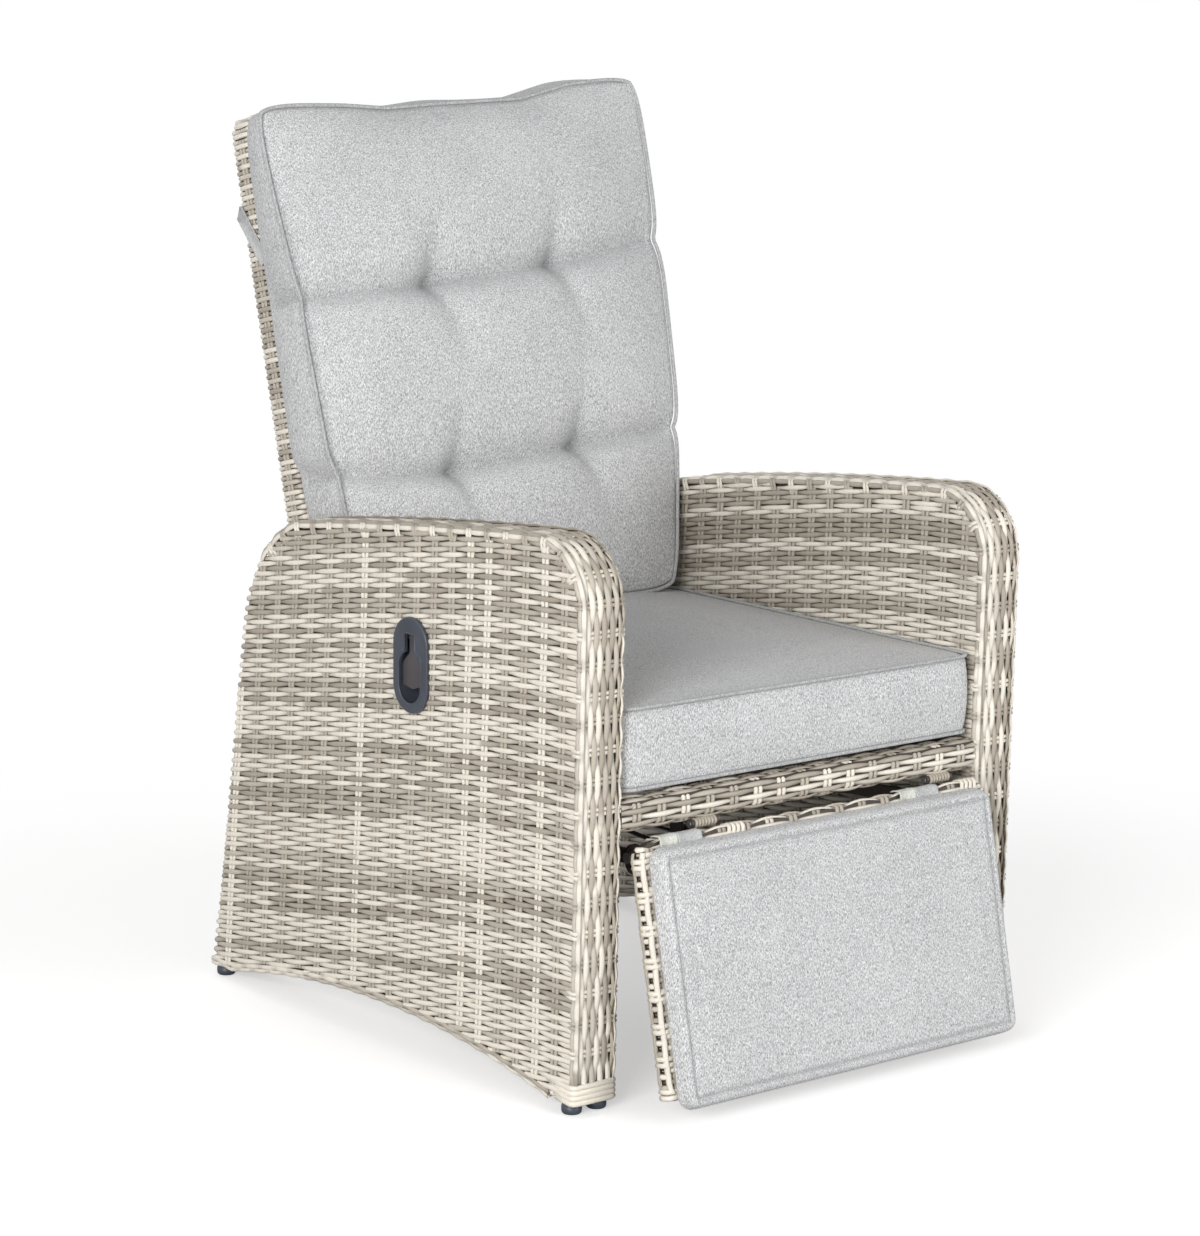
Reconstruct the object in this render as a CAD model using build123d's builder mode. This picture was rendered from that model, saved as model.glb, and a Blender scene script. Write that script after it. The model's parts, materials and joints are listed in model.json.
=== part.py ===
from build123d import *
import os
from math import atan2, cos, degrees, hypot, pi, radians, sin

os.makedirs("parts", exist_ok=True)

# Reclining garden armchair of woven cane over metal frames, with loose cushions.
# X runs across the chair, Y towards its back and Z up; the chair faces -Y and Z is 0 at the floor.
# Depths along Y are first given from the arms' front face, then moved by front_y.

# Arms
overall_width = 656.0
arm_width = 61.0
arm_height = 637.0
arm_depth = 726.0
arm_front_radius = 77.0
arm_front_lean = 8.0
arm_base_height = 13.0
arm_arch_rise = 35.0
arm_foot_flat = 46.0
arm_top_middle_shares = (0.46, 0.966)
arm_top_rear_shares = (0.748, 0.925)
arm_rear_round_shares = (0.844, 0.846)
arm_rear_edge_shares = (0.897, 0.716)
arm_edge_bevel = 3.5
skin_thickness = 5.0
stake_first = 24.0
stake_pitch = 35.0
stake_rib_width = 15.0
weave_border = 13.0
weave_relief = 1.5
tube_width = 16.0
spacer_length_share = 0.06

# Seat
seat_deck_height = 354.7
seat_deck_thickness = 5.0
seat_rail_width = 25.0
seat_rail_length = 522.0
seat_front_gap = 2.0
apron_front = 1.0
apron_depth = 34.0
apron_height = 39.0
apron_corner_radius = 12.0
apron_drop = 2.7
seat_cushion_front = 8.0
seat_cushion_overhang = 2.0
seat_cushion_thickness = 91.8
seat_cushion_crown = 6.0
seat_cushion_bulge = 1.5
seat_cushion_nose = 44.0

# Backrest
back_pivot_behind = 20.0
back_pivot_drop = 27.7
back_lean = 14.04
back_side_gap = 7.0
back_thickness = 42.0
back_start = 22.0
back_length = 746.0
back_corner_radius = 28.0
back_tube_width = 20.0
back_cushion_foot = 96.0
back_cushion_top = 737.0
back_cushion_edge = 91.0
back_cushion_crown = 26.0
back_cushion_spread = 6.0
back_cushion_tuft_depth = 4.0
back_strap_height = 600.0
back_strap_width = 40.0
strap_thickness = 1.8

# Footrest
footrest_hinge_depth = 4.6
footrest_hinge_height = 309.0
footrest_lean = 12.0
footrest_rear_offset = 5.3
footrest_thickness = 17.0
footrest_side_gap = 5.0
footrest_drop = 6.3
footrest_length = 286.0
footrest_corner_radius = 22.0
footrest_skin = 3.0
footrest_tube_width = 14.0
pad_side_margin = 19.0
pad_top_drop = 24.3
pad_length = 275.0
pad_thickness = 25.0
pad_crown = 4.0
pad_round = 12.0

# Recline linkage: cranks on the backrest push two rods that lift the footrest.
recline_angle = 30.0
lift_angle = 75.0
crank_radius = 100.0
crank_plate = 5.0
washer_thickness = 2.0
crank_width = 26.0
pivot_pin_radius = 5.0
link_pin_radius = 4.0
link_thickness = 6.0
link_height = 16.0
link_eye_width = 22.0
link_eye_slack = 3.4
bracket_plate = 5.0
head_thickness = 3.0
pin_head_share = 1.5

# Footrest hinges
barrel_left_inset = 117.0
barrel_right_inset = 60.0
barrel_length = 32.0
barrel_radius = 4.6
barrel_wrap = 1.2
hinge_pin_radius = 2.4
lug_plate = 3.0
lug_radius = 5.4
crank_lug_radius = 8.0
footrest_strap_left_inset = 77.0
footrest_strap_right_inset = 99.0
footrest_strap_width = 35.0
tab_width = 26.0
tab_length = 18.0

# Gas spring
gas_tube_radius = 11.0
gas_bore_radius = 9.0
gas_rod_radius = 4.0
gas_stroke = 52.0
gas_mount_depth = 206.0
gas_eye_length = 20.0
gas_lug_plate = 4.0
gas_eye_width = 12.0
gas_collar_length = 16.0
gas_wall = 6.0
release_block_width = 20.0
release_block_height = 24.0

# Release handle in the outer side of the left arm
handle_depth = 305.0
handle_drop = 179.5
bezel_width = 65.0
bezel_height = 111.0
bezel_proud = 4.0
cup_wall = 1.6
cup_depth = 24.0
cup_rim = 9.0
opening_width = 42.0
opening_height = 61.0
opening_drop = 39.0
neck_width = 19.0
neck_height = 20.0
paddle_width = 37.0
paddle_neck_width = 13.0
paddle_length = 58.0
paddle_neck_length = 20.0
paddle_thickness = 3.0
paddle_set_back = 5.0
paddle_pin_radius = 1.5

# Release cable
cable_radius = 2.5
cable_side_gap = 6.5
cable_drop = 60.0
cable_rise = 66.0
cable_bend_radius = 40.0
cable_sweep_radius = 90.0
cable_entry_radius = 45.0
cable_entry_run = 36.0
cable_inner_reach = 150.0
cable_inner_fall = 12.0
cable_inner_shift = 55.0
anchor_height = 8.0

# Feet and fasteners
foot_radius = 11.5
foot_stem_radius = 4.0
foot_stem_length = 12.0
foot_front_depth = 26.0
foot_rear_margin = 14.0
foot_chamfer = 2.0
bolt_radius = 3.0
bolt_head_radius = 5.0
bolt_head_height = 3.5
bolt_places_share = (0.1, 0.45, 0.93)

# Clearances
gap = 0.3
soft_gap = 0.5
running_clearance = 0.05
cut_overrun = 2.0

half_width = overall_width / 2
inner_half = half_width - arm_width
tilt = radians(back_lean)
lean = radians(footrest_lean)
footrest_top = -footrest_drop
handle_height = arm_height - handle_drop

back_half_width = inner_half - back_side_gap
back_cushion_half_width = inner_half + back_cushion_spread
footrest_half_width = inner_half - footrest_side_gap
pad_half_width = inner_half - pad_side_margin
seat_rear_depth = apron_front + apron_depth + seat_front_gap + seat_rail_length
seat_cushion_rear = seat_rear_depth + seat_cushion_overhang
back_pivot_depth = seat_rear_depth + back_pivot_behind

# The origin is on the floor, in the middle of the whole chair.
pad_front = footrest_rear_offset + footrest_thickness + gap + pad_thickness + pad_crown
pad_reach = (pad_top_drop + pad_length) * sin(lean) + pad_front * cos(lean) - footrest_hinge_depth
back_reach = back_pivot_depth + back_length * sin(tilt) + back_thickness / 2 * cos(tilt)
front_y = (pad_reach - back_reach) / 2

deck_bottom = seat_deck_height - seat_deck_thickness
pivot_y = front_y + back_pivot_depth
pivot_z = seat_deck_height - back_pivot_drop
hinge_y = front_y + footrest_hinge_depth
hinge_z = footrest_hinge_height


def save(builder, node):
    """Label a finished piece and write it."""
    builder.part.label = node
    export_step(builder.part, "parts/" + node + ".step")


def low_x(side, inner, thickness):
    """Lower X of a slab that starts at distance inner from the middle plane on one side."""
    return inner if side > 0 else -inner - thickness


def back_plane(forward=0.0, up=0.0):
    """Plane parallel to the backrest, local X across and local Y up the backrest."""
    origin = (
        0,
        pivot_y + up * sin(tilt) - forward * cos(tilt),
        pivot_z + up * cos(tilt) + forward * sin(tilt),
    )
    return Plane(origin=origin, x_dir=(1, 0, 0), z_dir=(0, -cos(tilt), sin(tilt)))


def back_level(up):
    """Plane square to the backrest's length, local X across and local Y backward."""
    origin = (0, pivot_y + up * sin(tilt), pivot_z + up * cos(tilt))
    return Plane(origin=origin, x_dir=(1, 0, 0), z_dir=(0, sin(tilt), cos(tilt)))


def foot_plane(forward=0.0):
    """Plane parallel to the footrest, local X across and local Y up the footrest."""
    origin = (0, hinge_y - forward * cos(lean), hinge_z + forward * sin(lean))
    return Plane(origin=origin, x_dir=(1, 0, 0), z_dir=(0, -cos(lean), sin(lean)))


def foot_level(up):
    """Plane square to the footrest's length, local X across and local Y backward."""
    origin = (0, hinge_y + up * sin(lean), hinge_z + up * cos(lean))
    return Plane(origin=origin, x_dir=(1, 0, 0), z_dir=(0, sin(lean), cos(lean)))


def across(x, y, z):
    """Plane square to X with its origin at a point."""
    return Plane(origin=(x, y, z), x_dir=(0, 1, 0), z_dir=(1, 0, 0))


# Arms: two skins, an edge band and a welded tube frame in each
def arm_outline(x, inset=0.0, ribs=()):
    """Side outline of an arm at one X, drawn in by inset and parted by upright ribs."""
    top_z = arm_height
    start = (front_y + arm_front_lean, arm_base_height)
    front_top = (front_y, top_z - arm_front_radius)
    top_start = (front_y + arm_front_radius, top_z)
    corner_mid = (
        front_y + arm_front_radius * (1 - cos(radians(45))),
        top_z - arm_front_radius * (1 - sin(radians(45))),
    )
    top_mid = (front_y + arm_depth * arm_top_middle_shares[0], top_z * arm_top_middle_shares[1])
    top_end = (front_y + arm_depth * arm_top_rear_shares[0], top_z * arm_top_rear_shares[1])
    round_mid = (front_y + arm_depth * arm_rear_round_shares[0], top_z * arm_rear_round_shares[1])
    edge_top = (front_y + arm_depth * arm_rear_edge_shares[0], top_z * arm_rear_edge_shares[1])
    rear_foot = (front_y + arm_depth, arm_base_height)
    arch_rear = (rear_foot[0] - arm_foot_flat, arm_base_height)
    arch_front = (start[0] + arm_foot_flat, arm_base_height)
    arch_mid = ((arch_rear[0] + arch_front[0]) / 2, arm_base_height + arm_arch_rise)
    with BuildSketch(Plane.YZ.offset(x)) as outline:
        with BuildLine():
            Line(start, front_top)
            ThreePointArc(front_top, corner_mid, top_start)
            ThreePointArc(top_start, top_mid, top_end)
            ThreePointArc(top_end, round_mid, edge_top)
            Line(edge_top, rear_foot)
            Line(rear_foot, arch_rear)
            ThreePointArc(arch_rear, arch_mid, arch_front)
            Line(arch_front, start)
        make_face()
        if inset > 0:
            offset(amount=-inset, kind=Kind.INTERSECTION)
        if ribs:
            with Locations(*[(y, top_z / 2) for y in ribs]):
                Rectangle(stake_rib_width, top_z, mode=Mode.SUBTRACT)
    return outline.sketch


# The pairs of upright stakes stand out as ribs, with the weave a little lower between them.
stake_count = int((arm_depth - stake_first - weave_border) / stake_pitch)
stake_ys = [front_y + stake_first + stake_pitch * number for number in range(stake_count + 1)]


def arm_skin(flat_x, face_x):
    """Skin of an arm from its flat side to its face, with a bevel round the face."""
    outward = 1 if face_x > flat_x else -1
    bevel_x = face_x - outward * arm_edge_bevel
    extrude(arm_outline(flat_x), amount=bevel_x - flat_x)
    loft(sections=[arm_outline(bevel_x), arm_outline(face_x, arm_edge_bevel)], ruled=True)
    lows = arm_outline(face_x, weave_border, stake_ys)
    extrude(lows, amount=-outward * weave_relief, mode=Mode.SUBTRACT)


seat_rail_middle = deck_bottom - seat_rail_width / 2
side_rail_front = front_y + apron_front + apron_depth + seat_front_gap
bolt_ys = [side_rail_front + seat_rail_length * share for share in bolt_places_share]
foot_offset = arm_width / 2 - skin_thickness - gap - tube_width / 2
foot_ys = (front_y + foot_front_depth, front_y + arm_depth - foot_rear_margin)
arm_middle = half_width - arm_width / 2
foot_xs = (arm_middle - foot_offset, arm_middle + foot_offset)
cable_y = front_y + handle_depth
cable_start_x = -half_width + cup_depth + cable_side_gap
cable_start_z = handle_height - bezel_height / 2 + cable_drop
gas_z = pivot_z - crank_radius * (1 + cos(radians(recline_angle / 2))) / 2
gas_y = front_y + gas_mount_depth
cable_floor = gas_z + cable_rise
cable_turn_y = gas_y + cable_inner_shift
cable_wall_share = (-inner_half - cable_start_x) / (-cable_inner_reach - cable_start_x)
bolt_tip = inner_half + skin_thickness + gap + tube_width - cut_overrun

for side, side_name in ((-1, "left"), (1, "right")):
    with BuildPart() as outer_skin:
        arm_skin(side * (half_width - skin_thickness), side * half_width)
        if side < 0:
            with BuildSketch(across(-half_width, front_y + handle_depth, handle_height)):
                slot_height = bezel_height - 2 * cup_rim + 2 * gap
                slot_width = bezel_width - 2 * cup_rim + 2 * gap
                SlotOverall(slot_height, slot_width, rotation=90)
            extrude(amount=skin_thickness, mode=Mode.SUBTRACT)
    save(outer_skin, "arm_outer_skin_" + side_name)

    with BuildPart() as inner_skin:
        arm_skin(side * (inner_half + skin_thickness), side * inner_half)
        with BuildSketch(Plane.YZ.offset(low_x(side, inner_half, skin_thickness))):
            with Locations(*[(y, seat_rail_middle) for y in bolt_ys]):
                Circle(bolt_radius + gap)
        extrude(amount=skin_thickness, mode=Mode.SUBTRACT)
        if side < 0:
            slot_y = cable_y + (cable_turn_y - cable_y) * cable_wall_share
            with BuildSketch(across(low_x(side, inner_half, skin_thickness), slot_y, cable_floor)):
                SlotOverall(6 * cable_radius, 4 * cable_radius, rotation=90)
            extrude(amount=skin_thickness, mode=Mode.SUBTRACT)
    save(inner_skin, "arm_inner_skin_" + side_name)

    with BuildPart() as edge_band:
        band_width = arm_width - 2 * skin_thickness
        band_x = low_x(side, inner_half + skin_thickness, band_width)
        extrude(arm_outline(band_x), amount=band_width)
        extrude(arm_outline(band_x, skin_thickness), amount=band_width, mode=Mode.SUBTRACT)
        with BuildSketch(Plane.XY.offset(arm_base_height)):
            with Locations(*[(side * x, y) for x in foot_xs for y in foot_ys]):
                Circle(foot_stem_radius + gap)
        extrude(amount=skin_thickness, mode=Mode.SUBTRACT)
    save(edge_band, "arm_edge_band_" + side_name)

    with BuildPart() as arm_frame:
        frame_inset = skin_thickness + gap
        for k in (-1, 1):
            loop_x = side * arm_middle + k * foot_offset - tube_width / 2
            extrude(arm_outline(loop_x, frame_inset), amount=tube_width)
            extrude(arm_outline(loop_x, frame_inset + tube_width), amount=tube_width, mode=Mode.SUBTRACT)
        inner_loop_x = side * arm_middle - side * foot_offset
        rail_front = front_y + arm_front_lean + frame_inset + tube_width / 2
        rail_rear = front_y + arm_depth * arm_rear_edge_shares[0] - frame_inset
        with BuildSketch(across(inner_loop_x - tube_width / 2, 0, 0)):
            with Locations(((rail_front + rail_rear) / 2, seat_rail_middle)):
                Rectangle(rail_rear - rail_front, tube_width)
        extrude(amount=tube_width)
        spacer_length = arm_depth * spacer_length_share
        bridge_x = side * arm_middle - foot_offset - tube_width / 2
        bridge_z = arm_base_height + skin_thickness + gap + tube_width / 2
        with BuildSketch(across(bridge_x, 0, 0)):
            for y in foot_ys:
                toward = 1 if y < 0 else -1
                with Locations((y + toward * spacer_length / 4, bridge_z)):
                    Rectangle(spacer_length / 2, tube_width)
        extrude(amount=2 * foot_offset + tube_width)
        with BuildSketch(Plane.XY.offset(arm_base_height)):
            with Locations(*[(side * x, y) for x in foot_xs for y in foot_ys]):
                Circle(foot_stem_radius + gap)
        extrude(amount=foot_stem_length + skin_thickness, mode=Mode.SUBTRACT)
        with BuildSketch(across(low_x(side, inner_half, arm_width), 0, 0)):
            with Locations(*[(y, seat_rail_middle) for y in bolt_ys]):
                Circle(bolt_radius + running_clearance)
        extrude(amount=arm_width, mode=Mode.SUBTRACT)
    save(arm_frame, "arm_frame_" + side_name)

    with BuildPart() as feet:
        with BuildSketch():
            with Locations(*[(side * x, y) for x in foot_xs for y in foot_ys]):
                Circle(foot_radius)
        extrude(amount=arm_base_height)
        chamfer(feet.faces().sort_by(Axis.Z)[0:4].edges(), length=foot_chamfer)
        with BuildSketch(Plane.XY.offset(arm_base_height)):
            with Locations(*[(side * x, y) for x in foot_xs for y in foot_ys]):
                Circle(foot_stem_radius)
        extrude(amount=foot_stem_length)
    save(feet, "feet_" + side_name)

# Seat: front rail in its woven apron, side and rear rails, cross tube and deck
rail_reach = inner_half - gap
front_rail_y = front_y + apron_front + apron_depth / 2
front_rail_z = seat_deck_height - apron_drop - apron_height / 2
side_rail_inner = inner_half - gap - seat_rail_width
web_width = barrel_length / 2
barrels = (barrel_left_inset - inner_half, inner_half - barrel_right_inset)
rail_bottom = front_rail_z - seat_rail_width / 2
rail_face = front_rail_y - seat_rail_width / 2

with BuildPart() as apron:
    with BuildSketch(across(-rail_reach, front_rail_y, front_rail_z)):
        RectangleRounded(apron_depth, apron_height, apron_corner_radius)
        Rectangle(seat_rail_width + 2 * gap, seat_rail_width + 2 * gap, mode=Mode.SUBTRACT)
    extrude(amount=2 * rail_reach)
    slot_bottom = front_rail_z - apron_height / 2 - cut_overrun
    slot_front = hinge_y + gap
    slot_rear = rail_face + 4 * barrel_radius + gap
    with BuildSketch(Plane.XY.offset(slot_bottom)):
        with Locations(*[(x, (slot_front + slot_rear) / 2) for x in barrels]):
            Rectangle(web_width + 2 * gap, slot_rear - slot_front)
    extrude(amount=rail_bottom - slot_bottom, mode=Mode.SUBTRACT)
save(apron, "apron_wicker")

with BuildPart() as front_rail:
    with BuildSketch(across(-rail_reach, front_rail_y, front_rail_z)):
        Rectangle(seat_rail_width, seat_rail_width)
    extrude(amount=2 * rail_reach)
save(front_rail, "seat_front_rail")

with BuildPart() as hinge_barrels:
    for x in barrels:
        with BuildSketch(across(x - web_width / 2, 0, 0)):
            with BuildLine():
                Polyline(
                    (hinge_y, hinge_z),
                    (rail_face + barrel_radius, rail_bottom - gap),
                    (rail_face + 4 * barrel_radius, rail_bottom - gap),
                    (hinge_y + barrel_radius, hinge_z),
                    close=True,
                )
            make_face()
        extrude(amount=web_width)
        with BuildSketch(across(x - barrel_length / 2, hinge_y, hinge_z)):
            Circle(barrel_radius)
        extrude(amount=barrel_length)
        with BuildSketch(across(x - barrel_length / 2, hinge_y, hinge_z)):
            Circle(hinge_pin_radius + running_clearance)
        extrude(amount=barrel_length, mode=Mode.SUBTRACT)
save(hinge_barrels, "footrest_hinge_barrels")

with BuildPart() as barrel_wraps:
    for x in barrels:
        with BuildSketch(across(x - barrel_length / 2, hinge_y, hinge_z)):
            Circle(barrel_radius + barrel_wrap)
            Circle(barrel_radius + gap / 2, mode=Mode.SUBTRACT)
        extrude(amount=barrel_length)
        with BuildSketch(across(x - web_width / 2 - gap, hinge_y, hinge_z)):
            with Locations((barrel_radius, 2 * barrel_radius)):
                Rectangle(4 * barrel_radius, 4 * barrel_radius)
        extrude(amount=web_width + 2 * gap, mode=Mode.SUBTRACT)
save(barrel_wraps, "hinge_barrel_wraps")

rear_rail_rear = side_rail_front + seat_rail_length
bracket_front = rear_rail_rear - 1.8 * seat_rail_width
bracket_inner = side_rail_inner - bracket_plate
crank_plane = bracket_inner - gap - washer_thickness - crank_plate
head_radius = pivot_pin_radius * pin_head_share
for side, side_name in ((-1, "left"), (1, "right")):
    with BuildPart() as side_rail:
        with BuildSketch(Plane.XZ.offset(-side_rail_front)):
            with Locations((side * (side_rail_inner + seat_rail_width / 2), seat_rail_middle)):
                Rectangle(seat_rail_width, seat_rail_width)
        extrude(amount=-seat_rail_length)
        with BuildSketch(across(low_x(side, side_rail_inner, seat_rail_width), 0, 0)):
            with Locations(*[(y, seat_rail_middle) for y in bolt_ys]):
                Circle(bolt_radius + gap)
        extrude(amount=seat_rail_width, mode=Mode.SUBTRACT)
    save(side_rail, "seat_side_rail_" + side_name)

    with BuildPart() as bracket:
        with BuildSketch(across(low_x(side, bracket_inner, bracket_plate), 0, 0)):
            with BuildLine():
                Polyline(
                    (bracket_front, seat_rail_middle + seat_rail_width / 2),
                    (rear_rail_rear, seat_rail_middle + seat_rail_width / 2),
                    (pivot_y + head_radius, pivot_z + 2 * head_radius),
                    (pivot_y + 2 * head_radius, pivot_z),
                    (pivot_y, pivot_z - 2 * head_radius),
                    (bracket_front, seat_rail_middle - seat_rail_width / 2),
                    close=True,
                )
            make_face()
            with Locations((pivot_y, pivot_z)):
                Circle(pivot_pin_radius + running_clearance, mode=Mode.SUBTRACT)
            with Locations((bolt_ys[-1], seat_rail_middle)):
                Circle(bolt_radius + gap, mode=Mode.SUBTRACT)
        extrude(amount=bracket_plate)
    save(bracket, "back_hinge_bracket_" + side_name)

with BuildPart() as rear_rail:
    with BuildSketch(across(-bracket_inner + gap, rear_rail_rear - seat_rail_width / 2, seat_rail_middle)):
        Rectangle(seat_rail_width, seat_rail_width)
    extrude(amount=2 * (bracket_inner - gap))
save(rear_rail, "seat_rear_rail")

with BuildPart() as cross_tube:
    with BuildSketch(across(-side_rail_inner + gap, gas_y, seat_rail_middle)):
        Rectangle(seat_rail_width, seat_rail_width)
    extrude(amount=2 * (side_rail_inner - gap))
save(cross_tube, "seat_cross_tube")

with BuildPart() as deck:
    with BuildSketch(Plane.XY.offset(deck_bottom + gap)):
        deck_front = front_y + apron_front + apron_depth + gap
        with Locations((0, (deck_front + rear_rail_rear) / 2)):
            Rectangle(2 * rail_reach, rear_rail_rear - deck_front)
    extrude(amount=seat_deck_thickness - gap)
save(deck, "seat_deck")

with BuildPart() as arm_bolts:
    for side in (-1, 1):
        for y in bolt_ys:
            seat_x = bracket_inner if y == bolt_ys[-1] else side_rail_inner
            head_x = low_x(side, seat_x - bolt_head_height - gap, bolt_head_height)
            with BuildSketch(across(head_x, y, seat_rail_middle)):
                Circle(bolt_head_radius)
            extrude(amount=bolt_head_height)
            shank_start = seat_x - gap - bolt_head_height / 2
            shank_x = low_x(side, shank_start, bolt_tip - shank_start)
            with BuildSketch(across(shank_x, y, seat_rail_middle)):
                Circle(bolt_radius)
            extrude(amount=bolt_tip - shank_start)
save(arm_bolts, "arm_bolts")

# Backrest: skins, edge band, tube frame, cranks and pins
def back_outline(forward, inset=0.0, foot=0.0):
    """Front outline of the backrest panel, drawn in by inset at the top and sides."""
    width = 2 * (back_half_width - inset)
    low = back_start - foot
    high = back_length - inset
    with BuildSketch(back_plane(forward)) as outline:
        with Locations((0, (low + high) / 2)):
            Rectangle(width, high - low)
        corners = outline.vertices().group_by(Axis.Z)[-1]
        fillet(corners, radius=max(back_corner_radius - inset, 2 * gap))
    return outline.sketch


half_back = back_thickness / 2
with BuildPart() as back_front:
    extrude(back_outline(half_back - skin_thickness), amount=skin_thickness)
save(back_front, "back_wicker_front")

with BuildPart() as back_rear:
    extrude(back_outline(-half_back), amount=skin_thickness)
save(back_rear, "back_wicker_rear")

with BuildPart() as back_edge:
    core = back_thickness - 2 * skin_thickness
    extrude(back_outline(-core / 2), amount=core)
    extrude(back_outline(-core / 2, skin_thickness, cut_overrun), amount=core, mode=Mode.SUBTRACT)
save(back_edge, "back_wicker_edge")

frame_half = half_back - skin_thickness - gap
with BuildPart() as back_frame:
    extrude(back_outline(-frame_half, skin_thickness + gap), amount=2 * frame_half)
    window_low = back_start + back_tube_width
    window_high = back_length - skin_thickness - gap - back_tube_width
    window_middle = (window_low + window_high) / 2
    window_width = 2 * (back_half_width - skin_thickness - gap - back_tube_width)
    window_height = (window_high - window_low - back_tube_width) / 2
    with BuildSketch(back_plane(-frame_half)):
        for k in (-1, 1):
            with Locations((0, window_middle + k * (window_height + back_tube_width) / 2)):
                Rectangle(window_width, window_height)
    extrude(amount=2 * frame_half, mode=Mode.SUBTRACT)
save(back_frame, "back_frame")

half_recline = radians(recline_angle / 2)
crank_pin_y = pivot_y + crank_radius * sin(half_recline)
crank_pin_z = pivot_z - crank_radius * cos(half_recline)
crank_top_y = pivot_y + (back_start - gap) * sin(tilt)
crank_top_z = pivot_z + (back_start - gap) * cos(tilt)


def crank_outline(x, pivot_hole=True):
    """Side outline of a crank plate from the backrest's lower tube to the link pin."""
    with BuildSketch(across(x, 0, 0)) as outline:
        with BuildLine():
            Polyline(
                (crank_top_y - crank_width / 2 * cos(tilt), crank_top_z + crank_width / 2 * sin(tilt)),
                (crank_top_y + crank_width / 2 * cos(tilt), crank_top_z - crank_width / 2 * sin(tilt)),
                (pivot_y + crank_width / 2, pivot_z),
                (crank_pin_y + crank_width / 3, crank_pin_z),
                (crank_pin_y, crank_pin_z - crank_width / 3),
                (crank_pin_y - crank_width / 3, crank_pin_z),
                (pivot_y - crank_width / 2, pivot_z),
                close=True,
            )
        make_face()
        if pivot_hole:
            with Locations((pivot_y, pivot_z)):
                Circle(pivot_pin_radius + running_clearance, mode=Mode.SUBTRACT)
        with Locations((crank_pin_y, crank_pin_z)):
            Circle(link_pin_radius + running_clearance, mode=Mode.SUBTRACT)
    return outline.sketch


for side, side_name in ((-1, "left"), (1, "right")):
    with BuildPart() as crank:
        extrude(crank_outline(low_x(side, crank_plane, crank_plate)), amount=crank_plate)
    save(crank, "back_crank_" + side_name)

gas_lug_inner = gas_eye_width / 2 + soft_gap
with BuildPart() as gas_crank:
    for side in (-1, 1):
        extrude(crank_outline(low_x(side, gas_lug_inner, gas_lug_plate), False), amount=gas_lug_plate)
save(gas_crank, "gas_spring_crank")

washer_x = crank_plane + crank_plate + gap / 2
with BuildPart() as washers:
    for side in (-1, 1):
        with BuildSketch(across(low_x(side, washer_x, washer_thickness), pivot_y, pivot_z)):
            Circle(head_radius)
            Circle(pivot_pin_radius + running_clearance, mode=Mode.SUBTRACT)
        extrude(amount=washer_thickness)
save(washers, "back_hinge_washers")


def pin(x_low, x_high, y, z, radius, head):
    """Pin along X with a round head at each end, outside the span it passes through."""
    cap_radius = radius * pin_head_share
    with BuildSketch(across(x_low - head, y, z)) as shank:
        Circle(radius)
    extrude(shank.sketch, amount=x_high - x_low + 2 * head)
    for x in (x_low - head, x_high):
        with BuildSketch(across(x, y, z)) as cap:
            Circle(cap_radius)
        extrude(cap.sketch, amount=head)


bracket_outer = bracket_inner + bracket_plate
with BuildPart() as back_pins:
    for side in (-1, 1):
        low = crank_plane - gap
        span = bracket_outer + gap - low
        start = low_x(side, low, span)
        pin(start, start + span, pivot_y, pivot_z, pivot_pin_radius, head_thickness)
save(back_pins, "back_hinge_pins")

link_inner = crank_plane - gap - link_thickness
with BuildPart() as crank_pins:
    for side in (-1, 1):
        low = link_inner - gap
        span = crank_plane + crank_plate + gap - low
        start = low_x(side, low, span)
        pin(start, start + span, crank_pin_y, crank_pin_z, link_pin_radius, head_thickness)
save(crank_pins, "link_pins_rear")

with BuildPart() as gas_pin:
    reach = gas_lug_inner + gas_lug_plate + gap
    pin(-reach, reach, crank_pin_y, crank_pin_z, link_pin_radius, head_thickness)
save(gas_pin, "gas_spring_pin_rear")

# Footrest: skins, frame, hinge lugs, cranks, pins
half_lift = radians(lift_angle / 2)
lift_radius = crank_radius * sin(half_recline) / sin(half_lift)
lift_pin_y = hinge_y + lift_radius * sin(half_lift)
lift_pin_z = hinge_z - lift_radius * cos(half_lift)
foot_bottom = footrest_top - footrest_length
lug_reach = barrel_length / 2 + gap


def foot_outline(forward, inset=0.0):
    """Front outline of the footrest panel, drawn in by inset all round."""
    with BuildSketch(foot_plane(forward)) as outline:
        with Locations((0, (footrest_top + foot_bottom) / 2)):
            RectangleRounded(
                2 * (footrest_half_width - inset),
                footrest_length - 2 * inset,
                max(footrest_corner_radius - inset, 2 * gap),
            )
    return outline.sketch


def plate_slots():
    """Slots in the rear skin for the hinge lugs and cranks."""
    slot_height = 2 * (lift_radius + crank_lug_radius)
    for side in (-1, 1):
        slot_x = low_x(side, crank_plane - gap, crank_plate + 2 * gap)
        with BuildSketch(across(slot_x, hinge_y, hinge_z)) as slot:
            Rectangle(4 * footrest_thickness, slot_height)
        extrude(slot.sketch, amount=crank_plate + 2 * gap, mode=Mode.SUBTRACT)
    lug_slot_height = 2 * (footrest_drop + 2 * footrest_skin + footrest_tube_width + lug_radius)
    for x in barrels:
        for start in (x - lug_reach - lug_plate - gap, x + lug_reach - gap):
            with BuildSketch(across(start, hinge_y, hinge_z)) as slot:
                Rectangle(4 * footrest_thickness, lug_slot_height)
            extrude(slot.sketch, amount=lug_plate + 2 * gap, mode=Mode.SUBTRACT)


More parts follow.
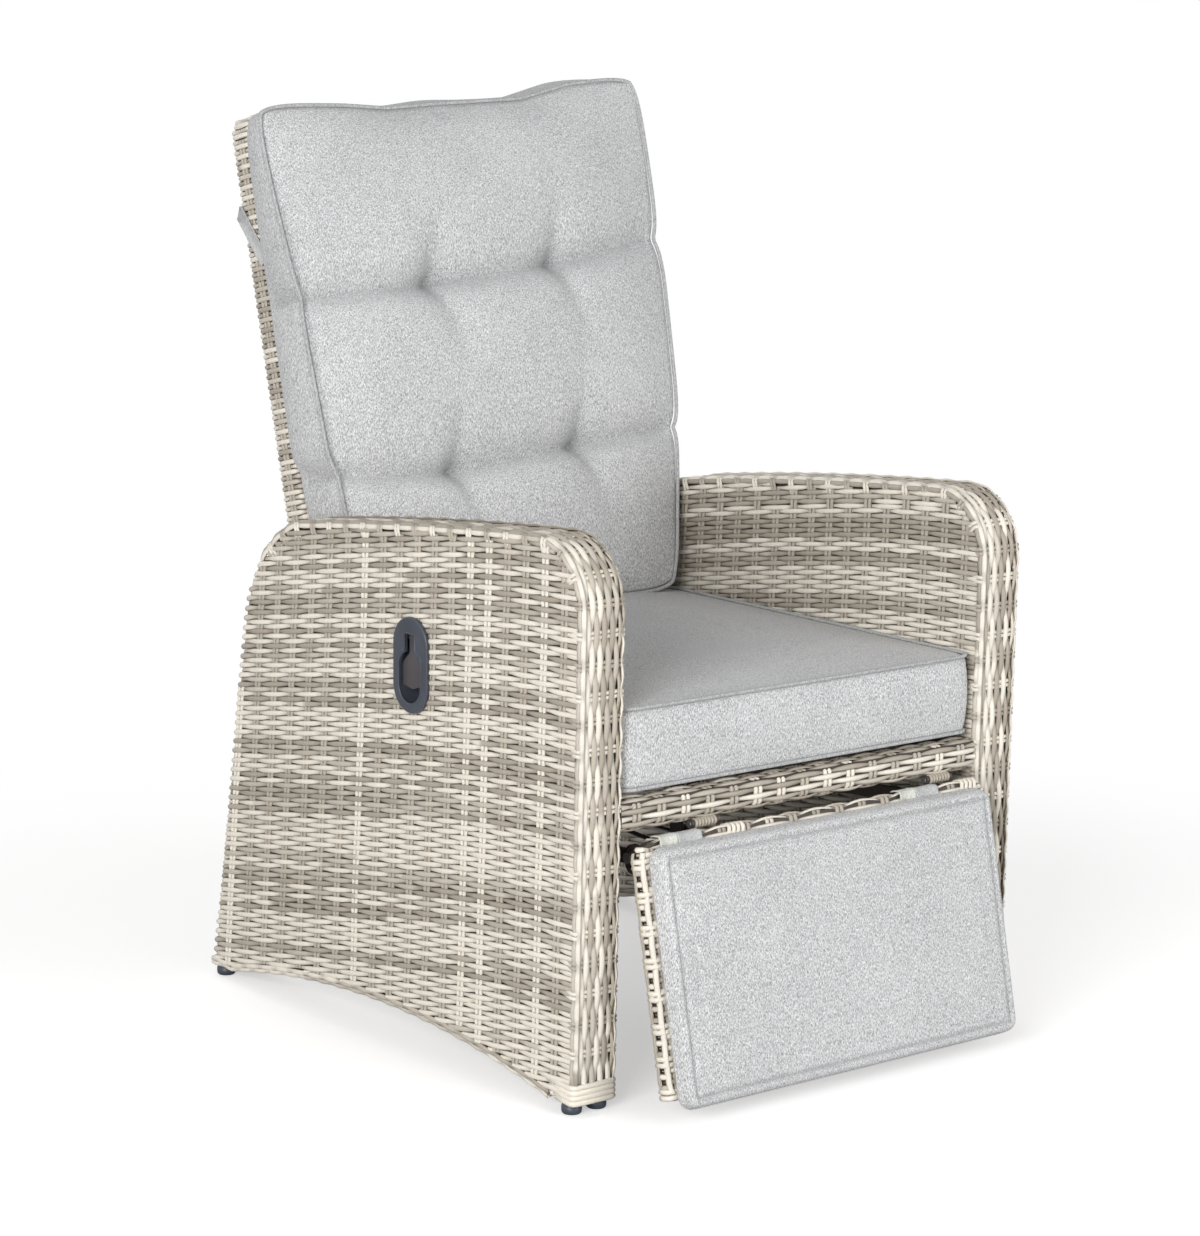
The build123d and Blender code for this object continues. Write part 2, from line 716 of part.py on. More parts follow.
foot_front_face = footrest_rear_offset + footrest_thickness
with BuildPart() as foot_front:
    extrude(foot_outline(foot_front_face - footrest_skin), amount=footrest_skin)
save(foot_front, "footrest_wicker_front")

with BuildPart() as foot_rear:
    extrude(foot_outline(footrest_rear_offset), amount=footrest_skin)
    plate_slots()
save(foot_rear, "footrest_wicker_rear")

with BuildPart() as foot_edge:
    core = footrest_thickness - 2 * footrest_skin
    core_rear = footrest_rear_offset + footrest_skin
    extrude(foot_outline(core_rear), amount=core)
    extrude(foot_outline(core_rear, footrest_skin), amount=core, mode=Mode.SUBTRACT)
save(foot_edge, "footrest_wicker_edge")

frame_rear = footrest_rear_offset + footrest_skin + gap
frame_depth = footrest_thickness - 2 * footrest_skin - 2 * gap
with BuildPart() as foot_frame:
    extrude(foot_outline(frame_rear, footrest_skin + gap), amount=frame_depth)
    frame_window = foot_outline(frame_rear, footrest_skin + gap + footrest_tube_width)
    extrude(frame_window, amount=frame_depth, mode=Mode.SUBTRACT)
save(foot_frame, "footrest_frame")


def plate_from_frame(x, thickness, y, z, root, radius, hole):
    """Plate square to X from the footrest frame's rear face back to a pin at (y, z)."""
    with BuildSketch(across(x, hinge_y, hinge_z)) as plate:
        with BuildLine():
            root_forward = frame_rear - gap
            high = footrest_top - 2 * footrest_skin
            low = high - root
            Polyline(
                (high * sin(lean) - root_forward * cos(lean), high * cos(lean) + root_forward * sin(lean)),
                (low * sin(lean) - root_forward * cos(lean), low * cos(lean) + root_forward * sin(lean)),
                (y - hinge_y - radius / 2, z - hinge_z - radius / 2),
                (y - hinge_y + radius / 2, z - hinge_z + radius / 2),
                close=True,
            )
        make_face()
        with Locations((y - hinge_y, z - hinge_z)):
            Circle(radius)
            Circle(hole, mode=Mode.SUBTRACT)
    extrude(plate.sketch, amount=thickness)


with BuildPart() as foot_lugs:
    hole = hinge_pin_radius + running_clearance
    for x in barrels:
        for start in (x - lug_reach - lug_plate, x + lug_reach):
            plate_from_frame(start, lug_plate, hinge_y, hinge_z, footrest_tube_width, lug_radius, hole)
save(foot_lugs, "footrest_hinge_lugs")

with BuildPart() as foot_cranks:
    hole = link_pin_radius + running_clearance
    root = lift_radius - crank_lug_radius
    for side in (-1, 1):
        start = low_x(side, crank_plane, crank_plate)
        plate_from_frame(start, crank_plate, lift_pin_y, lift_pin_z, root, crank_lug_radius, hole)
save(foot_cranks, "footrest_cranks")

with BuildPart() as hinge_pins:
    for x in barrels:
        reach = lug_reach + lug_plate + gap
        pin(x - reach, x + reach, hinge_y, hinge_z, hinge_pin_radius, head_thickness / 2)
save(hinge_pins, "footrest_hinge_pins")

with BuildPart() as lift_pins:
    for side in (-1, 1):
        low = link_inner - gap
        span = crank_plane + crank_plate + gap - low
        start = low_x(side, low, span)
        pin(start, start + span, lift_pin_y, lift_pin_z, link_pin_radius, head_thickness)
save(lift_pins, "link_pins_front")

# Link rods: flat bars, round eye at the rear and a slotted eye at the front
rod_angle = atan2(crank_pin_z - lift_pin_z, crank_pin_y - lift_pin_y)
rod_length = hypot(crank_pin_z - lift_pin_z, crank_pin_y - lift_pin_y)
rod_middle = ((crank_pin_y + lift_pin_y) / 2, (crank_pin_z + lift_pin_z) / 2)
# The lift pin dips below the rod's own path in mid travel, so the front eye is long on its lower side.
dip = lift_radius * (1 - cos(half_lift)) - crank_radius * (1 - cos(half_recline))
for side, side_name in ((-1, "left"), (1, "right")):
    with BuildPart() as rod:
        with BuildSketch(across(low_x(side, link_inner, link_thickness), 0, 0)):
            with Locations(Location((rod_middle[0], rod_middle[1], 0), (0, 0, 1), degrees(rod_angle))):
                Rectangle(rod_length, link_height)
            with Locations((crank_pin_y, crank_pin_z)):
                Circle(link_eye_width / 2)
            with Locations((lift_pin_y, lift_pin_z - dip / 2)):
                SlotOverall(
                    link_eye_width + dip + 2 * link_eye_slack, link_eye_width + link_eye_slack, rotation=90
                )
                SlotOverall(
                    2 * link_pin_radius + dip + 2 * link_eye_slack,
                    2 * link_pin_radius + link_eye_slack,
                    rotation=90,
                    mode=Mode.SUBTRACT,
                )
            with Locations((crank_pin_y, crank_pin_z)):
                Circle(link_pin_radius + running_clearance, mode=Mode.SUBTRACT)
        extrude(amount=link_thickness)
    save(rod, "link_rod_" + side_name)

# Gas spring under the seat: the rod is held at the front and the tube moves with the backrest
tube_eye_y = crank_pin_y
gas_swing = crank_radius * (1 - cos(half_recline))
tube_rear = tube_eye_y - gas_eye_length
rod_out = 1.7 * gas_stroke
rod_head_y = gas_y + gas_eye_length
tube_front = rod_head_y + rod_out
with BuildPart() as gas_tube:
    with BuildSketch(Plane.XZ.offset(-tube_front)):
        with Locations((0, gas_z)):
            Circle(gas_tube_radius)
    extrude(amount=-(tube_rear - tube_front))
    with BuildSketch(across(-gas_eye_width / 2, 0, 0)):
        with Locations(((tube_rear + tube_eye_y) / 2 - gas_wall / 2, gas_z)):
            Rectangle(gas_eye_length + gas_wall, 2 * link_pin_radius + gas_wall)
        with Locations((tube_eye_y, gas_z)):
            Circle(link_eye_width / 2)
    extrude(amount=gas_eye_width)
    with BuildSketch(across(-gas_eye_width, tube_eye_y, gas_z)):
        slot_height = 2 * link_pin_radius + gas_swing + 2 * soft_gap
        SlotOverall(slot_height, 2 * (link_pin_radius + gap), rotation=90)
    extrude(amount=2 * gas_eye_width, mode=Mode.SUBTRACT)
    with BuildSketch(Plane.XZ.offset(-tube_front)):
        with Locations((0, gas_z)):
            Circle(gas_rod_radius + running_clearance)
    extrude(amount=-gas_collar_length, mode=Mode.SUBTRACT)
    with BuildSketch(Plane.XZ.offset(-tube_front - gas_collar_length)):
        with Locations((0, gas_z)):
            Circle(gas_bore_radius)
    extrude(amount=-(tube_rear - tube_front - gas_collar_length - gas_wall), mode=Mode.SUBTRACT)
save(gas_tube, "gas_spring_tube")

with BuildPart() as gas_rod:
    piston_y = tube_front + gas_collar_length + gas_wall
    with BuildSketch(Plane.XZ.offset(-gas_y)):
        with Locations((0, gas_z)):
            Circle(gas_rod_radius)
    extrude(amount=-(piston_y + gas_wall - gas_y))
    with BuildSketch(Plane.XZ.offset(-piston_y)):
        with Locations((0, gas_z)):
            Circle(gas_bore_radius - 2 * gap)
    extrude(amount=-gas_wall)
save(gas_rod, "gas_spring_rod")

with BuildPart() as release_head:
    with BuildSketch(Plane.XZ.offset(-(gas_y - gas_wall))):
        with Locations((0, gas_z)):
            Rectangle(release_block_width, release_block_height)
            Circle(gas_rod_radius + running_clearance, mode=Mode.SUBTRACT)
    extrude(amount=-(gas_eye_length + gas_wall))
    fillet(release_head.edges().filter_by(Axis.Y), radius=gas_lug_plate)
save(release_head, "release_head")

with BuildPart() as gas_hanger:
    hanger_inner = release_block_width / 2 + gap
    hanger_low = gas_z - release_block_height / 2
    hanger_high = seat_rail_middle - seat_rail_width / 2
    for side in (-1, 1):
        with BuildSketch(across(low_x(side, hanger_inner, gas_lug_plate), gas_y + gas_wall, 0)):
            with Locations((0, (hanger_low + hanger_high) / 2)):
                Rectangle(gas_eye_length, hanger_high - hanger_low)
        extrude(amount=gas_lug_plate)
        if side < 0:
            with BuildSketch(across(-hanger_inner - gas_lug_plate, gas_y, gas_z)):
                Circle(cable_radius + gap)
            extrude(amount=gas_lug_plate, mode=Mode.SUBTRACT)
    with BuildSketch(Plane.XY.offset(hanger_high - gas_lug_plate - gap)):
        with Locations((0, gas_y + gas_wall)):
            Rectangle(2 * hanger_inner, gas_eye_length)
    extrude(amount=gas_lug_plate)
save(gas_hanger, "gas_spring_hanger")

# Release handle
handle_y = front_y + handle_depth
opening_top = handle_height + bezel_height / 2 - opening_drop
face_x = -half_width - bezel_proud
cup_back = -half_width + cup_depth
pin_z = opening_top + neck_height - paddle_neck_width / 2
paddle_x = -half_width - bezel_proud + paddle_set_back


def handle_opening(x):
    """Bottle-shaped opening of the handle's face: a neck above a wide recess."""
    with BuildSketch(across(x, handle_y, opening_top)) as opening:
        with Locations((0, -opening_height / 2)):
            SlotOverall(opening_height, opening_width, rotation=90)
        with Locations((0, (neck_height - opening_width / 2) / 2)):
            Rectangle(neck_width, neck_height + opening_width / 2)
    return opening.sketch


with BuildPart() as bezel:
    with BuildSketch(across(face_x, handle_y, handle_height)):
        SlotOverall(bezel_height, bezel_width, rotation=90)
    extrude(amount=bezel_proud)
    fillet(bezel.faces().sort_by(Axis.X)[0].edges(), radius=bezel_proud / 2)
    with BuildSketch(across(-half_width - gap, handle_y, handle_height)):
        SlotOverall(bezel_height - 2 * cup_rim, bezel_width - 2 * cup_rim, rotation=90)
    extrude(amount=cup_depth + gap)
    cup_inset = 2 * (cup_rim + cup_wall)
    with BuildSketch(across(-half_width, handle_y, handle_height)):
        SlotOverall(bezel_height - cup_inset, bezel_width - cup_inset, rotation=90)
    extrude(amount=cup_depth - cup_wall, mode=Mode.SUBTRACT)
    extrude(handle_opening(face_x), amount=bezel_proud, mode=Mode.SUBTRACT)
    with BuildSketch(Plane.XZ.offset(-(handle_y - bezel_width / 2 + cup_rim))):
        with Locations((paddle_x + paddle_thickness, pin_z)):
            Circle(paddle_pin_radius + running_clearance)
    extrude(amount=-(bezel_width - 2 * cup_rim), mode=Mode.SUBTRACT)
    # Anchor for the cable's sleeve on the back of the cup.
    with BuildSketch(Plane.XY.offset(cable_start_z)):
        with Locations(((cup_back + cable_start_x + cable_radius) / 2, handle_y)):
            Rectangle(cable_start_x + cable_radius - cup_back, 4 * cable_radius)
    extrude(amount=anchor_height)
save(bezel, "handle_bezel")

with BuildPart() as paddle:
    with BuildSketch(across(paddle_x, handle_y, pin_z)):
        with Locations((0, (paddle_neck_width / 2 - paddle_neck_length) / 2)):
            Rectangle(paddle_neck_width, paddle_neck_length + paddle_neck_width / 2)
        with BuildLine():
            Polyline(
                (-paddle_width / 2, -paddle_neck_length - paddle_width / 4),
                (-paddle_neck_width / 2, -paddle_neck_length + paddle_thickness),
                (paddle_neck_width / 2, -paddle_neck_length + paddle_thickness),
                (paddle_width / 2, -paddle_neck_length - paddle_width / 4),
                (paddle_width / 2, -paddle_length + paddle_thickness),
                (0, -paddle_length),
                (-paddle_width / 2, -paddle_length + 2 * paddle_thickness),
                close=True,
            )
        make_face()
    extrude(amount=paddle_thickness)
    with BuildSketch(Plane.XZ.offset(-(handle_y - paddle_neck_width / 2))):
        with Locations((paddle_x + paddle_thickness, pin_z)):
            Circle(2 * paddle_pin_radius)
    extrude(amount=-paddle_neck_width)
    with BuildSketch(Plane.XZ.offset(-(handle_y - paddle_neck_width / 2))):
        with Locations((paddle_x + paddle_thickness, pin_z)):
            Circle(paddle_pin_radius + running_clearance)
    extrude(amount=-paddle_neck_width, mode=Mode.SUBTRACT)
save(paddle, "handle_paddle")

with BuildPart() as paddle_pin:
    pin_length = bezel_width - 2 * cup_rim - 2 * cup_wall
    with BuildSketch(Plane.XZ.offset(-(handle_y - pin_length / 2))):
        with Locations((paddle_x + paddle_thickness, pin_z)):
            Circle(paddle_pin_radius)
    extrude(amount=-pin_length)
save(paddle_pin, "handle_pin")

# Release cable: from the cup's rear down inside the arm, through its inner skin and to the release head
cable_points = [
    (cable_start_x, cable_y, cable_start_z),
    (cable_start_x, cable_y, cable_floor),
    (-cable_inner_reach, cable_turn_y, cable_floor - cable_inner_fall),
    (-release_block_width / 2 - gap - cable_entry_run, gas_y, gas_z),
    (-release_block_width / 2, gas_y, gas_z),
]
cable_radii = [cable_bend_radius, cable_sweep_radius, cable_entry_radius]
with BuildPart() as cable:
    with BuildLine() as route:
        FilletPolyline(*cable_points, radius=cable_radii)
    with BuildSketch(Plane(origin=cable_points[0], z_dir=(0, 0, -1))):
        Circle(cable_radius)
    sweep()
    cable_length = sum(edge.length for edge in route.edges())
    print("cable", round(cable_length, 1), "mm, radii", cable_radii)
    print("cable volume share", round(cable.part.volume / (pi * cable_radius**2 * cable_length), 4))
save(cable, "release_cable")


# Soft pieces: crowned lofts with drawn-in sides
def seat_section(y, half, low, high, crown):
    """Cushion section square to Y: flat bottom, bowed sides and a crowned top."""
    with BuildSketch(Plane.XZ.offset(-y)) as section:
        with BuildLine():
            Line((-half, low), (half, low))
            ThreePointArc((half, low), (half + seat_cushion_bulge, (low + high) / 2), (half, high))
            ThreePointArc((half, high), (0, high + crown), (-half, high))
            ThreePointArc((-half, high), (-half - seat_cushion_bulge, (low + high) / 2), (-half, low))
        make_face()
    return section.sketch


seat_low = seat_deck_height + gap
seat_high = seat_low + seat_cushion_thickness
seat_half = rail_reach - soft_gap - seat_cushion_bulge
seat_depth = seat_cushion_rear - seat_cushion_front
# Each station: how far back, how far the sides and the top and bottom are drawn in, and the crown.
seat_station_shares = (
    (0.0, 0.62, 0.16, 0.3),
    (0.012, 0.26, 0.06, 0.5),
    (0.035, 0.06, 0.0, 0.7),
    (0.09, 0.0, 0.0, 0.9),
    (0.45, 0.0, 0.0, 1.0),
    (0.76, 0.0, 0.0, 0.35),
    (0.985, 0.0, 0.0, 0.1),
    (1.0, 0.1, 0.05, 0.05),
)
with BuildPart() as seat_cushion:
    seat_sections = [
        seat_section(
            front_y + seat_cushion_front + seat_depth * along,
            seat_half - seat_cushion_nose * draw,
            seat_low + seat_cushion_nose * pinch,
            seat_high - seat_cushion_nose * pinch,
            seat_cushion_crown * crown_share,
        )
        for along, draw, pinch, crown_share in seat_station_shares
    ]
    loft(sections=seat_sections, ruled=True)
save(seat_cushion, "seat_cushion")

back_face = half_back + gap
# Each station: height up the back, width, edge thickness, crown and tuft depth, as shares.
back_station_shares = (
    (0.0, 0.95, 0.9, 0.15, 0.3),
    (0.03, 0.966, 1.0, 0.55, 0.4),
    (0.13, 0.966, 1.04, 1.0, 0.5),
    (0.235, 0.966, 1.02, 0.6, 0.8),
    (0.29, 0.966, 0.98, 0.1, 1.0),
    (0.335, 0.99, 1.0, 0.6, 0.8),
    (0.46, 1.0, 1.02, 1.0, 0.4),
    (0.585, 0.996, 1.0, 0.6, 0.8),
    (0.655, 0.99, 0.97, 0.1, 1.0),
    (0.7, 0.996, 1.0, 0.6, 0.8),
    (0.83, 1.0, 1.0, 0.95, 0.3),
    (0.95, 0.995, 0.97, 0.55, 0.1),
    (0.985, 0.985, 0.9, 0.3, 0.05),
    (1.0, 0.95, 0.75, 0.1, 0.0),
)
tuft_column_share = 0.37
with BuildPart() as back_cushion:
    cushion_length = back_cushion_top - back_cushion_foot
    for along, wide, thick, crown_share, tuft_share in back_station_shares:
        half = back_cushion_half_width * wide
        edge = -back_face - back_cushion_edge * thick
        column = half * tuft_column_share
        valley = edge + back_cushion_tuft_depth * tuft_share - back_cushion_crown * crown_share / 2
        swell = edge - back_cushion_crown * crown_share
        outer_x = (half + column) / 2
        outer_swell = (valley + swell) / 2
        with BuildSketch(back_level(back_cushion_foot + cushion_length * along)):
            with BuildLine():
                Line((-half, -back_face), (half, -back_face))
                Line((half, -back_face), (half, edge))
                ThreePointArc((half, edge), (outer_x, outer_swell), (column, valley))
                ThreePointArc((column, valley), (0, swell), (-column, valley))
                ThreePointArc((-column, valley), (-outer_x, outer_swell), (-half, edge))
                Line((-half, edge), (-half, -back_face))
            make_face()
    loft(ruled=True)
    floor_z = seat_high + seat_cushion_crown * 0.4 + soft_gap
    split(bisect_by=Plane.XY.offset(floor_z), keep=Keep.TOP)
save(back_cushion, "back_cushion")

with BuildPart() as back_strap:
    strap_half = back_half_width + soft_gap
    strap_rear = half_back + soft_gap
    with BuildSketch(back_level(back_strap_height - back_strap_width / 2)):
        with BuildLine():
            Polyline(
                (-strap_half - strap_thickness, -half_back),
                (-strap_half - strap_thickness, strap_rear + strap_thickness),
                (strap_half + strap_thickness, strap_rear + strap_thickness),
                (strap_half + strap_thickness, -half_back),
                (strap_half, -half_back),
                (strap_half, strap_rear),
                (-strap_half, strap_rear),
                (-strap_half, -half_back),
                close=True,
            )
        make_face()
    extrude(amount=back_strap_width)
save(back_strap, "back_strap")

pad_low = -pad_top_drop - pad_length
pad_back = foot_front_face + gap
pad_station_shares = (
    (0.0, 1.0, 0.55, 0.1),
    (0.02, 0.35, 0.9, 0.3),
    (0.05, 0.05, 1.0, 0.5),
    (0.5, 0.0, 1.0, 1.0),
    (0.95, 0.05, 1.0, 0.5),
    (0.98, 0.35, 0.9, 0.3),
    (1.0, 1.0, 0.55, 0.1),
)
with BuildPart() as pad:
    for along, draw, thick, crown_share in pad_station_shares:
        half = pad_half_width - pad_round * draw
        rear_y = -pad_back - pad_thickness * (1 - thick) / 2
        front_edge = -pad_back - pad_thickness * (1 + thick) / 2
        with BuildSketch(foot_level(pad_low + pad_length * along)):
            with BuildLine():
                Line((-half, rear_y), (half, rear_y))
                Line((half, rear_y), (half, front_edge))
                crown_y = front_edge - pad_crown * crown_share
                ThreePointArc((half, front_edge), (0, crown_y), (-half, front_edge))
                Line((-half, front_edge), (-half, rear_y))
            make_face()
    loft(ruled=True)
save(pad, "footrest_pad")

strap_places = (
    ("left", footrest_strap_left_inset - inner_half),
    ("right", inner_half - footrest_strap_right_inset),
)
for side_name, x in strap_places:
    with BuildPart() as strap:
        top_v = footrest_top + soft_gap
        rear_w = footrest_rear_offset - soft_gap
        front_w = foot_front_face + soft_gap
        strap_edge = (x - footrest_strap_width / 2, hinge_y, hinge_z)
        # Local X is forward from the hinge and local Y is down the footrest.
        with BuildSketch(Plane(origin=strap_edge, x_dir=(0, -cos(lean), sin(lean)), z_dir=(1, 0, 0))):
            with BuildLine():
                Polyline(
                    (front_w, pad_top_drop - soft_gap),
                    (front_w + strap_thickness, pad_top_drop - soft_gap),
                    (front_w + strap_thickness, -top_v - strap_thickness),
                    (rear_w - strap_thickness, -top_v - strap_thickness),
                    (rear_w - strap_thickness, footrest_strap_width),
                    (rear_w, footrest_strap_width),
                    (rear_w, -top_v),
                    (front_w, -top_v),
                    close=True,
                )
            make_face()
        extrude(amount=footrest_strap_width)
    save(strap, "footrest_strap_" + side_name)

with BuildPart() as tabs:
    for side_name, x in strap_places:
        with BuildSketch(foot_level(footrest_top + gap)):
            tab_x = x - footrest_strap_width / 2 - gap - tab_width / 2
            with Locations((tab_x, -footrest_rear_offset - footrest_thickness / 2)):
                Rectangle(tab_width, tab_length)
        extrude(amount=strap_thickness)
save(tabs, "strap_tabs")

print("backrest pivot", round(pivot_y, 2), round(pivot_z, 2))
print("footrest hinge", round(hinge_y, 2), round(hinge_z, 2), "lift radius", round(lift_radius, 2))
print("crank pin", round(crank_pin_y, 2), round(crank_pin_z, 2), "gas axis height", round(gas_z, 2))
print("handle pin", paddle_x + paddle_thickness, round(handle_y, 2), round(pin_z, 2))
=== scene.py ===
"""Reclining garden armchair: woven cane over tube frames, loose grey cushions, release handle."""

import json
import logging
import math
from dataclasses import dataclass, field
from enum import Enum
from typing import Callable

import bmesh
import bpy
import numpy as np
from mathutils import Matrix, Vector, kdtree, noise

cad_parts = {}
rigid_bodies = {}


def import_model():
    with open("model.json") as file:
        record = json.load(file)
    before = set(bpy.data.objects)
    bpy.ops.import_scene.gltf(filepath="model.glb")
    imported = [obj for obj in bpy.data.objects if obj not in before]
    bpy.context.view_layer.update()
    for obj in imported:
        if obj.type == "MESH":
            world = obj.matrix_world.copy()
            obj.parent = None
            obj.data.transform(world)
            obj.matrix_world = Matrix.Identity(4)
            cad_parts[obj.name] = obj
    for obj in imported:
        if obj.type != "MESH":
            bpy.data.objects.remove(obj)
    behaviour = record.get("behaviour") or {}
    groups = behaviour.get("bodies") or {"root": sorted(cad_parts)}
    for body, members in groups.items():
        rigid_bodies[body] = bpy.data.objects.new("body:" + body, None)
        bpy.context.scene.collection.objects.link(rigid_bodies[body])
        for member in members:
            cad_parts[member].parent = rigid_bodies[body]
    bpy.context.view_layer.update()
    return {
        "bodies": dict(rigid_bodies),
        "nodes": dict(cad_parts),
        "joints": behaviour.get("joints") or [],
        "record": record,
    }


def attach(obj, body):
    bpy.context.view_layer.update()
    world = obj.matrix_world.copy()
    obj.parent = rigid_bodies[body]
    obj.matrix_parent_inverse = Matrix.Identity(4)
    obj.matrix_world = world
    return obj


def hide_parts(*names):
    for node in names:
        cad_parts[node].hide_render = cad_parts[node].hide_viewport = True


LOG = logging.getLogger("armchair")
MM = 0.001
IMAGE_SIZE = (1200, 1236)
SLANT = math.sqrt(0.5)  # each share of a direction at 45 degrees


# ---------------------------------------------------------------- helpers
def linear(code: str) -> tuple[float, float, float, float]:
    """Turn an sRGB hex colour into linear RGBA.

    Args:
        code: six hex digits, with or without a leading hash.

    Returns:
        Linear red, green and blue, and an alpha of 1.
    """
    code = code.lstrip("#")
    parts = [int(code[i : i + 2], 16) / 255 for i in (0, 2, 4)]
    out = [c / 12.92 if c <= 0.04045 else ((c + 0.055) / 1.055) ** 2.4 for c in parts]
    return (out[0], out[1], out[2], 1.0)


def add_node(tree: bpy.types.NodeTree, kind: str, inputs: dict | None = None, **settings) -> bpy.types.Node:
    """Add a node with its settings, and fill or link its inputs.

    Args:
        tree: node tree that gets the node.
        kind: the node's type name.
        inputs: input name or index to a value or to another node's output.
        **settings: properties of the node.

    Returns:
        The new node.
    """
    node = tree.nodes.new(kind)
    for key, value in settings.items():
        setattr(node, key, value)
    for key, value in (inputs or {}).items():
        if isinstance(value, bpy.types.NodeSocket):
            tree.links.new(value, node.inputs[key])
        else:
            node.inputs[key].default_value = value
    return node


def linked(name: str, data: bpy.types.ID) -> bpy.types.Object:
    """Link a new object at the origin.

    Args:
        name: name of the object.
        data: its mesh, light or camera.

    Returns:
        The object.
    """
    piece = bpy.data.objects.new(name, data)
    bpy.context.scene.collection.objects.link(piece)
    return piece


def new_material(name: str) -> tuple[bpy.types.Material, bpy.types.NodeTree]:
    """Start a material, and give its node tree too.

    Args:
        name: name of the material.

    Returns:
        The material and its tree.
    """
    mat = bpy.data.materials.new(name)
    mat.use_nodes = True
    return mat, mat.node_tree


def geometry_tree(name: str, inputs: dict[str, str]) -> tuple[bpy.types.NodeTree, dict[str, str]]:
    """Start a geometry tree.

    Args:
        name: name of the tree.
        inputs: name to socket kind of each input after the geometry.

    Returns:
        The tree and the identifier of each input.
    """
    tree = bpy.data.node_groups.new(name, "GeometryNodeTree")
    face = tree.interface
    face.new_socket("Geometry", in_out="INPUT", socket_type="NodeSocketGeometry")
    ids = {
        key: face.new_socket(key, in_out="INPUT", socket_type="NodeSocket" + kind).identifier
        for key, kind in inputs.items()
    }
    face.new_socket("Geometry", in_out="OUTPUT", socket_type="NodeSocketGeometry")
    return tree, ids


def end_tree(tree: bpy.types.NodeTree, made: bpy.types.NodeSocket, material: bpy.types.NodeSocket) -> None:
    """End a geometry tree: real geometry that wears the given material.

    Args:
        tree: the geometry tree.
        made: socket of what it has made.
        material: socket of its material input.
    """
    real = add_node(tree, "GeometryNodeRealizeInstances", {0: made})
    dressed = add_node(tree, "GeometryNodeSetMaterial", {0: real.outputs[0], "Material": material})
    add_node(tree, "NodeGroupOutput", {0: dressed.outputs[0]})


def made_by(tree: bpy.types.NodeTree, guide: bpy.types.Object, name: str, values: dict, keep: bool) -> bpy.types.Object:
    """Run a geometry tree on a guide and keep the result as a plain mesh piece.

    Args:
        tree: the geometry tree.
        guide: object that it runs on, removed afterwards.
        name: piece name.
        values: value of each input, by its identifier.
        keep: whether the guide's own attributes stay on the mesh.

    Returns:
        The piece, with no modifier left on it.
    """
    mod = guide.modifiers.new("made", "NODES")
    mod.node_group = tree
    for key, value in values.items():
        mod[key] = value
    graph = bpy.context.evaluated_depsgraph_get()
    done = guide.evaluated_get(graph)
    mesh = bpy.data.meshes.new_from_object(done, preserve_all_data_layers=keep, depsgraph=graph)
    mesh.name = name
    bpy.data.objects.remove(guide)
    return linked(name, mesh)


def mesh_object(
    name: str, verts: list, faces: list, material: bpy.types.Material, smooth: bool = True
) -> bpy.types.Object:
    """Make a mesh object at the origin.

    Args:
        name: piece name.
        verts: vertex places in metres.
        faces: vertex numbers of each face.
        material: finish of the whole piece.
        smooth: whether its faces shade smoothly.

    Returns:
        The linked object.
    """
    mesh = bpy.data.meshes.new(name)
    mesh.from_pydata([tuple(v) for v in verts], [], [tuple(f) for f in faces])
    mesh.materials.append(material)
    mesh.polygons.foreach_set("use_smooth", [smooth] * len(mesh.polygons))
    return linked(name, mesh)


def tube_faces(rings: int, n: int, capped: bool = True) -> list[tuple[int, ...]]:
    """Faces of a tube of rings with n points each, closed at both ends if it is capped.

    Args:
        rings: number of rings.
        n: points in each ring.
        capped: whether both ends are closed.

    Returns:
        The faces, by vertex number.
    """
    faces = []
    for i in range(rings - 1):
        for k in range(n):
            faces.append((i * n + k, i * n + (k + 1) % n, (i + 1) * n + (k + 1) % n, (i + 1) * n + k))
    if capped:
        faces += [tuple(range(n)), tuple((rings - 1) * n + k for k in range(n - 1, -1, -1))]
    return faces


def recalculate(piece: bpy.types.Object) -> None:
    """Merge doubles and turn the faces outwards.

    Args:
        piece: a closed mesh piece.
    """
    mesh = bmesh.new()
    mesh.from_mesh(piece.data)
    bmesh.ops.remove_doubles(mesh, verts=mesh.verts, dist=1e-6)
    bmesh.ops.recalc_face_normals(mesh, faces=mesh.faces)
    mesh.to_mesh(piece.data)
    mesh.free()


def place_piece(piece: bpy.types.Object, body: str, slot: str, *nodes: str) -> bpy.types.Object:
    """Ride a finished piece on its body and hide the CAD nodes that it stands for.

    Args:
        piece: the finished piece.
        body: body that carries it.
        slot: not used.
        nodes: CAD nodes that it stands for.

    Returns:
        The piece.
    """
    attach(piece, body)
    if nodes:
        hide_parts(*nodes)
    LOG.info("%s: %d faces on %s", piece.name, len(piece.data.polygons), body)
    return piece


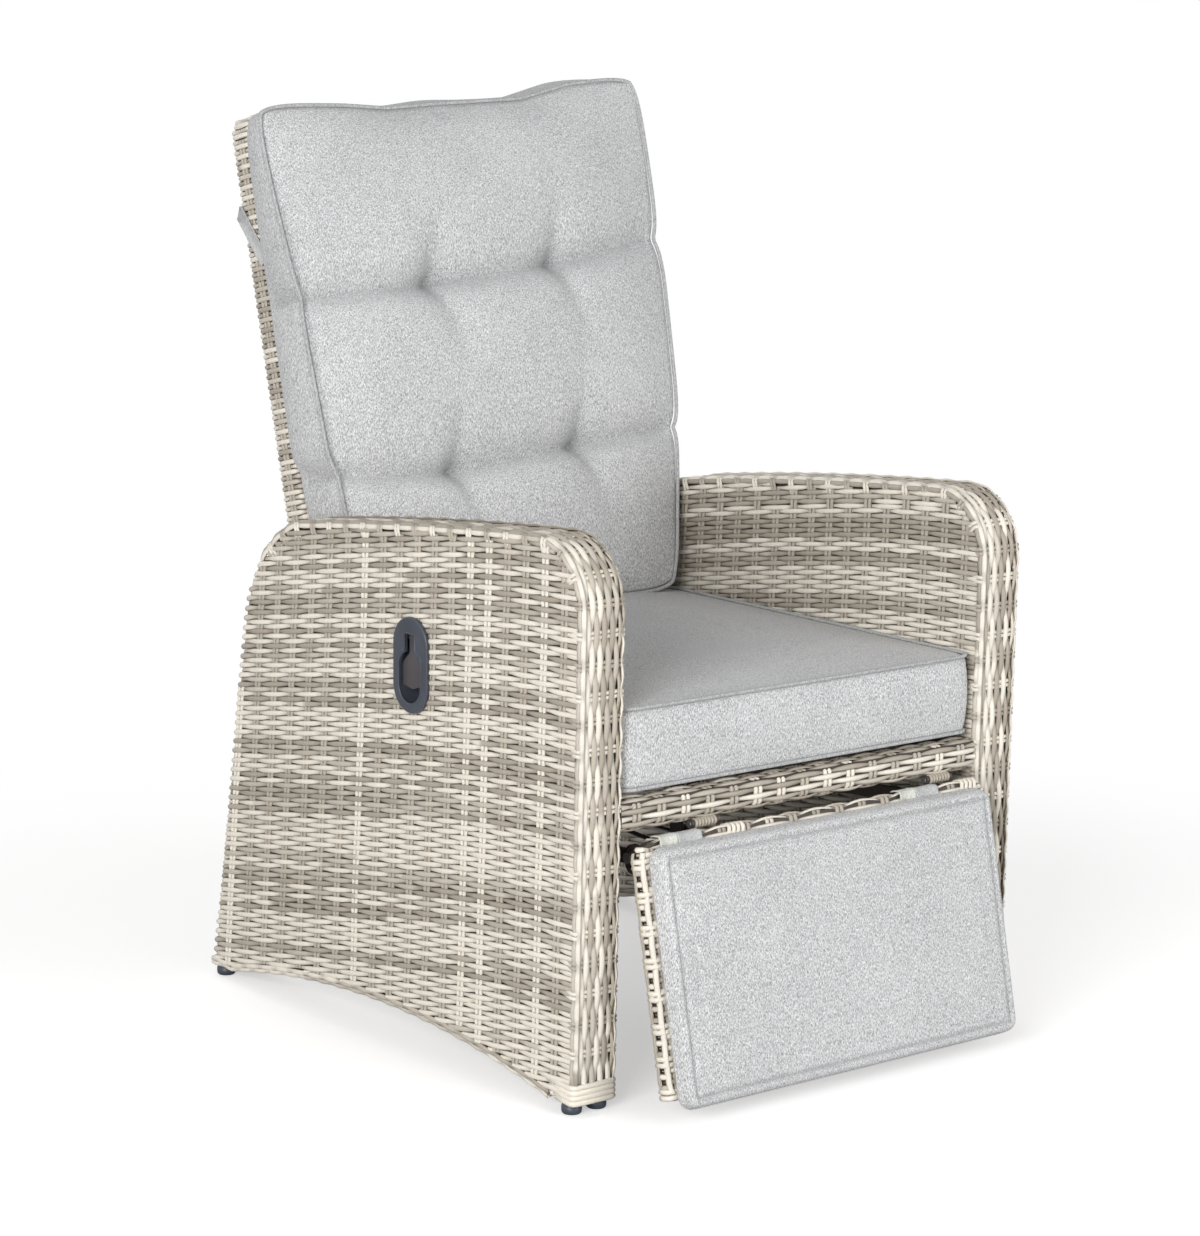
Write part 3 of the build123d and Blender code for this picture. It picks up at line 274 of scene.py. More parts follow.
def three_point_arc(start: tuple, middle: tuple, end: tuple, steps: int) -> list[tuple[float, float]]:
    """Points of the arc through three points, without the last one.

    Args:
        start: first point.
        middle: a point that the arc passes.
        end: last point.
        steps: number of steps.

    Returns:
        Points from start to end.
    """
    ax, ay = start
    bx, by = middle
    cx, cy = end
    d = 2 * (ax * (by - cy) + bx * (cy - ay) + cx * (ay - by))
    ux = ((ax**2 + ay**2) * (by - cy) + (bx**2 + by**2) * (cy - ay) + (cx**2 + cy**2) * (ay - by)) / d
    uy = ((ax**2 + ay**2) * (cx - bx) + (bx**2 + by**2) * (ax - cx) + (cx**2 + cy**2) * (bx - ax)) / d
    radius = math.hypot(ax - ux, ay - uy)
    first = math.atan2(ay - uy, ax - ux)
    mid = math.atan2(by - uy, bx - ux)
    last = math.atan2(cy - uy, cx - ux)
    turn = (last - first) % (2 * math.pi)
    if (mid - first) % (2 * math.pi) > turn:
        turn -= 2 * math.pi
    return [
        (ux + radius * math.cos(first + turn * i / steps), uy + radius * math.sin(first + turn * i / steps))
        for i in range(steps)
    ]


def reach_along(points: np.ndarray) -> np.ndarray:
    """Distance of each point along its line."""
    return np.concatenate(([0.0], np.cumsum(np.linalg.norm(np.diff(points, axis=0), axis=1))))


def unit(rows: np.ndarray) -> np.ndarray:
    """Each direction made one long."""
    return rows / np.linalg.norm(rows, axis=1, keepdims=True)


def firm(lift: np.ndarray) -> np.ndarray:
    """Let a swing stay longer at its ends, as cane does over and under a stake."""
    return np.sign(lift) * np.abs(lift) ** 0.8


def turn_about(number: int) -> float:
    """Over (1) and under (-1) by turns."""
    return -((-1.0) ** number)


def clear_runs(clear: np.ndarray) -> list[slice]:
    """Stretches of two or more points that are all clear.

    Args:
        clear: which points are clear.

    Returns:
        A slice for each stretch.
    """
    runs, start = [], None
    for i in range(len(clear) + 1):
        if i < len(clear) and clear[i]:
            start = i if start is None else start
        elif start is not None:
            if i - start > 1:
                runs.append(slice(start, i))
            start = None
    return runs


class Tone(Enum):
    """How a strand's colour runs between cream (0) and taupe (1)."""

    CREAM = "cream"
    TAUPE = "taupe"
    MIXED = "mixed"


# ---------------------------------------------------------------- finishes
@dataclass(frozen=True)
class CaneFinish:
    """Extruded polyethylene cane: smooth half-round strand, satin, in cream and taupe with faint streaks."""

    cream: str = "#F6EFE2"
    taupe: str = "#B0A799"
    gap_shade: float = 0.7

    def material(self) -> bpy.types.Material:
        """Build the cane's material, which reads each strand's tone and lift attributes.

        Returns:
            The material.
        """
        mat, tree = new_material("extruded_polyethylene_cane")
        shader = tree.nodes["Principled BSDF"]
        tone = add_node(tree, "ShaderNodeAttribute", attribute_name="tone")
        lift = add_node(tree, "ShaderNodeAttribute", attribute_name="lift")
        coords = add_node(tree, "ShaderNodeTexCoord")
        # Cloudy change over some 30 mm, and streaks of the extruder along about 4 mm.
        cloud = add_node(tree, "ShaderNodeTexNoise", {"Vector": coords.outputs["Object"], "Scale": 32.0, "Detail": 2.0})
        streak = add_node(
            tree, "ShaderNodeTexNoise", {"Vector": coords.outputs["Object"], "Scale": 420.0, "Detail": 3.0}
        )
        mixed = add_node(
            tree,
            "ShaderNodeMix",
            {0: tone.outputs["Fac"], 6: linear(self.cream), 7: linear(self.taupe)},
            data_type="RGBA",
        )
        sum_noise = add_node(
            tree, "ShaderNodeMath", {0: cloud.outputs["Fac"], 1: streak.outputs["Fac"]}, operation="ADD"
        )
        spread = add_node(
            tree,
            "ShaderNodeMapRange",
            {"Value": sum_noise.outputs[0], "From Min": 0.6, "From Max": 1.4, "To Min": 0.93, "To Max": 1.05},
        )
        # Painted shade: a strand is darker where it dives under its neighbours, where shadow falls between the strands.
        under = add_node(
            tree,
            "ShaderNodeMapRange",
            {"Value": lift.outputs["Fac"], "From Min": -1.0, "From Max": 0.15, "To Min": self.gap_shade, "To Max": 1.0},
        )
        both = add_node(tree, "ShaderNodeMath", {0: spread.outputs[0], 1: under.outputs[0]}, operation="MULTIPLY")
        colour = add_node(
            tree,
            "ShaderNodeMix",
            {0: 1.0, 6: mixed.outputs[2], 7: both.outputs[0]},
            data_type="RGBA",
            blend_type="MULTIPLY",
        )
        bump = add_node(tree, "ShaderNodeBump", {"Height": streak.outputs["Fac"], "Strength": 0.25, "Distance": 0.0006})
        tree.links.new(colour.outputs[2], shader.inputs["Base Color"])
        tree.links.new(bump.outputs[0], shader.inputs["Normal"])
        shader.inputs["Roughness"].default_value = 0.46
        shader.inputs["IOR"].default_value = 1.5
        return mat


@dataclass(frozen=True)
class ClothFinish:
    """Melange olefin cloth: light and dark grey threads in plain weave, matt with a soft sheen."""

    name: str = "melange_olefin_cloth"
    light: str = "#F4F4F5"
    dark: str = "#989A9B"
    thread: float = 0.85
    bump: float = 0.35

    def material(self) -> bpy.types.Material:
        """Build the cloth: slubs along both thread directions, drawn coarser than the 0.6 mm threads.

        Returns:
            The material.
        """
        mat, tree = new_material(self.name)
        shader = tree.nodes["Principled BSDF"]
        coords = add_node(tree, "ShaderNodeTexCoord")
        per_metre = 1000 / self.thread
        layers = []
        for stretch in ((0.35, 1.0, 1.0), (1.0, 0.9, 0.26)):
            scale = tuple(per_metre * k for k in stretch)
            mapping = add_node(tree, "ShaderNodeMapping", {"Vector": coords.outputs["Object"], "Scale": scale})
            threads_at = {"Vector": mapping.outputs[0], "Scale": 1.0, "Detail": 1.0, "Roughness": 0.6}
            layers.append(add_node(tree, "ShaderNodeTexNoise", threads_at))
        cloud = add_node(tree, "ShaderNodeTexNoise", {"Vector": coords.outputs["Object"], "Scale": 9.0, "Detail": 2.0})
        lighter = add_node(tree, "ShaderNodeMath", {0: layers[0].outputs["Fac"], 1: 0.6}, operation="MULTIPLY")
        threads = add_node(
            tree,
            "ShaderNodeMath",
            {0: layers[1].outputs["Fac"], 1: 1.4, 2: lighter.outputs[0]},
            operation="MULTIPLY_ADD",
        )
        all_of = add_node(
            tree, "ShaderNodeMath", {0: cloud.outputs["Fac"], 1: 0.12, 2: threads.outputs[0]}, operation="MULTIPLY_ADD"
        )
        tint = add_node(
            tree,
            "ShaderNodeMapRange",
            {"Value": all_of.outputs[0], "From Min": 0.81, "From Max": 1.31, "To Min": 0.0, "To Max": 1.0},
        )
        woven = add_node(
            tree, "ShaderNodeMix", {0: tint.outputs[0], 6: linear(self.dark), 7: linear(self.light)}, data_type="RGBA"
        )
        # Painted shade: the cloth is darkened in the creases and along the seams that the cushion marks, where shade
        # falls.
        crease = add_node(tree, "ShaderNodeAttribute", attribute_name="crease")
        painted_crease_shade = add_node(tree, "ShaderNodeMapRange", {"Value": crease.outputs["Fac"], "To Min": 1.0, "To Max": 0.56})
        colour = add_node(
            tree,
            "ShaderNodeMix",
            {0: 1.0, 6: woven.outputs[2], 7: painted_crease_shade.outputs[0]},
            data_type="RGBA",
            blend_type="MULTIPLY",
        )
        bump = add_node(
            tree, "ShaderNodeBump", {"Height": threads.outputs[0], "Strength": self.bump, "Distance": 0.0008}
        )
        tree.links.new(colour.outputs[2], shader.inputs["Base Color"])
        tree.links.new(bump.outputs[0], shader.inputs["Normal"])
        shader.inputs["Roughness"].default_value = 0.88
        shader.inputs["Sheen Weight"].default_value = 0.12
        shader.inputs["Sheen Roughness"].default_value = 0.5
        shader.inputs["Specular IOR Level"].default_value = 0.25
        return mat


@dataclass(frozen=True)
class HardFinish:
    """A moulded, coated or bare hard surface with fine grain and slight wear in its colour."""

    name: str
    colour: str
    worn: str
    roughness: float = 0.5
    metallic: float = 0.0
    grain: float = 900.0
    grain_depth: float = 0.0002

    def material(self) -> bpy.types.Material:
        """Build the finish: a mottled colour, uneven gloss and a fine bump.

        Returns:
            The material.
        """
        mat, tree = new_material(self.name)
        shader = tree.nodes["Principled BSDF"]
        coords = add_node(tree, "ShaderNodeTexCoord")
        patch = add_node(tree, "ShaderNodeTexNoise", {"Vector": coords.outputs["Object"], "Scale": 24.0, "Detail": 4.0})
        fine = add_node(
            tree, "ShaderNodeTexNoise", {"Vector": coords.outputs["Object"], "Scale": self.grain, "Detail": 2.0}
        )
        tint = add_node(tree, "ShaderNodeMapRange", {"Value": patch.outputs["Fac"], "From Min": 0.35, "From Max": 0.7})
        colour = add_node(
            tree, "ShaderNodeMix", {0: tint.outputs[0], 6: linear(self.colour), 7: linear(self.worn)}, data_type="RGBA"
        )
        gloss = add_node(
            tree,
            "ShaderNodeMapRange",
            {"Value": fine.outputs["Fac"], "To Min": self.roughness - 0.06, "To Max": self.roughness + 0.08},
        )
        bump = add_node(
            tree, "ShaderNodeBump", {"Height": fine.outputs["Fac"], "Strength": 0.3, "Distance": self.grain_depth}
        )
        tree.links.new(colour.outputs[2], shader.inputs["Base Color"])
        tree.links.new(gloss.outputs[0], shader.inputs["Roughness"])
        tree.links.new(bump.outputs[0], shader.inputs["Normal"])
        shader.inputs["Metallic"].default_value = self.metallic
        return mat


class Finishes:
    """Every material of the chair, made once."""

    def __init__(self) -> None:
        """Build all materials."""
        self.cane = CaneFinish().material()
        self.cloth = ClothFinish().material()
        self.piping = ClothFinish("cloth_piping", "#D0D1D1", "#9C9D9E", 1.1, 0.25).material()
        self.webbing = ClothFinish("strap_cloth", "#D6D7D7", "#B2B3B4", 1.2, 0.3).material()
        self.tab = ClothFinish("hook_and_loop_tab", "#E9EAE2", "#CDD0C6", 1.6, 0.5).material()
        # Painted shade: the dark sheets inside the woven pieces stand in for the shade within them.
        self.core = HardFinish("dark_inside", "#2E2722", "#3A322B", 0.85).material()
        self.coat = HardFinish("brown_powder_coat", "#3A322C", "#4A4038", 0.55).material()
        self.steel = HardFinish("zinc_plated_steel", "#A9AAAC", "#8E8F92", 0.38, 0.9).material()
        self.rod = HardFinish("chromed_rod", "#D8D9DC", "#C4C6CA", 0.16, 1.0).material()
        self.bezel = HardFinish("anthracite_nylon", "#434750", "#4E535D", 0.33).material()
        self.paddle = HardFinish("moulded_abs_paddle", "#4A4649", "#545053", 0.42).material()
        self.cup = HardFinish("shaded_cup", "#222A33", "#262F39", 0.6).material()
        self.foot = HardFinish("polypropylene_foot", "#3C434D", "#4A525E", 0.4).material()
        self.deck = HardFinish("seat_mat", "#2B2621", "#38312B", 0.8, 0.0, 300.0, 0.0008).material()
        self.sheath = HardFinish("cable_sheath_pvc", "#1B1B1C", "#262627", 0.45).material()


# ---------------------------------------------------------------- weaving
@dataclass
class Hole:
    """Upright slot in one face of the weave that is left clear for the handle's cup."""

    x: float
    y: float
    z: float
    half_width: float
    half_height: float

    def half_at(self, z: float) -> float:
        """Half width of the slot at a height, or nothing above and below it.

        Args:
            z: the height.

        Returns:
            Half width in metres.
        """
        straight = self.half_height - self.half_width
        over = max(abs(z - self.z) - straight, 0.0)
        return math.sqrt(max(self.half_width**2 - over**2, 0.0))

    def holds(self, places: np.ndarray) -> np.ndarray:
        """Which points lie strictly inside the slot.

        Args:
            places: points on the face.

        Returns:
            True for each point in the slot.
        """
        half = np.array([self.half_at(p[2]) for p in places])
        near = np.abs(places[:, 0] - self.x) < 8 * MM
        return near & (np.abs(places[:, 1] - self.y) < half - 0.1 * MM)

    def outline(self, steps: int = 12) -> list[tuple[float, float]]:
        """Closed (y, z) outline of the slot.

        Args:
            steps: steps round each half circle.

        Returns:
            The outline's points.
        """
        straight = self.half_height - self.half_width
        points = []
        for centre, first in ((straight, 0.0), (-straight, math.pi)):
            for i in range(steps + 1):
                a = first + math.pi * i / steps
                points.append((self.y + self.half_width * math.cos(a), self.z + centre + self.half_width * math.sin(a)))
        return points


class StrandSet:
    """Centre lines of cane strands, gathered before one sweep makes them solid."""

    PATCH_LENGTH = 0.62  # metres of a strand that keep one colour

    def __init__(self, seed: float, bias_rows: tuple[float, ...] = (), biases: tuple[float, ...] = ()) -> None:
        """Start an empty set.

        Args:
            seed: shifts its colour patches.
            bias_rows: row numbers at which the share of dark strands is given.
            biases: that share, 0 as usual, above it darker and below it lighter.
        """
        self.seed = seed
        self.bias_rows = bias_rows
        self.biases = biases
        self.places: list[np.ndarray] = []
        self.normals: list[np.ndarray] = []
        self.lifts: list[np.ndarray] = []
        self.breadths: list[np.ndarray] = []
        self.swings: list[np.ndarray] = []
        self.tones: list[np.ndarray] = []

    def bias(self, row: float) -> float:
        """How much darker or lighter than usual the rows round a number are."""
        return float(np.interp(row, self.bias_rows, self.biases)) if len(self.bias_rows) else 0.0

    def tone_along(self, row: float, along: np.ndarray, tone: Tone) -> np.ndarray:
        """Tone at each point of a strand: in long patches, alike on rows that lie together.

        Args:
            row: number that sets the colour.
            along: distance of each point along the strand.
            tone: how its colour runs.

        Returns:
            Share of taupe at each point.
        """
        jitter = 0.12 * noise.noise(Vector((row * 7.31, self.seed, 3.1)))
        if tone is Tone.CREAM:
            return np.clip(np.full(len(along), 0.05 + jitter), 0, 1)
        if tone is Tone.TAUPE:
            return np.clip(np.full(len(along), 0.85 + jitter), 0, 1)
        start = 0.5 + noise.noise(Vector((row * 5.7, self.seed, 1.3)))
        patch = noise.noise(Vector((row * 0.21, self.seed, 0.7)))
        out = np.empty(len(along))
        for i, s in enumerate(along):
            patch_number = math.floor(s / self.PATCH_LENGTH + start)
            own = noise.noise(Vector((row * 1.37 + 0.5, patch_number * 3.3 + 0.4, self.seed + 5.0)))
            near = noise.noise(Vector((row * 0.27, s * 1.1, self.seed + 9.0)))
            value = self.bias(row) + 1.0 * patch + 1.8 * own + 0.9 * near
            out[i] = 0.04 if value < 0.02 else 0.5 + 0.5 * min(value * 1.5, 1.0)
        return np.clip(out + jitter, 0.0, 1.0)

    def add(
        self,
        places: np.ndarray,
        normals: np.ndarray,
        lift: np.ndarray,
        breadth: float,
        swing: float,
        row: float,
        tone: Tone,
        swell: float = 0.26,
    ) -> None:
        """Add one strand.

        Args:
            places: points on the woven surface.
            normals: outward directions there.
            lift: -1 under to 1 over at each point.
            breadth: half width of the strand in metres.
            swing: how far a lift of 1 moves it out, in metres.
            row: number that sets its colour.
            tone: how its colour runs.
            swell: share of the breadth that shows only where it lies over.
        """
        if len(places) < 2:
            return
        along = reach_along(places)
        self.places.append(places)
        self.normals.append(normals)
        self.lifts.append(lift)
        self.breadths.append(breadth * (1 - swell * (1 - lift) / 2))
        self.swings.append(np.full(len(places), swing))
        self.tones.append(self.tone_along(row, along, tone))

    def add_outside(
        self, hole: Hole | None, places: np.ndarray, normals: np.ndarray, lift: np.ndarray, **given
    ) -> None:
        """Add a strand in the pieces that lie outside a hole in the weave.

        Args:
            hole: the hole, or None.
            places: points on the woven surface.
            normals: outward directions there.
            lift: -1 under to 1 over.
            given: what else add takes.
        """
        if hole is None:
            self.add(places, normals, lift, **given)
            return
        for part in clear_runs(~hole.holds(places)):
            self.add(places[part], normals[part], lift[part], **given)

    def guide(self, name: str) -> bpy.types.Object:
        """Make one edge mesh of all centre lines, with their values as attributes.

        Args:
            name: name of the mesh.

        Returns:
            The linked edge mesh.
        """
        edges = []
        start = 0
        for part in self.places:
            edges += [(start + i, start + i + 1) for i in range(len(part) - 1)]
            start += len(part)
        mesh = bpy.data.meshes.new(name)
        mesh.from_pydata(np.concatenate(self.places).tolist(), edges, [])
        kept = {"lift": self.lifts, "breadth": self.breadths, "swing": self.swings, "tone": self.tones}
        for key, values in kept.items():
            attribute = mesh.attributes.new(key, "FLOAT", "POINT")
            attribute.data.foreach_set("value", np.concatenate(values).astype(np.float32))
        facing = mesh.attributes.new("facing", "FLOAT_VECTOR", "POINT")
        facing.data.foreach_set("vector", np.concatenate(self.normals).astype(np.float32).ravel())
        return linked(name, mesh)


class CaneTree:
    """Geometry nodes that sweep centre lines into half-round cane strands."""

    def __init__(self, material: bpy.types.Material) -> None:
        """Build the tree once; the material is what it sets.

        Args:
            material: the cane's finish.
        """
        self.material = material
        tree, self.ids = geometry_tree(
            "cane_strands", {"Depth share": "Float", "Profile points": "Int", "Cane": "Material"}
        )
        self.tree = tree
        given = add_node(tree, "NodeGroupInput").outputs
        named = {}
        for key, kind in (("lift", "FLOAT"), ("breadth", "FLOAT"), ("swing", "FLOAT"), ("facing", "FLOAT_VECTOR")):
            named[key] = add_node(tree, "GeometryNodeInputNamedAttribute", {"Name": key}, data_type=kind).outputs[0]
        rise = add_node(tree, "ShaderNodeMath", {0: named["lift"], 1: named["swing"]}, operation="MULTIPLY")
        offset = add_node(
            tree, "ShaderNodeVectorMath", {0: named["facing"], "Scale": rise.outputs[0]}, operation="SCALE"
        )
        moved = add_node(tree, "GeometryNodeSetPosition", {"Geometry": given["Geometry"], "Offset": offset.outputs[0]})
        curve = add_node(tree, "GeometryNodeMeshToCurve", {"Mesh": moved.outputs[0]})
        turned = add_node(
            tree, "GeometryNodeSetCurveNormal", {"Curve": curve.outputs[0], "Normal": named["facing"]}, mode="FREE"
        )
        sized = add_node(tree, "GeometryNodeSetCurveRadius", {"Curve": turned.outputs[0], "Radius": named["breadth"]})
        middle = add_node(tree, "ShaderNodeCombineXYZ", {"X": given["Depth share"]})
        arc = add_node(
            tree,
            "GeometryNodeCurveArc",
            {
                "Resolution": given["Profile points"],
                "Start": (0.0, -1.0, 0.0),
                "Middle": middle.outputs[0],
                "End": (0.0, 1.0, 0.0),
            },
            mode="POINTS",
        )
        closed = add_node(tree, "GeometryNodeSetSplineCyclic", {0: arc.outputs["Curve"], "Cyclic": True})
        swept = add_node(
            tree,
            "GeometryNodeCurveToMesh",
            {
                "Curve": sized.outputs[0],
                "Profile Curve": closed.outputs[0],
                "Scale": named["breadth"],
                "Fill Caps": True,
            },
        )
        smooth = add_node(tree, "GeometryNodeSetShadeSmooth", {0: swept.outputs[0]})
        end_tree(tree, smooth.outputs[0], given["Cane"])

    def sweep(self, strands: StrandSet, name: str, sides: int = 5, depth: float = 0.66) -> bpy.types.Object:
        """Turn a strand set into one plain mesh piece.

        Args:
            strands: the centre lines.
            name: piece name.
            sides: points round the half-round profile.
            depth: strand thickness as a share of its half width.

        Returns:
            The piece, with no modifier left on it.
        """
        values = dict(zip(self.ids.values(), (depth, sides, self.material)))
        piece = made_by(self.tree, strands.guide(name + "_guide"), name, values, True)
        attributes = piece.data.attributes
        for key in ("facing", "breadth", "swing"):
            if key in attributes:
                attributes.remove(attributes[key])
        return piece


@dataclass
class Weave:
    """Sizes of the plain weave: running strands over and under pairs of stakes."""

    row_pitch: float = 6.2 * MM
    stake_pitch: float = 35.0 * MM
    row_half: float = 3.45 * MM
    stake_half: float = 3.1 * MM
    stake_spread: float = 3.3 * MM
    row_swing: float = 1.7 * MM
    stake_swing: float = 0.6 * MM
    sunk: float = 3.2 * MM
    steps: int = 4
    closest: float = 0.0012

    def run(
        self,
        strands: StrandSet,
        path: np.ndarray,
        normals: np.ndarray,
        knots: list[tuple[float, float]],
        row: float,
    ) -> None:
        """Lay one running strand along a path.

        Args:
            strands: set that gets the strand.
            path: key points of the path on the woven surface.
            normals: outward directions at the key points.
            knots: pairs of distance along the path and weave phase; the strand is over at even phases.
            row: number of the row.
        """
        reach = reach_along(path)
        spots = np.array([k[0] for k in knots])
        phases = np.array([k[1] for k in knots])
        wanted = np.arange(math.ceil(phases[0] * self.steps), math.floor(phases[-1] * self.steps) + 1) / self.steps
        samples = np.interp(wanted, phases, spots)
        samples = np.unique(np.concatenate((samples, reach)).round(5))
        keep = [samples[0]]
        for s in samples[1:]:
            if s - keep[-1] > self.closest:
                keep.append(s)
        u = np.array(keep)
        lift = firm(np.cos(math.pi * np.interp(u, spots, phases)))
        places = np.stack([np.interp(u, reach, path[:, i]) for i in range(3)], axis=1)
        out = unit(np.stack([np.interp(u, reach, normals[:, i]) for i in range(3)], axis=1))
        strands.add(places - out * self.sunk, out, lift, self.row_half, self.row_swing, row, Tone.MIXED)

    def stake(
        self,
        strands: StrandSet,
        path: np.ndarray,
        normals: np.ndarray,
        side_dir: np.ndarray,
        lift: np.ndarray,
        row: float,
    ) -> None:
        """Lay a pair of stakes side by side along a path, with the lift given at each point.

        Args:
            strands: set that gets the pair.
            path: points on the woven surface.
            normals: outward directions there.
            side_dir: direction from one stake to the other.
            lift: -1 under to 1 over.
            row: number that sets their colour.
        """
        tone = Tone.CREAM if noise.noise(Vector((row * 1.7, strands.seed, 9.0))) > 0.05 else Tone.TAUPE
        for k in (-1, 1):
            strands.add(
                path + side_dir * (k * self.stake_spread) - normals * self.sunk,
                normals,
                lift,
                self.stake_half,
                self.stake_swing,
                row + 0.13 * k,
                tone,
                0.0,
            )


# ---------------------------------------------------------------- arms
@dataclass
class ArmOutline:
    """Side outline of an arm, in metres, as (y, z) going up the front and back along the top."""

    front: float = -336.14 * MM
    height: float = 637 * MM
    depth: float = 726 * MM
    front_radius: float = 77 * MM
    front_lean: float = 8 * MM
    base: float = 13 * MM
    arch_rise: float = 35 * MM
    foot_flat: float = 46 * MM
    top_middle: tuple[float, float] = (0.46, 0.966)
    top_rear: tuple[float, float] = (0.748, 0.925)
    rear_round: tuple[float, float] = (0.844, 0.846)
    rear_edge: tuple[float, float] = (0.897, 0.716)

    def at(self, share: tuple[float, float]) -> tuple[float, float]:
        """Place of a point given as shares of the depth and height."""
        return (self.front + self.depth * share[0], self.height * share[1])

    def polygon(self) -> np.ndarray:
        """Closed outline as dense points, first point at the front's foot.

        Returns:
            The (y, z) points.
        """
        start = (self.front + self.front_lean, self.base)
        front_top = (self.front, self.height - self.front_radius)
        top_start = (self.front + self.front_radius, self.height)
        round_off = self.front_radius * (1 - math.cos(math.radians(45)))
        corner = (self.front + round_off, self.height - round_off)
        top_end = self.at(self.top_rear)
        edge_top = self.at(self.rear_edge)
        rear_foot = (self.front + self.depth, self.base)
        arch_rear = (rear_foot[0] - self.foot_flat, self.base)
        arch_front = (start[0] + self.foot_flat, self.base)
        arch_mid = ((arch_rear[0] + arch_front[0]) / 2, self.base + self.arch_rise)
        points = [start]
        points += three_point_arc(front_top, corner, top_start, 14)
        points += three_point_arc(top_start, self.at(self.top_middle), top_end, 24)
        points += three_point_arc(top_end, self.at(self.rear_round), edge_top, 14)
        points += [edge_top, rear_foot]
        points += three_point_arc(arch_rear, arch_mid, arch_front, 20)
        points += [arch_front]
        return np.array(points)

    def inset(self, amount: float) -> np.ndarray:
        """Outline drawn in by an amount along its normals.

        Args:
            amount: how far, in metres.

        Returns:
            The (y, z) points.
        """
        points = self.polygon()
        before = points - np.roll(points, 1, axis=0)
        after = np.roll(points, -1, axis=0) - points
        out = np.zeros_like(points)
        for edge in (unit(before), unit(after)):
            out += np.stack((-edge[:, 1], edge[:, 0]), axis=1)
        return points - unit(out) * amount

    @staticmethod
    def crossings(points: np.ndarray, axis: int, level: float) -> list[float]:
        """Sorted places where the outline crosses a level of y (axis 0) or z (axis 1).

        Args:
            points: closed outline.
            axis: 0 for y, 1 for z.
            level: the level.

        Returns:
            The other coordinate at each crossing.
        """
        found = []
        for a, b in zip(points, np.roll(points, -1, axis=0)):
            if (a[axis] - level) * (b[axis] - level) < 0:
                t = (level - a[axis]) / (b[axis] - a[axis])
                found.append(a[1 - axis] + t * (b[1 - axis] - a[1 - axis]))
        return sorted(found)


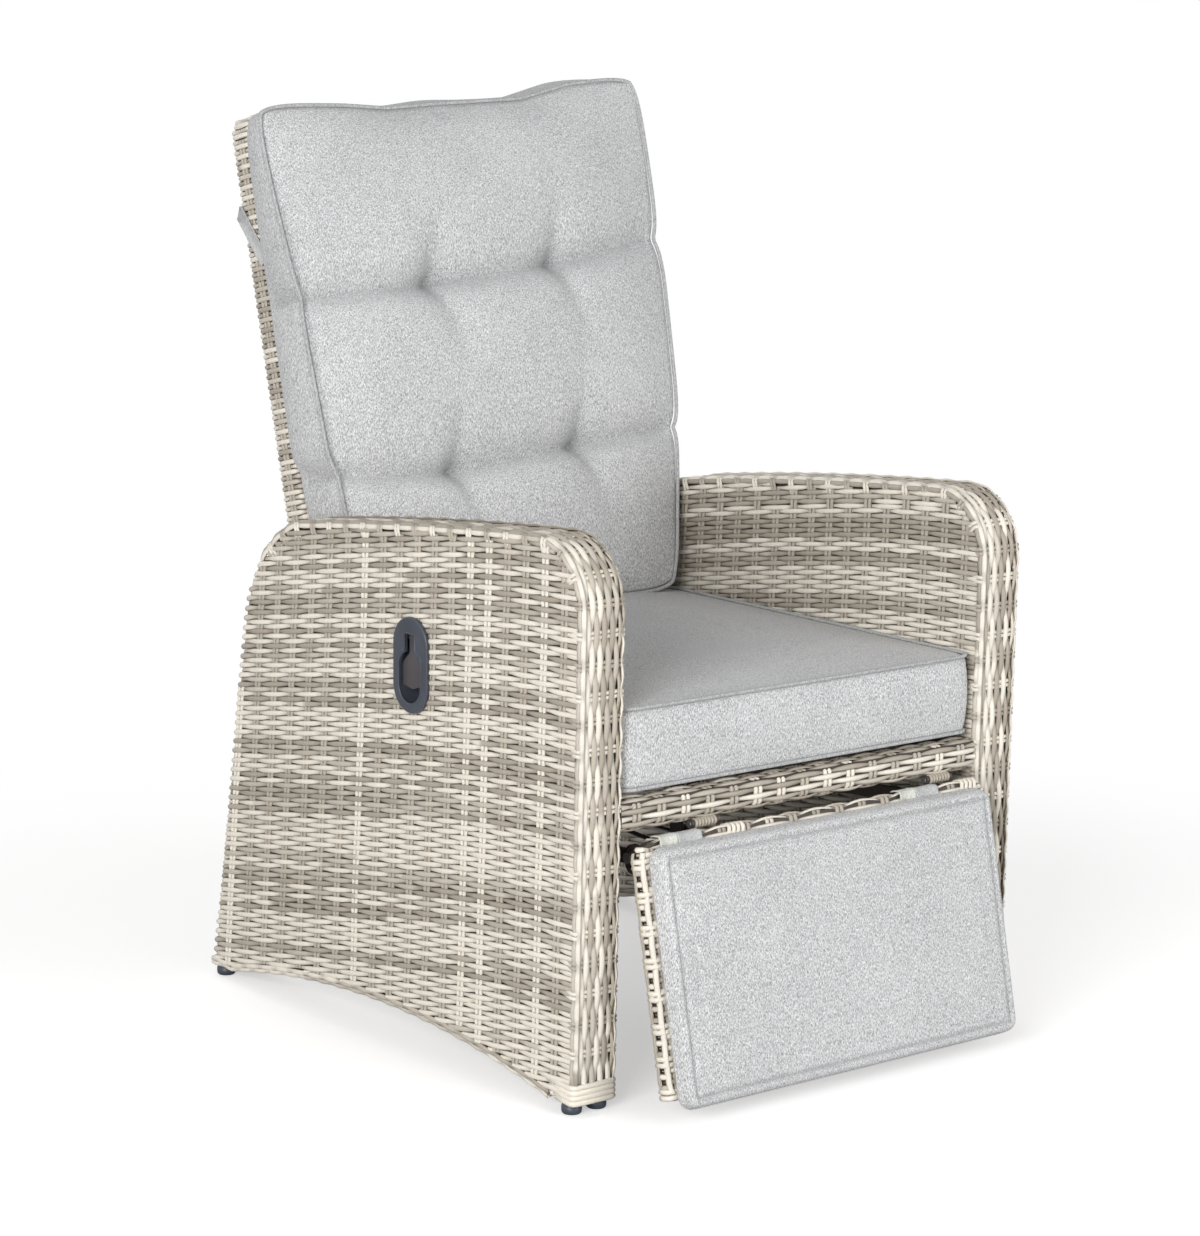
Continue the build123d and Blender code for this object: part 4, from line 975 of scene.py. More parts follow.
@dataclass
class WovenArm:
    """One side panel: rows that fall towards the rear and wrap round it, fanned stakes and an edged band."""

    side: int
    finishes: Finishes
    tree: CaneTree
    outline: ArmOutline = field(default_factory=ArmOutline)
    weave: Weave = field(default_factory=lambda: Weave(row_pitch=5.85 * MM, row_half=3.45 * MM))
    outer: float = 328 * MM
    inner: float = 267 * MM
    corner: float = 6 * MM
    edge_inset: float = 7.5 * MM
    wrap_height: float = 24 * MM
    stake_first: float = 46 * MM
    stake_pitch: float = 34.5 * MM
    rear_extra: float = 3.3 * MM
    rear_from: int = 10
    lowest_wrap: float = 0.0165
    shift_front: float = 15 * MM
    shift_rear: float = 45 * MM
    band_pitch: float = 33.5 * MM
    band_strands: int = 10
    arch_strands: int = 9
    fall_depths: tuple[float, ...] = (0, 65, 130, 195, 260, 390, 520, 760)
    # Painted light and shade: fewer taupe strands near the foot make the lower rows lighter, and more at the top make
    # the top rows darker, as light falls on the side panel.
    tone_rows: tuple[float, ...] = (0, 12, 25, 45, 58, 66, 76, 90, 100, 125)
    painted_light_biases: tuple[float, ...] = (-0.75, -0.7, -0.4, -0.3, 0.0, -0.15, -0.35, 0.0, 0.5, 0.6)
    fall_slopes: tuple[float, ...] = (0.02, 0.05, 0.09, 0.12, 0.14, 0.152, 0.168, 0.15)

    @property
    def label(self) -> str:
        """Name of the side."""
        return "left" if self.side < 0 else "right"

    @property
    def middle(self) -> float:
        """Plane midway between both faces."""
        return self.side * (self.outer + self.inner) / 2

    @property
    def hole(self) -> Hole | None:
        """Slot for the handle's cup, in the left arm's outer face."""
        return Hole(-self.outer, -31.13 * MM, 457.5 * MM, 27 * MM, 50 * MM) if self.side < 0 else None

    def rear_at(self, z: float) -> float:
        """How far back the outline reaches at a height."""
        low, high = self.outline.base + 1 * MM, self.outline.height - 1 * MM
        return ArmOutline.crossings(self.outline.polygon(), 1, min(max(z, low), high))[-1]

    def rear_height(self, level: float) -> float:
        """Height at which a row reaches the rear edge.

        Args:
            level: the row's height at the front edge.

        Returns:
            Its height at the rear edge.
        """
        z = level - 90 * MM
        for _ in range(3):
            z = float(level - self.fall(self.rear_at(z)))
        return z

    def rear_normal(self, z: float) -> np.ndarray:
        """Outward direction of the rear edge at a height.

        Args:
            z: the height.

        Returns:
            Unit direction.
        """
        step = 4 * MM
        dy = self.rear_at(z + step) - self.rear_at(z - step)
        out = np.array([0.0, 2 * step, -dy])
        return out / np.linalg.norm(out)

    def fall(self, y: np.ndarray) -> np.ndarray:
        """How far a row has come down at a place behind the front edge.

        Args:
            y: places in depth.

        Returns:
            The fall at each place.
        """
        grid = np.linspace(0, self.fall_depths[-1] * MM, 120)
        slope = np.interp(grid, np.array(self.fall_depths) * MM, self.fall_slopes)
        total = np.concatenate(([0.0], np.cumsum((slope[1:] + slope[:-1]) / 2 * np.diff(grid))))
        return np.interp(np.asarray(y) - self.outline.front, grid, total)

    def stake_at(self, number: np.ndarray, z: float) -> np.ndarray:
        """Place of a stake pair at a height: the pairs fan out towards the rear foot.

        Args:
            number: number of the pair, or several.
            z: the height.

        Returns:
            Its place in depth.
        """
        number = np.asarray(number, float)
        depth = self.stake_first + self.stake_pitch * number + self.rear_extra * np.maximum(number - self.rear_from, 0)
        shift = self.shift_front + self.shift_rear * (np.maximum(depth, 0) / 0.7) ** 2
        return self.outline.front + depth - shift * (z - self.outline.base) / 0.6

    def phase_at(self, y: float, z: float) -> float:
        """Continuous number of the stake at a point of the face."""
        numbers = np.arange(-3, 24)
        return float(np.interp(y, self.stake_at(numbers, z), numbers))

    def inside(self, polygon: np.ndarray, y: np.ndarray, z: np.ndarray) -> np.ndarray:
        """Which points lie inside a closed outline.

        Args:
            polygon: the outline.
            y: depths of the points.
            z: heights of the points.

        Returns:
            True for each point inside.
        """
        result = np.zeros(len(y), bool)
        for (ya, za), (yb, zb) in zip(polygon, np.roll(polygon, -1, axis=0)):
            crosses = (za > z) != (zb > z)
            result ^= crosses & (y < (yb - ya) * (z - za) / (zb - za + 1e-12) + ya)
        return result

    def build(self) -> None:
        """Make and place all pieces of the arm."""
        s = self.side
        low, high = (StrandSet(3.0 + s, self.tone_rows, self.painted_light_biases) for _ in range(2))
        inset = self.outline.inset(self.edge_inset)
        round_mid = self.outline.at(self.outline.rear_round)[1]
        count = int((self.outline.height - self.outline.base + 22 * MM) / self.weave.row_pitch)
        levels = [self.outline.base + (j + 0.5) * self.weave.row_pitch for j in range(count)]
        inner_shift = {}
        grid = np.arange(self.outline.front + 1 * MM, self.outline.front + self.outline.depth, 2 * MM)
        for j, level in enumerate(levels):
            rows = low if j < count // 2 else high
            heights = level - self.fall(grid)
            within = self.inside(inset, grid, heights)
            edges = np.flatnonzero(np.diff(np.concatenate(([0], within.astype(int), [0]))))
            for a, b in zip(edges[0::2], edges[1::2]):
                if b - a < 8:
                    continue
                y_a, y_b = grid[a], grid[b - 1]
                z_b = float(level - self.fall(y_b))
                if self.lowest_wrap < z_b < round_mid and y_b > self.rear_at(z_b) - 14 * MM:
                    inner_shift[j] = self.wrapping_row(rows, j, level, y_a, a < 12)
                else:
                    for x, facing, shift in ((self.outer, s, 0), (self.inner, -s, 1)):
                        self.flat_row(rows, j + shift, level, y_a, y_b, s * x, facing)
        for k in range(int(self.wrap_height / self.weave.row_pitch)):
            self.front_wrap(low, k, self.outline.base + (k + 0.5) * 6.0 * MM)
        stakes = StrandSet(13.0 + s)
        for x, facing, shifts in ((self.outer, s, None), (self.inner, -s, inner_shift)):
            self.stakes(stakes, levels, inset, s * x, facing, shifts)
        self.rear_stakes(stakes, levels, round_mid)
        band = StrandSet(23.0 + s)
        self.band(band)
        self.arch_edge(band)
        sweep = self.tree.sweep
        place_piece(sweep(low, f"arm_{self.label}_rows_low"), "base", "cane", f"arm_outer_skin_{self.label}")
        place_piece(sweep(high, f"arm_{self.label}_rows_high"), "base", "cane")
        place_piece(sweep(stakes, f"arm_{self.label}_stakes"), "base", "cane", f"arm_inner_skin_{self.label}")
        place_piece(sweep(band, f"arm_{self.label}_band", 6), "base", "cane", f"arm_edge_band_{self.label}")
        self.core()

    def face_run(
        self, level: float, y_a: float, y_b: float, x: float, shift: float, sign: float
    ) -> tuple[np.ndarray, np.ndarray]:
        """Points and weave phases of a row's stretch on one face, from y_a to y_b.

        Args:
            level: the row's height at the front edge.
            y_a: first end.
            y_b: second end.
            x: plane of the face.
            shift: phase that is added.
            sign: whether the phase grows (1) or falls (-1) with the stakes' numbers.

        Returns:
            The points and their phases.
        """
        fine = np.linspace(y_a, y_b, max(int(abs(y_b - y_a) / (2 * MM)), 3))
        heights = level - self.fall(fine)
        phases = np.array([self.phase_at(y, z) for y, z in zip(fine, heights)])
        steps = self.weave.steps
        wanted = np.arange(math.ceil(phases.min() * steps), math.floor(phases.max() * steps) + 1) / steps
        order = np.argsort(phases)
        ys = np.interp(wanted, phases[order], fine[order])
        ys = np.concatenate(([y_a], ys if y_b > y_a else ys[::-1], [y_b]))
        if self.hole is not None and x * self.side > 0.3:
            z_mid = float(level - self.fall(self.hole.y))
            half = self.hole.half_at(z_mid)
            if half > 2 * MM:
                ys = np.sort(np.concatenate((ys, [self.hole.y - half, self.hole.y + half])))
                ys = ys if y_b > y_a else ys[::-1]
        keep = np.concatenate(([True], np.abs(np.diff(ys)) > 0.8 * MM))
        ys = ys[keep]
        heights = level - self.fall(ys)
        numbers = np.array([self.phase_at(y, z) for y, z in zip(ys, heights)])
        return np.stack((np.full(len(ys), x), ys, heights), axis=1), shift + sign * numbers

    def lay(
        self,
        rows: StrandSet,
        places: np.ndarray,
        normals: np.ndarray,
        phases: np.ndarray,
        row: float,
        ends: tuple[float, float],
    ) -> None:
        """Give a row its swing in and out and add it, outside the handle's slot.

        Args:
            rows: set that gets the row.
            places: its points.
            normals: outward directions there.
            phases: weave phase at each point.
            row: its number.
            ends: length over which each end lies level, or 0.
        """
        w = self.weave
        drift = np.array([noise.noise(Vector((p[1] * 11, row * 2.3, 4.0))) for p in places])
        lift = firm(np.cos(math.pi * (phases + 0.1 * drift)))
        reach = reach_along(places)
        for length, distance in ((ends[0], reach), (ends[1], reach[-1] - reach)):
            if length > 0:
                level = np.clip(1.6 - distance / length, 0.0, 1.0)
                lift = lift * (1 - level) + 0.3 * level
        normals = unit(normals)
        wander = np.array([noise.noise(Vector((p[0] * 5, p[1] * 14, row * 3.1))) for p in places])
        places = places - normals * w.sunk
        places[:, 2] += 0.8 * MM * wander
        rows.add_outside(
            self.hole, places, normals, lift, breadth=w.row_half, swing=w.row_swing, row=row, tone=Tone.MIXED
        )

    def flat_row(self, rows: StrandSet, j: int, level: float, y_a: float, y_b: float, x: float, facing: int) -> None:
        """Row on one face that ends under the edging at both ends.

        Args:
            rows: set that gets the row.
            j: its phase number.
            level: its height at the front edge.
            y_a: front end.
            y_b: rear end.
            x: plane of the face.
            facing: which way the face looks.
        """
        places, phases = self.face_run(level, y_a, y_b, x, j, 1)
        normals = np.tile(np.array([facing, 0.0, 0.0]), (len(places), 1))
        self.lay(rows, places, normals, phases, j, (14 * MM, 10 * MM))

    def wrapping_row(self, rows: StrandSet, j: int, level: float, y_front: float, whole: bool) -> int:
        """Row that runs back on the outer face, round the rear edge and forward on the inner face.

        Args:
            rows: set that gets the row.
            j: number of the row.
            level: its height at the front edge.
            y_front: where it starts behind the front edging.
            whole: whether it starts at the front edge, and not at the bottom edge.

        Returns:
            The phase shift of its inner stretch.
        """
        s = self.side
        z = self.rear_height(level)
        normal = self.rear_normal(z)
        rear = self.rear_at(z)
        leave = rear - 10 * MM
        turn = self.corner * SLANT
        out_run, out_phase = self.face_run(level, y_front, leave, s * self.outer, j, 1)
        q = out_phase[-1] - j
        centre = math.ceil(q + 0.5)
        shift = math.ceil(centre + q + 0.5)
        in_run, in_phase = self.face_run(level, leave, y_front, s * self.inner, j + shift, -1)
        around = [
            [s * self.outer, rear - self.corner, z],
            [s * (self.outer - self.corner + turn), rear - self.corner + turn, z],
            [s * (self.outer - self.corner), rear, z],
            [s * (self.outer * 0.75 + self.inner * 0.25), rear, z],
            [self.middle, rear, z],
            [s * (self.outer * 0.25 + self.inner * 0.75), rear, z],
            [s * (self.inner + self.corner), rear, z],
            [s * (self.inner + self.corner - turn), rear - self.corner + turn, z],
            [s * self.inner, rear - self.corner, z],
        ]
        side_out, side_in = np.array([s, 0.0, 0.0]), np.array([-s, 0.0, 0.0])
        turns = [side_out, side_out + normal, normal, normal, normal, normal, normal, side_in + normal, side_in]
        places = np.concatenate((out_run, np.array(around), in_run))
        normals = np.concatenate(
            (np.tile(side_out, (len(out_run), 1)), np.array(turns), np.tile(side_in, (len(in_run), 1)))
        )
        reach = reach_along(places)
        a, b = len(out_run) - 1, len(out_run) + len(around)
        middle = len(out_run) + 4
        phases = np.concatenate((out_phase, np.zeros(len(around)), in_phase))
        spots = [reach[a], reach[middle], reach[b]]
        phases[a : b + 1] = np.interp(reach[a : b + 1], spots, [out_phase[-1], centre + j, in_phase[0]])
        ends = (14 * MM, 14 * MM) if whole else (8 * MM, 8 * MM)
        self.lay(rows, places, normals, phases, j, ends)
        return shift

    def front_wrap(self, rows: StrandSet, k: int, z: float) -> None:
        """Cream strand that binds the foot of the front edge, over everything.

        Args:
            rows: set that gets the strand.
            k: its number from below.
            z: its height.
        """
        s = self.side
        front = self.outline.front + self.outline.front_lean * 0.95
        turn = self.corner * SLANT
        back = 34 * MM + 5 * MM * k
        places = [
            [s * self.outer, front + back, z + 1 * MM],
            [s * self.outer, front + self.corner, z],
            [s * (self.outer - self.corner + turn), front + self.corner - turn, z],
            [s * (self.outer - self.corner), front, z],
            [s * (self.inner + self.corner), front, z],
            [s * (self.inner + self.corner - turn), front + self.corner - turn, z],
            [s * self.inner, front + self.corner, z],
            [s * self.inner, front + back, z + 1 * MM],
        ]
        side, slant, ahead = [s, 0, 0], [s * SLANT, -SLANT, 0], [0, -1, 0]
        far_side, far_slant = [-s, 0, 0], [-s * SLANT, -SLANT, 0]
        out = np.array([side, side, slant, ahead, ahead, far_slant, far_side, far_side], float)
        lift = np.array([-1.0, 0.9, 1, 1, 1, 1, 0.9, -1.0])
        places = np.array(places) - out * self.weave.sunk * 0.6
        rows.add(places, out, lift, 3.5 * MM, self.weave.row_swing, k, Tone.CREAM, 0.0)

    def stakes(
        self, stakes: StrandSet, levels: list[float], inset: np.ndarray, x: float, facing: int, shifts: dict | None
    ) -> None:
        """Upright stake pairs of one face, under and over the rows.

        Args:
            stakes: set that gets the pairs.
            levels: height of each row at the front edge.
            inset: outline that they stay in.
            x: plane of the face.
            facing: which way the face looks.
            shifts: phase shift of each row on this face, or None.
        """
        for k in range(-1, 20):
            places, lift = [], []
            for j, level in enumerate(levels):
                z = level
                for _ in range(3):
                    z = float(level - self.fall(self.stake_at(k, z)))
                y = float(self.stake_at(k, z)) + 1.4 * MM * noise.noise(Vector((k * 3.7, z * 9, facing * 2.0)))
                if self.inside(inset, np.array([y]), np.array([z]))[0]:
                    shift = 0 if shifts is None else shifts.get(j, 1)
                    places.append([x, y, z])
                    lift.append(turn_about(k + j + shift))
            if len(places) < 4:
                continue
            path = np.array(places)
            normals = np.tile(np.array([facing, 0.0, 0.0]), (len(path), 1))
            clear = np.ones(len(path), bool) if self.hole is None else ~self.hole.holds(path)
            tone_row = k + (0 if shifts is None else 40)
            for part in clear_runs(clear):
                self.weave.stake(
                    stakes, path[part], normals[part], np.array([0.0, 1.0, 0.0]), np.array(lift[part]), tone_row
                )

    def rear_stakes(self, stakes: StrandSet, levels: list[float], top: float) -> None:
        """Stake pair up the middle of the rear edge.

        Args:
            stakes: set that gets the pair.
            levels: height of each row at the front edge.
            top: height at which the pair ends.
        """
        path, normals, lift = [], [], []
        for j, level in enumerate(levels):
            z = self.rear_height(level)
            if self.lowest_wrap < z < top:
                rear = self.rear_at(z)
                centre = math.ceil(self.phase_at(rear - 10 * MM, z) + 0.5)
                path.append([self.middle, rear, z])
                normals.append(self.rear_normal(z))
                lift.append(turn_about(centre + j))
        self.weave.stake(stakes, np.array(path), np.array(normals), np.array([1.0, 0.0, 0.0]), np.array(lift), 77)

    def route(self, points: np.ndarray, step: float) -> tuple[np.ndarray, np.ndarray, np.ndarray, np.ndarray]:
        """Even steps along an outline: distances, points, directions along and directions out.

        Args:
            points: the outline.
            step: wanted distance between steps.

        Returns:
            Distances, points, directions along and directions out.
        """
        reach = reach_along(points)
        u = np.linspace(0, reach[-1], int(reach[-1] / step))
        yz = np.stack([np.interp(u, reach, points[:, i]) for i in range(2)], axis=1)
        along = unit(np.gradient(yz, axis=0))
        zero = np.zeros(len(u))
        flat = np.stack((zero, yz[:, 0], yz[:, 1]), axis=1)
        return u, flat, along, np.stack((zero, -along[:, 1], along[:, 0]), axis=1)

    def band(self, band: StrandSet) -> None:
        """Band along the front and top: long strands over and under crosswise pairs, with edging strands.

        Args:
            band: set that gets the strands.
        """
        s = self.side
        points = self.outline.polygon()
        round_z = self.outline.at(self.outline.rear_round)[1]
        end = max(i for i, p in enumerate(points) if p[1] > round_z and p[0] > 0.1) + 1
        route = points[: end + 1].copy()
        lowest = self.outline.base + self.wrap_height
        t = (lowest - route[0][1]) / (route[1][1] - route[0][1])
        route[0] = route[0] + (route[1] - route[0]) * t
        pitch = self.band_pitch
        u, flat, along, out = self.route(route, pitch / 5)
        strands = self.band_strands
        half_count = (strands - 1) / 2
        spread = (self.outer - self.inner - 11 * MM) / (strands - 1)
        for i in range(strands):
            across = (i - half_count) * spread
            share = across / (spread * half_count)
            normal = unit(out + np.array([0.5 * share**3, 0, 0]))
            wander = 0.7 * MM * np.array([noise.noise(Vector((q * 9, i * 3.3, s))) for q in u])
            places = flat + np.array([self.middle + across, 0, 0]) - out * (self.weave.sunk + 1.2 * MM * share**4)
            places[:, 0] += wander
            lift = firm(np.cos(math.pi * (u / pitch + i)))
            band.add(places, normal, lift, 4.1 * MM, 1.5 * MM, i * 1.7 + 50, Tone.MIXED, 0.3)
        for k in range(1, int(u[-1] / pitch) + 1):
            if k * pitch < u[-1] - 5 * MM:
                self.crossing(band, k, int(np.argmin(np.abs(u - k * pitch))), flat, along, out, spread)
        wave = -np.cos(2 * math.pi * u / pitch)
        self.edging(band, flat, out, ((4.4, 0.0, 1.9, wave, 120), (0.6, 0.9, 4.0, wave, 123)))

    def edging(self, band: StrandSet, flat: np.ndarray, out: np.ndarray, strands: tuple) -> None:
        """Wavy edging strands on both faces.

        Args:
            band: set that gets them.
            flat: points along the edge, in the plane x = 0.
            out: outward direction at each point.
            strands: for each strand the inset in mm, how far it leans out, its depth in mm, its swing and its row.
        """
        for x, facing in ((self.outer, self.side), (self.inner, -self.side)):
            for inset, tilt, low, wave, row in strands:
                normal = unit(np.array([facing, 0, 0]) + out * tilt)
                places = flat - out * (inset * MM)
                places[:, 0] = self.side * x - facing * (low * MM)
                band.add(places, normal, wave, 3.2 * MM, 0.9 * MM, row + facing, Tone.MIXED, 0.1)

    def crossing(
        self, band: StrandSet, k: int, n: int, flat: np.ndarray, along: np.ndarray, out: np.ndarray, spread: float
    ) -> None:
        """Crosswise pair: out of the side weave, over the edging and across the band, and down the other side.

        Args:
            band: set that gets the pair.
            k: its number.
            n: its step on the route.
            flat: the route's points.
            along: directions along it.
            out: directions out of it.
            spread: distance between the band's strands.
        """
        half_count = (self.band_strands - 1) / 2
        ids = np.arange(self.band_strands)
        share = (ids - half_count) / half_count
        centre = flat[n]
        up = out[n]
        top = []
        for i, h in zip(ids, share):
            across = np.array([self.middle + (i - half_count) * spread, 0, 0])
            top.append(centre + across - up * (self.weave.sunk + 1.2 * MM * h**4))
        normals = [up] * len(ids)
        lift = [turn_about(i + k) for i in ids]
        faces = sorted((self.side * self.outer, self.side * self.inner))
        for sign, x in zip((-1, 1), faces):
            face = np.array([sign, 0.0, 0.0])
            corner = (face + up) / math.sqrt(2)
            edge = np.array([x, 0, 0]) + centre * [0, 1, 1]
            ends = ((1.2, 2.2, corner, 1.2), (6.5, 1.4, face, 1.0), (15, 3.2, face, 0.0), (22, 4.6, face, -0.6))
            for down, inward, normal, rise in ends:
                at = 0 if sign < 0 else len(top)
                top.insert(at, edge - up * down * MM - face * inward * MM)
                normals.insert(at, normal)
                lift.insert(at, rise)
        direction = np.array([0.0, along[n][0], along[n][1]])
        tone = Tone.CREAM if k % 2 else Tone.TAUPE
        for step in (-1, 1):
            places = np.array(top) + direction * step * 2.6 * MM
            band.add(places, np.array(normals), np.array(lift), 2.5 * MM, 0.3 * MM, k + 90, tone, 0.0)

    def arch_edge(self, band: StrandSet) -> None:
        """Strands along the bottom edge, with edging beside them.

        Args:
            band: set that gets the strands.
        """
        points = self.outline.polygon()
        foot = int(np.argmax(points[:, 0] - points[:, 1]))
        route = points[foot:][::-1]
        u, flat, _, out = self.route(route, 7 * MM)
        out = -out
        pitch = self.band_pitch
        lower, upper = (np.cos(math.pi * (2 * u / pitch + phase)) * 0.8 for phase in (1, 0))
        self.edging(band, flat, out, ((6.6, 0.0, 1.9, lower, 150), (1.6, 0.5, 2.6, upper, 153)))
        for i in range(self.arch_strands):
            across = (i - (self.arch_strands - 1) // 2) * 6.1 * MM
            places = flat + np.array([self.middle + across, 0, 0]) - out * self.weave.sunk
            lift = np.cos(math.pi * (u / pitch + i))
            band.add(places, out, lift, 3.3 * MM, 1.2 * MM, i + 160, Tone.MIXED, 0.1)

    def core(self) -> None:
        """Painted shade: a dark sheet inside the arm that shows between the strands as shade, open at the handle's cup.
        """
        points = [tuple(p) for p in self.outline.inset(6.6 * MM)]
        loops = [points] + ([self.hole.outline()] if self.hole else [])
        mesh = bmesh.new()
        for x in (self.inner + 6 * MM, self.outer - 6 * MM):
            edges = []
            for loop in loops:
                made = [mesh.verts.new((self.side * x, y, z)) for y, z in loop]
                edges += [mesh.edges.new((made[i], made[(i + 1) % len(made)])) for i in range(len(made))]
            bmesh.ops.triangle_fill(mesh, use_beauty=True, use_dissolve=False, edges=edges)
        mesh.verts.ensure_lookup_table()
        per_side = sum(len(loop) for loop in loops)
        start = 0
        for loop in loops:
            for i in range(len(loop)):
                a, b = start + i, start + (i + 1) % len(loop)
                mesh.faces.new([mesh.verts[v] for v in (a, b, b + per_side, a + per_side)])
            start += len(loop)
        bmesh.ops.recalc_face_normals(mesh, faces=mesh.faces)
        data = bpy.data.meshes.new(f"arm_{self.label}_inside")
        mesh.to_mesh(data)
        mesh.free()
        data.materials.append(self.finishes.core)
        place_piece(linked(data.name, data), "base", "frame_tube", f"arm_frame_{self.label}")


# ---------------------------------------------------------------- woven slabs
@dataclass(frozen=True)
class Tilted:
    """A leaning frame of its own: x across, v up along the piece, w forward."""

    y: float
    z: float
    lean: float

    def place(self, x: float, v: float, w: float) -> np.ndarray:
        """Turn local places into the chair's frame."""
        a = math.radians(self.lean)
        return np.array([x, self.y + v * math.sin(a) - w * math.cos(a), self.z + v * math.cos(a) + w * math.sin(a)])

    def turn(self, x: float, v: float, w: float) -> np.ndarray:
        """Turn a local direction into the chair's frame."""
        a = math.radians(self.lean)
        return np.array([x, v * math.sin(a) - w * math.cos(a), v * math.cos(a) + w * math.sin(a)])

    def local(self, place: np.ndarray) -> tuple[float, float, float]:
        """Turn a place in the chair's frame, or rows of x, y and z, back into local ones.

        Args:
            place: the place.

        Returns:
            Its x, v and w.
        """
        a = math.radians(self.lean)
        dy, dz = place[1] - self.y, place[2] - self.z
        return place[0], dy * math.sin(a) + dz * math.cos(a), -dy * math.cos(a) + dz * math.sin(a)


BACK_FRAME = Tilted(242.87 * MM, 327 * MM, 14.04)
FOOT_FRAME = Tilted(-331.53 * MM, 309 * MM, 12.0)


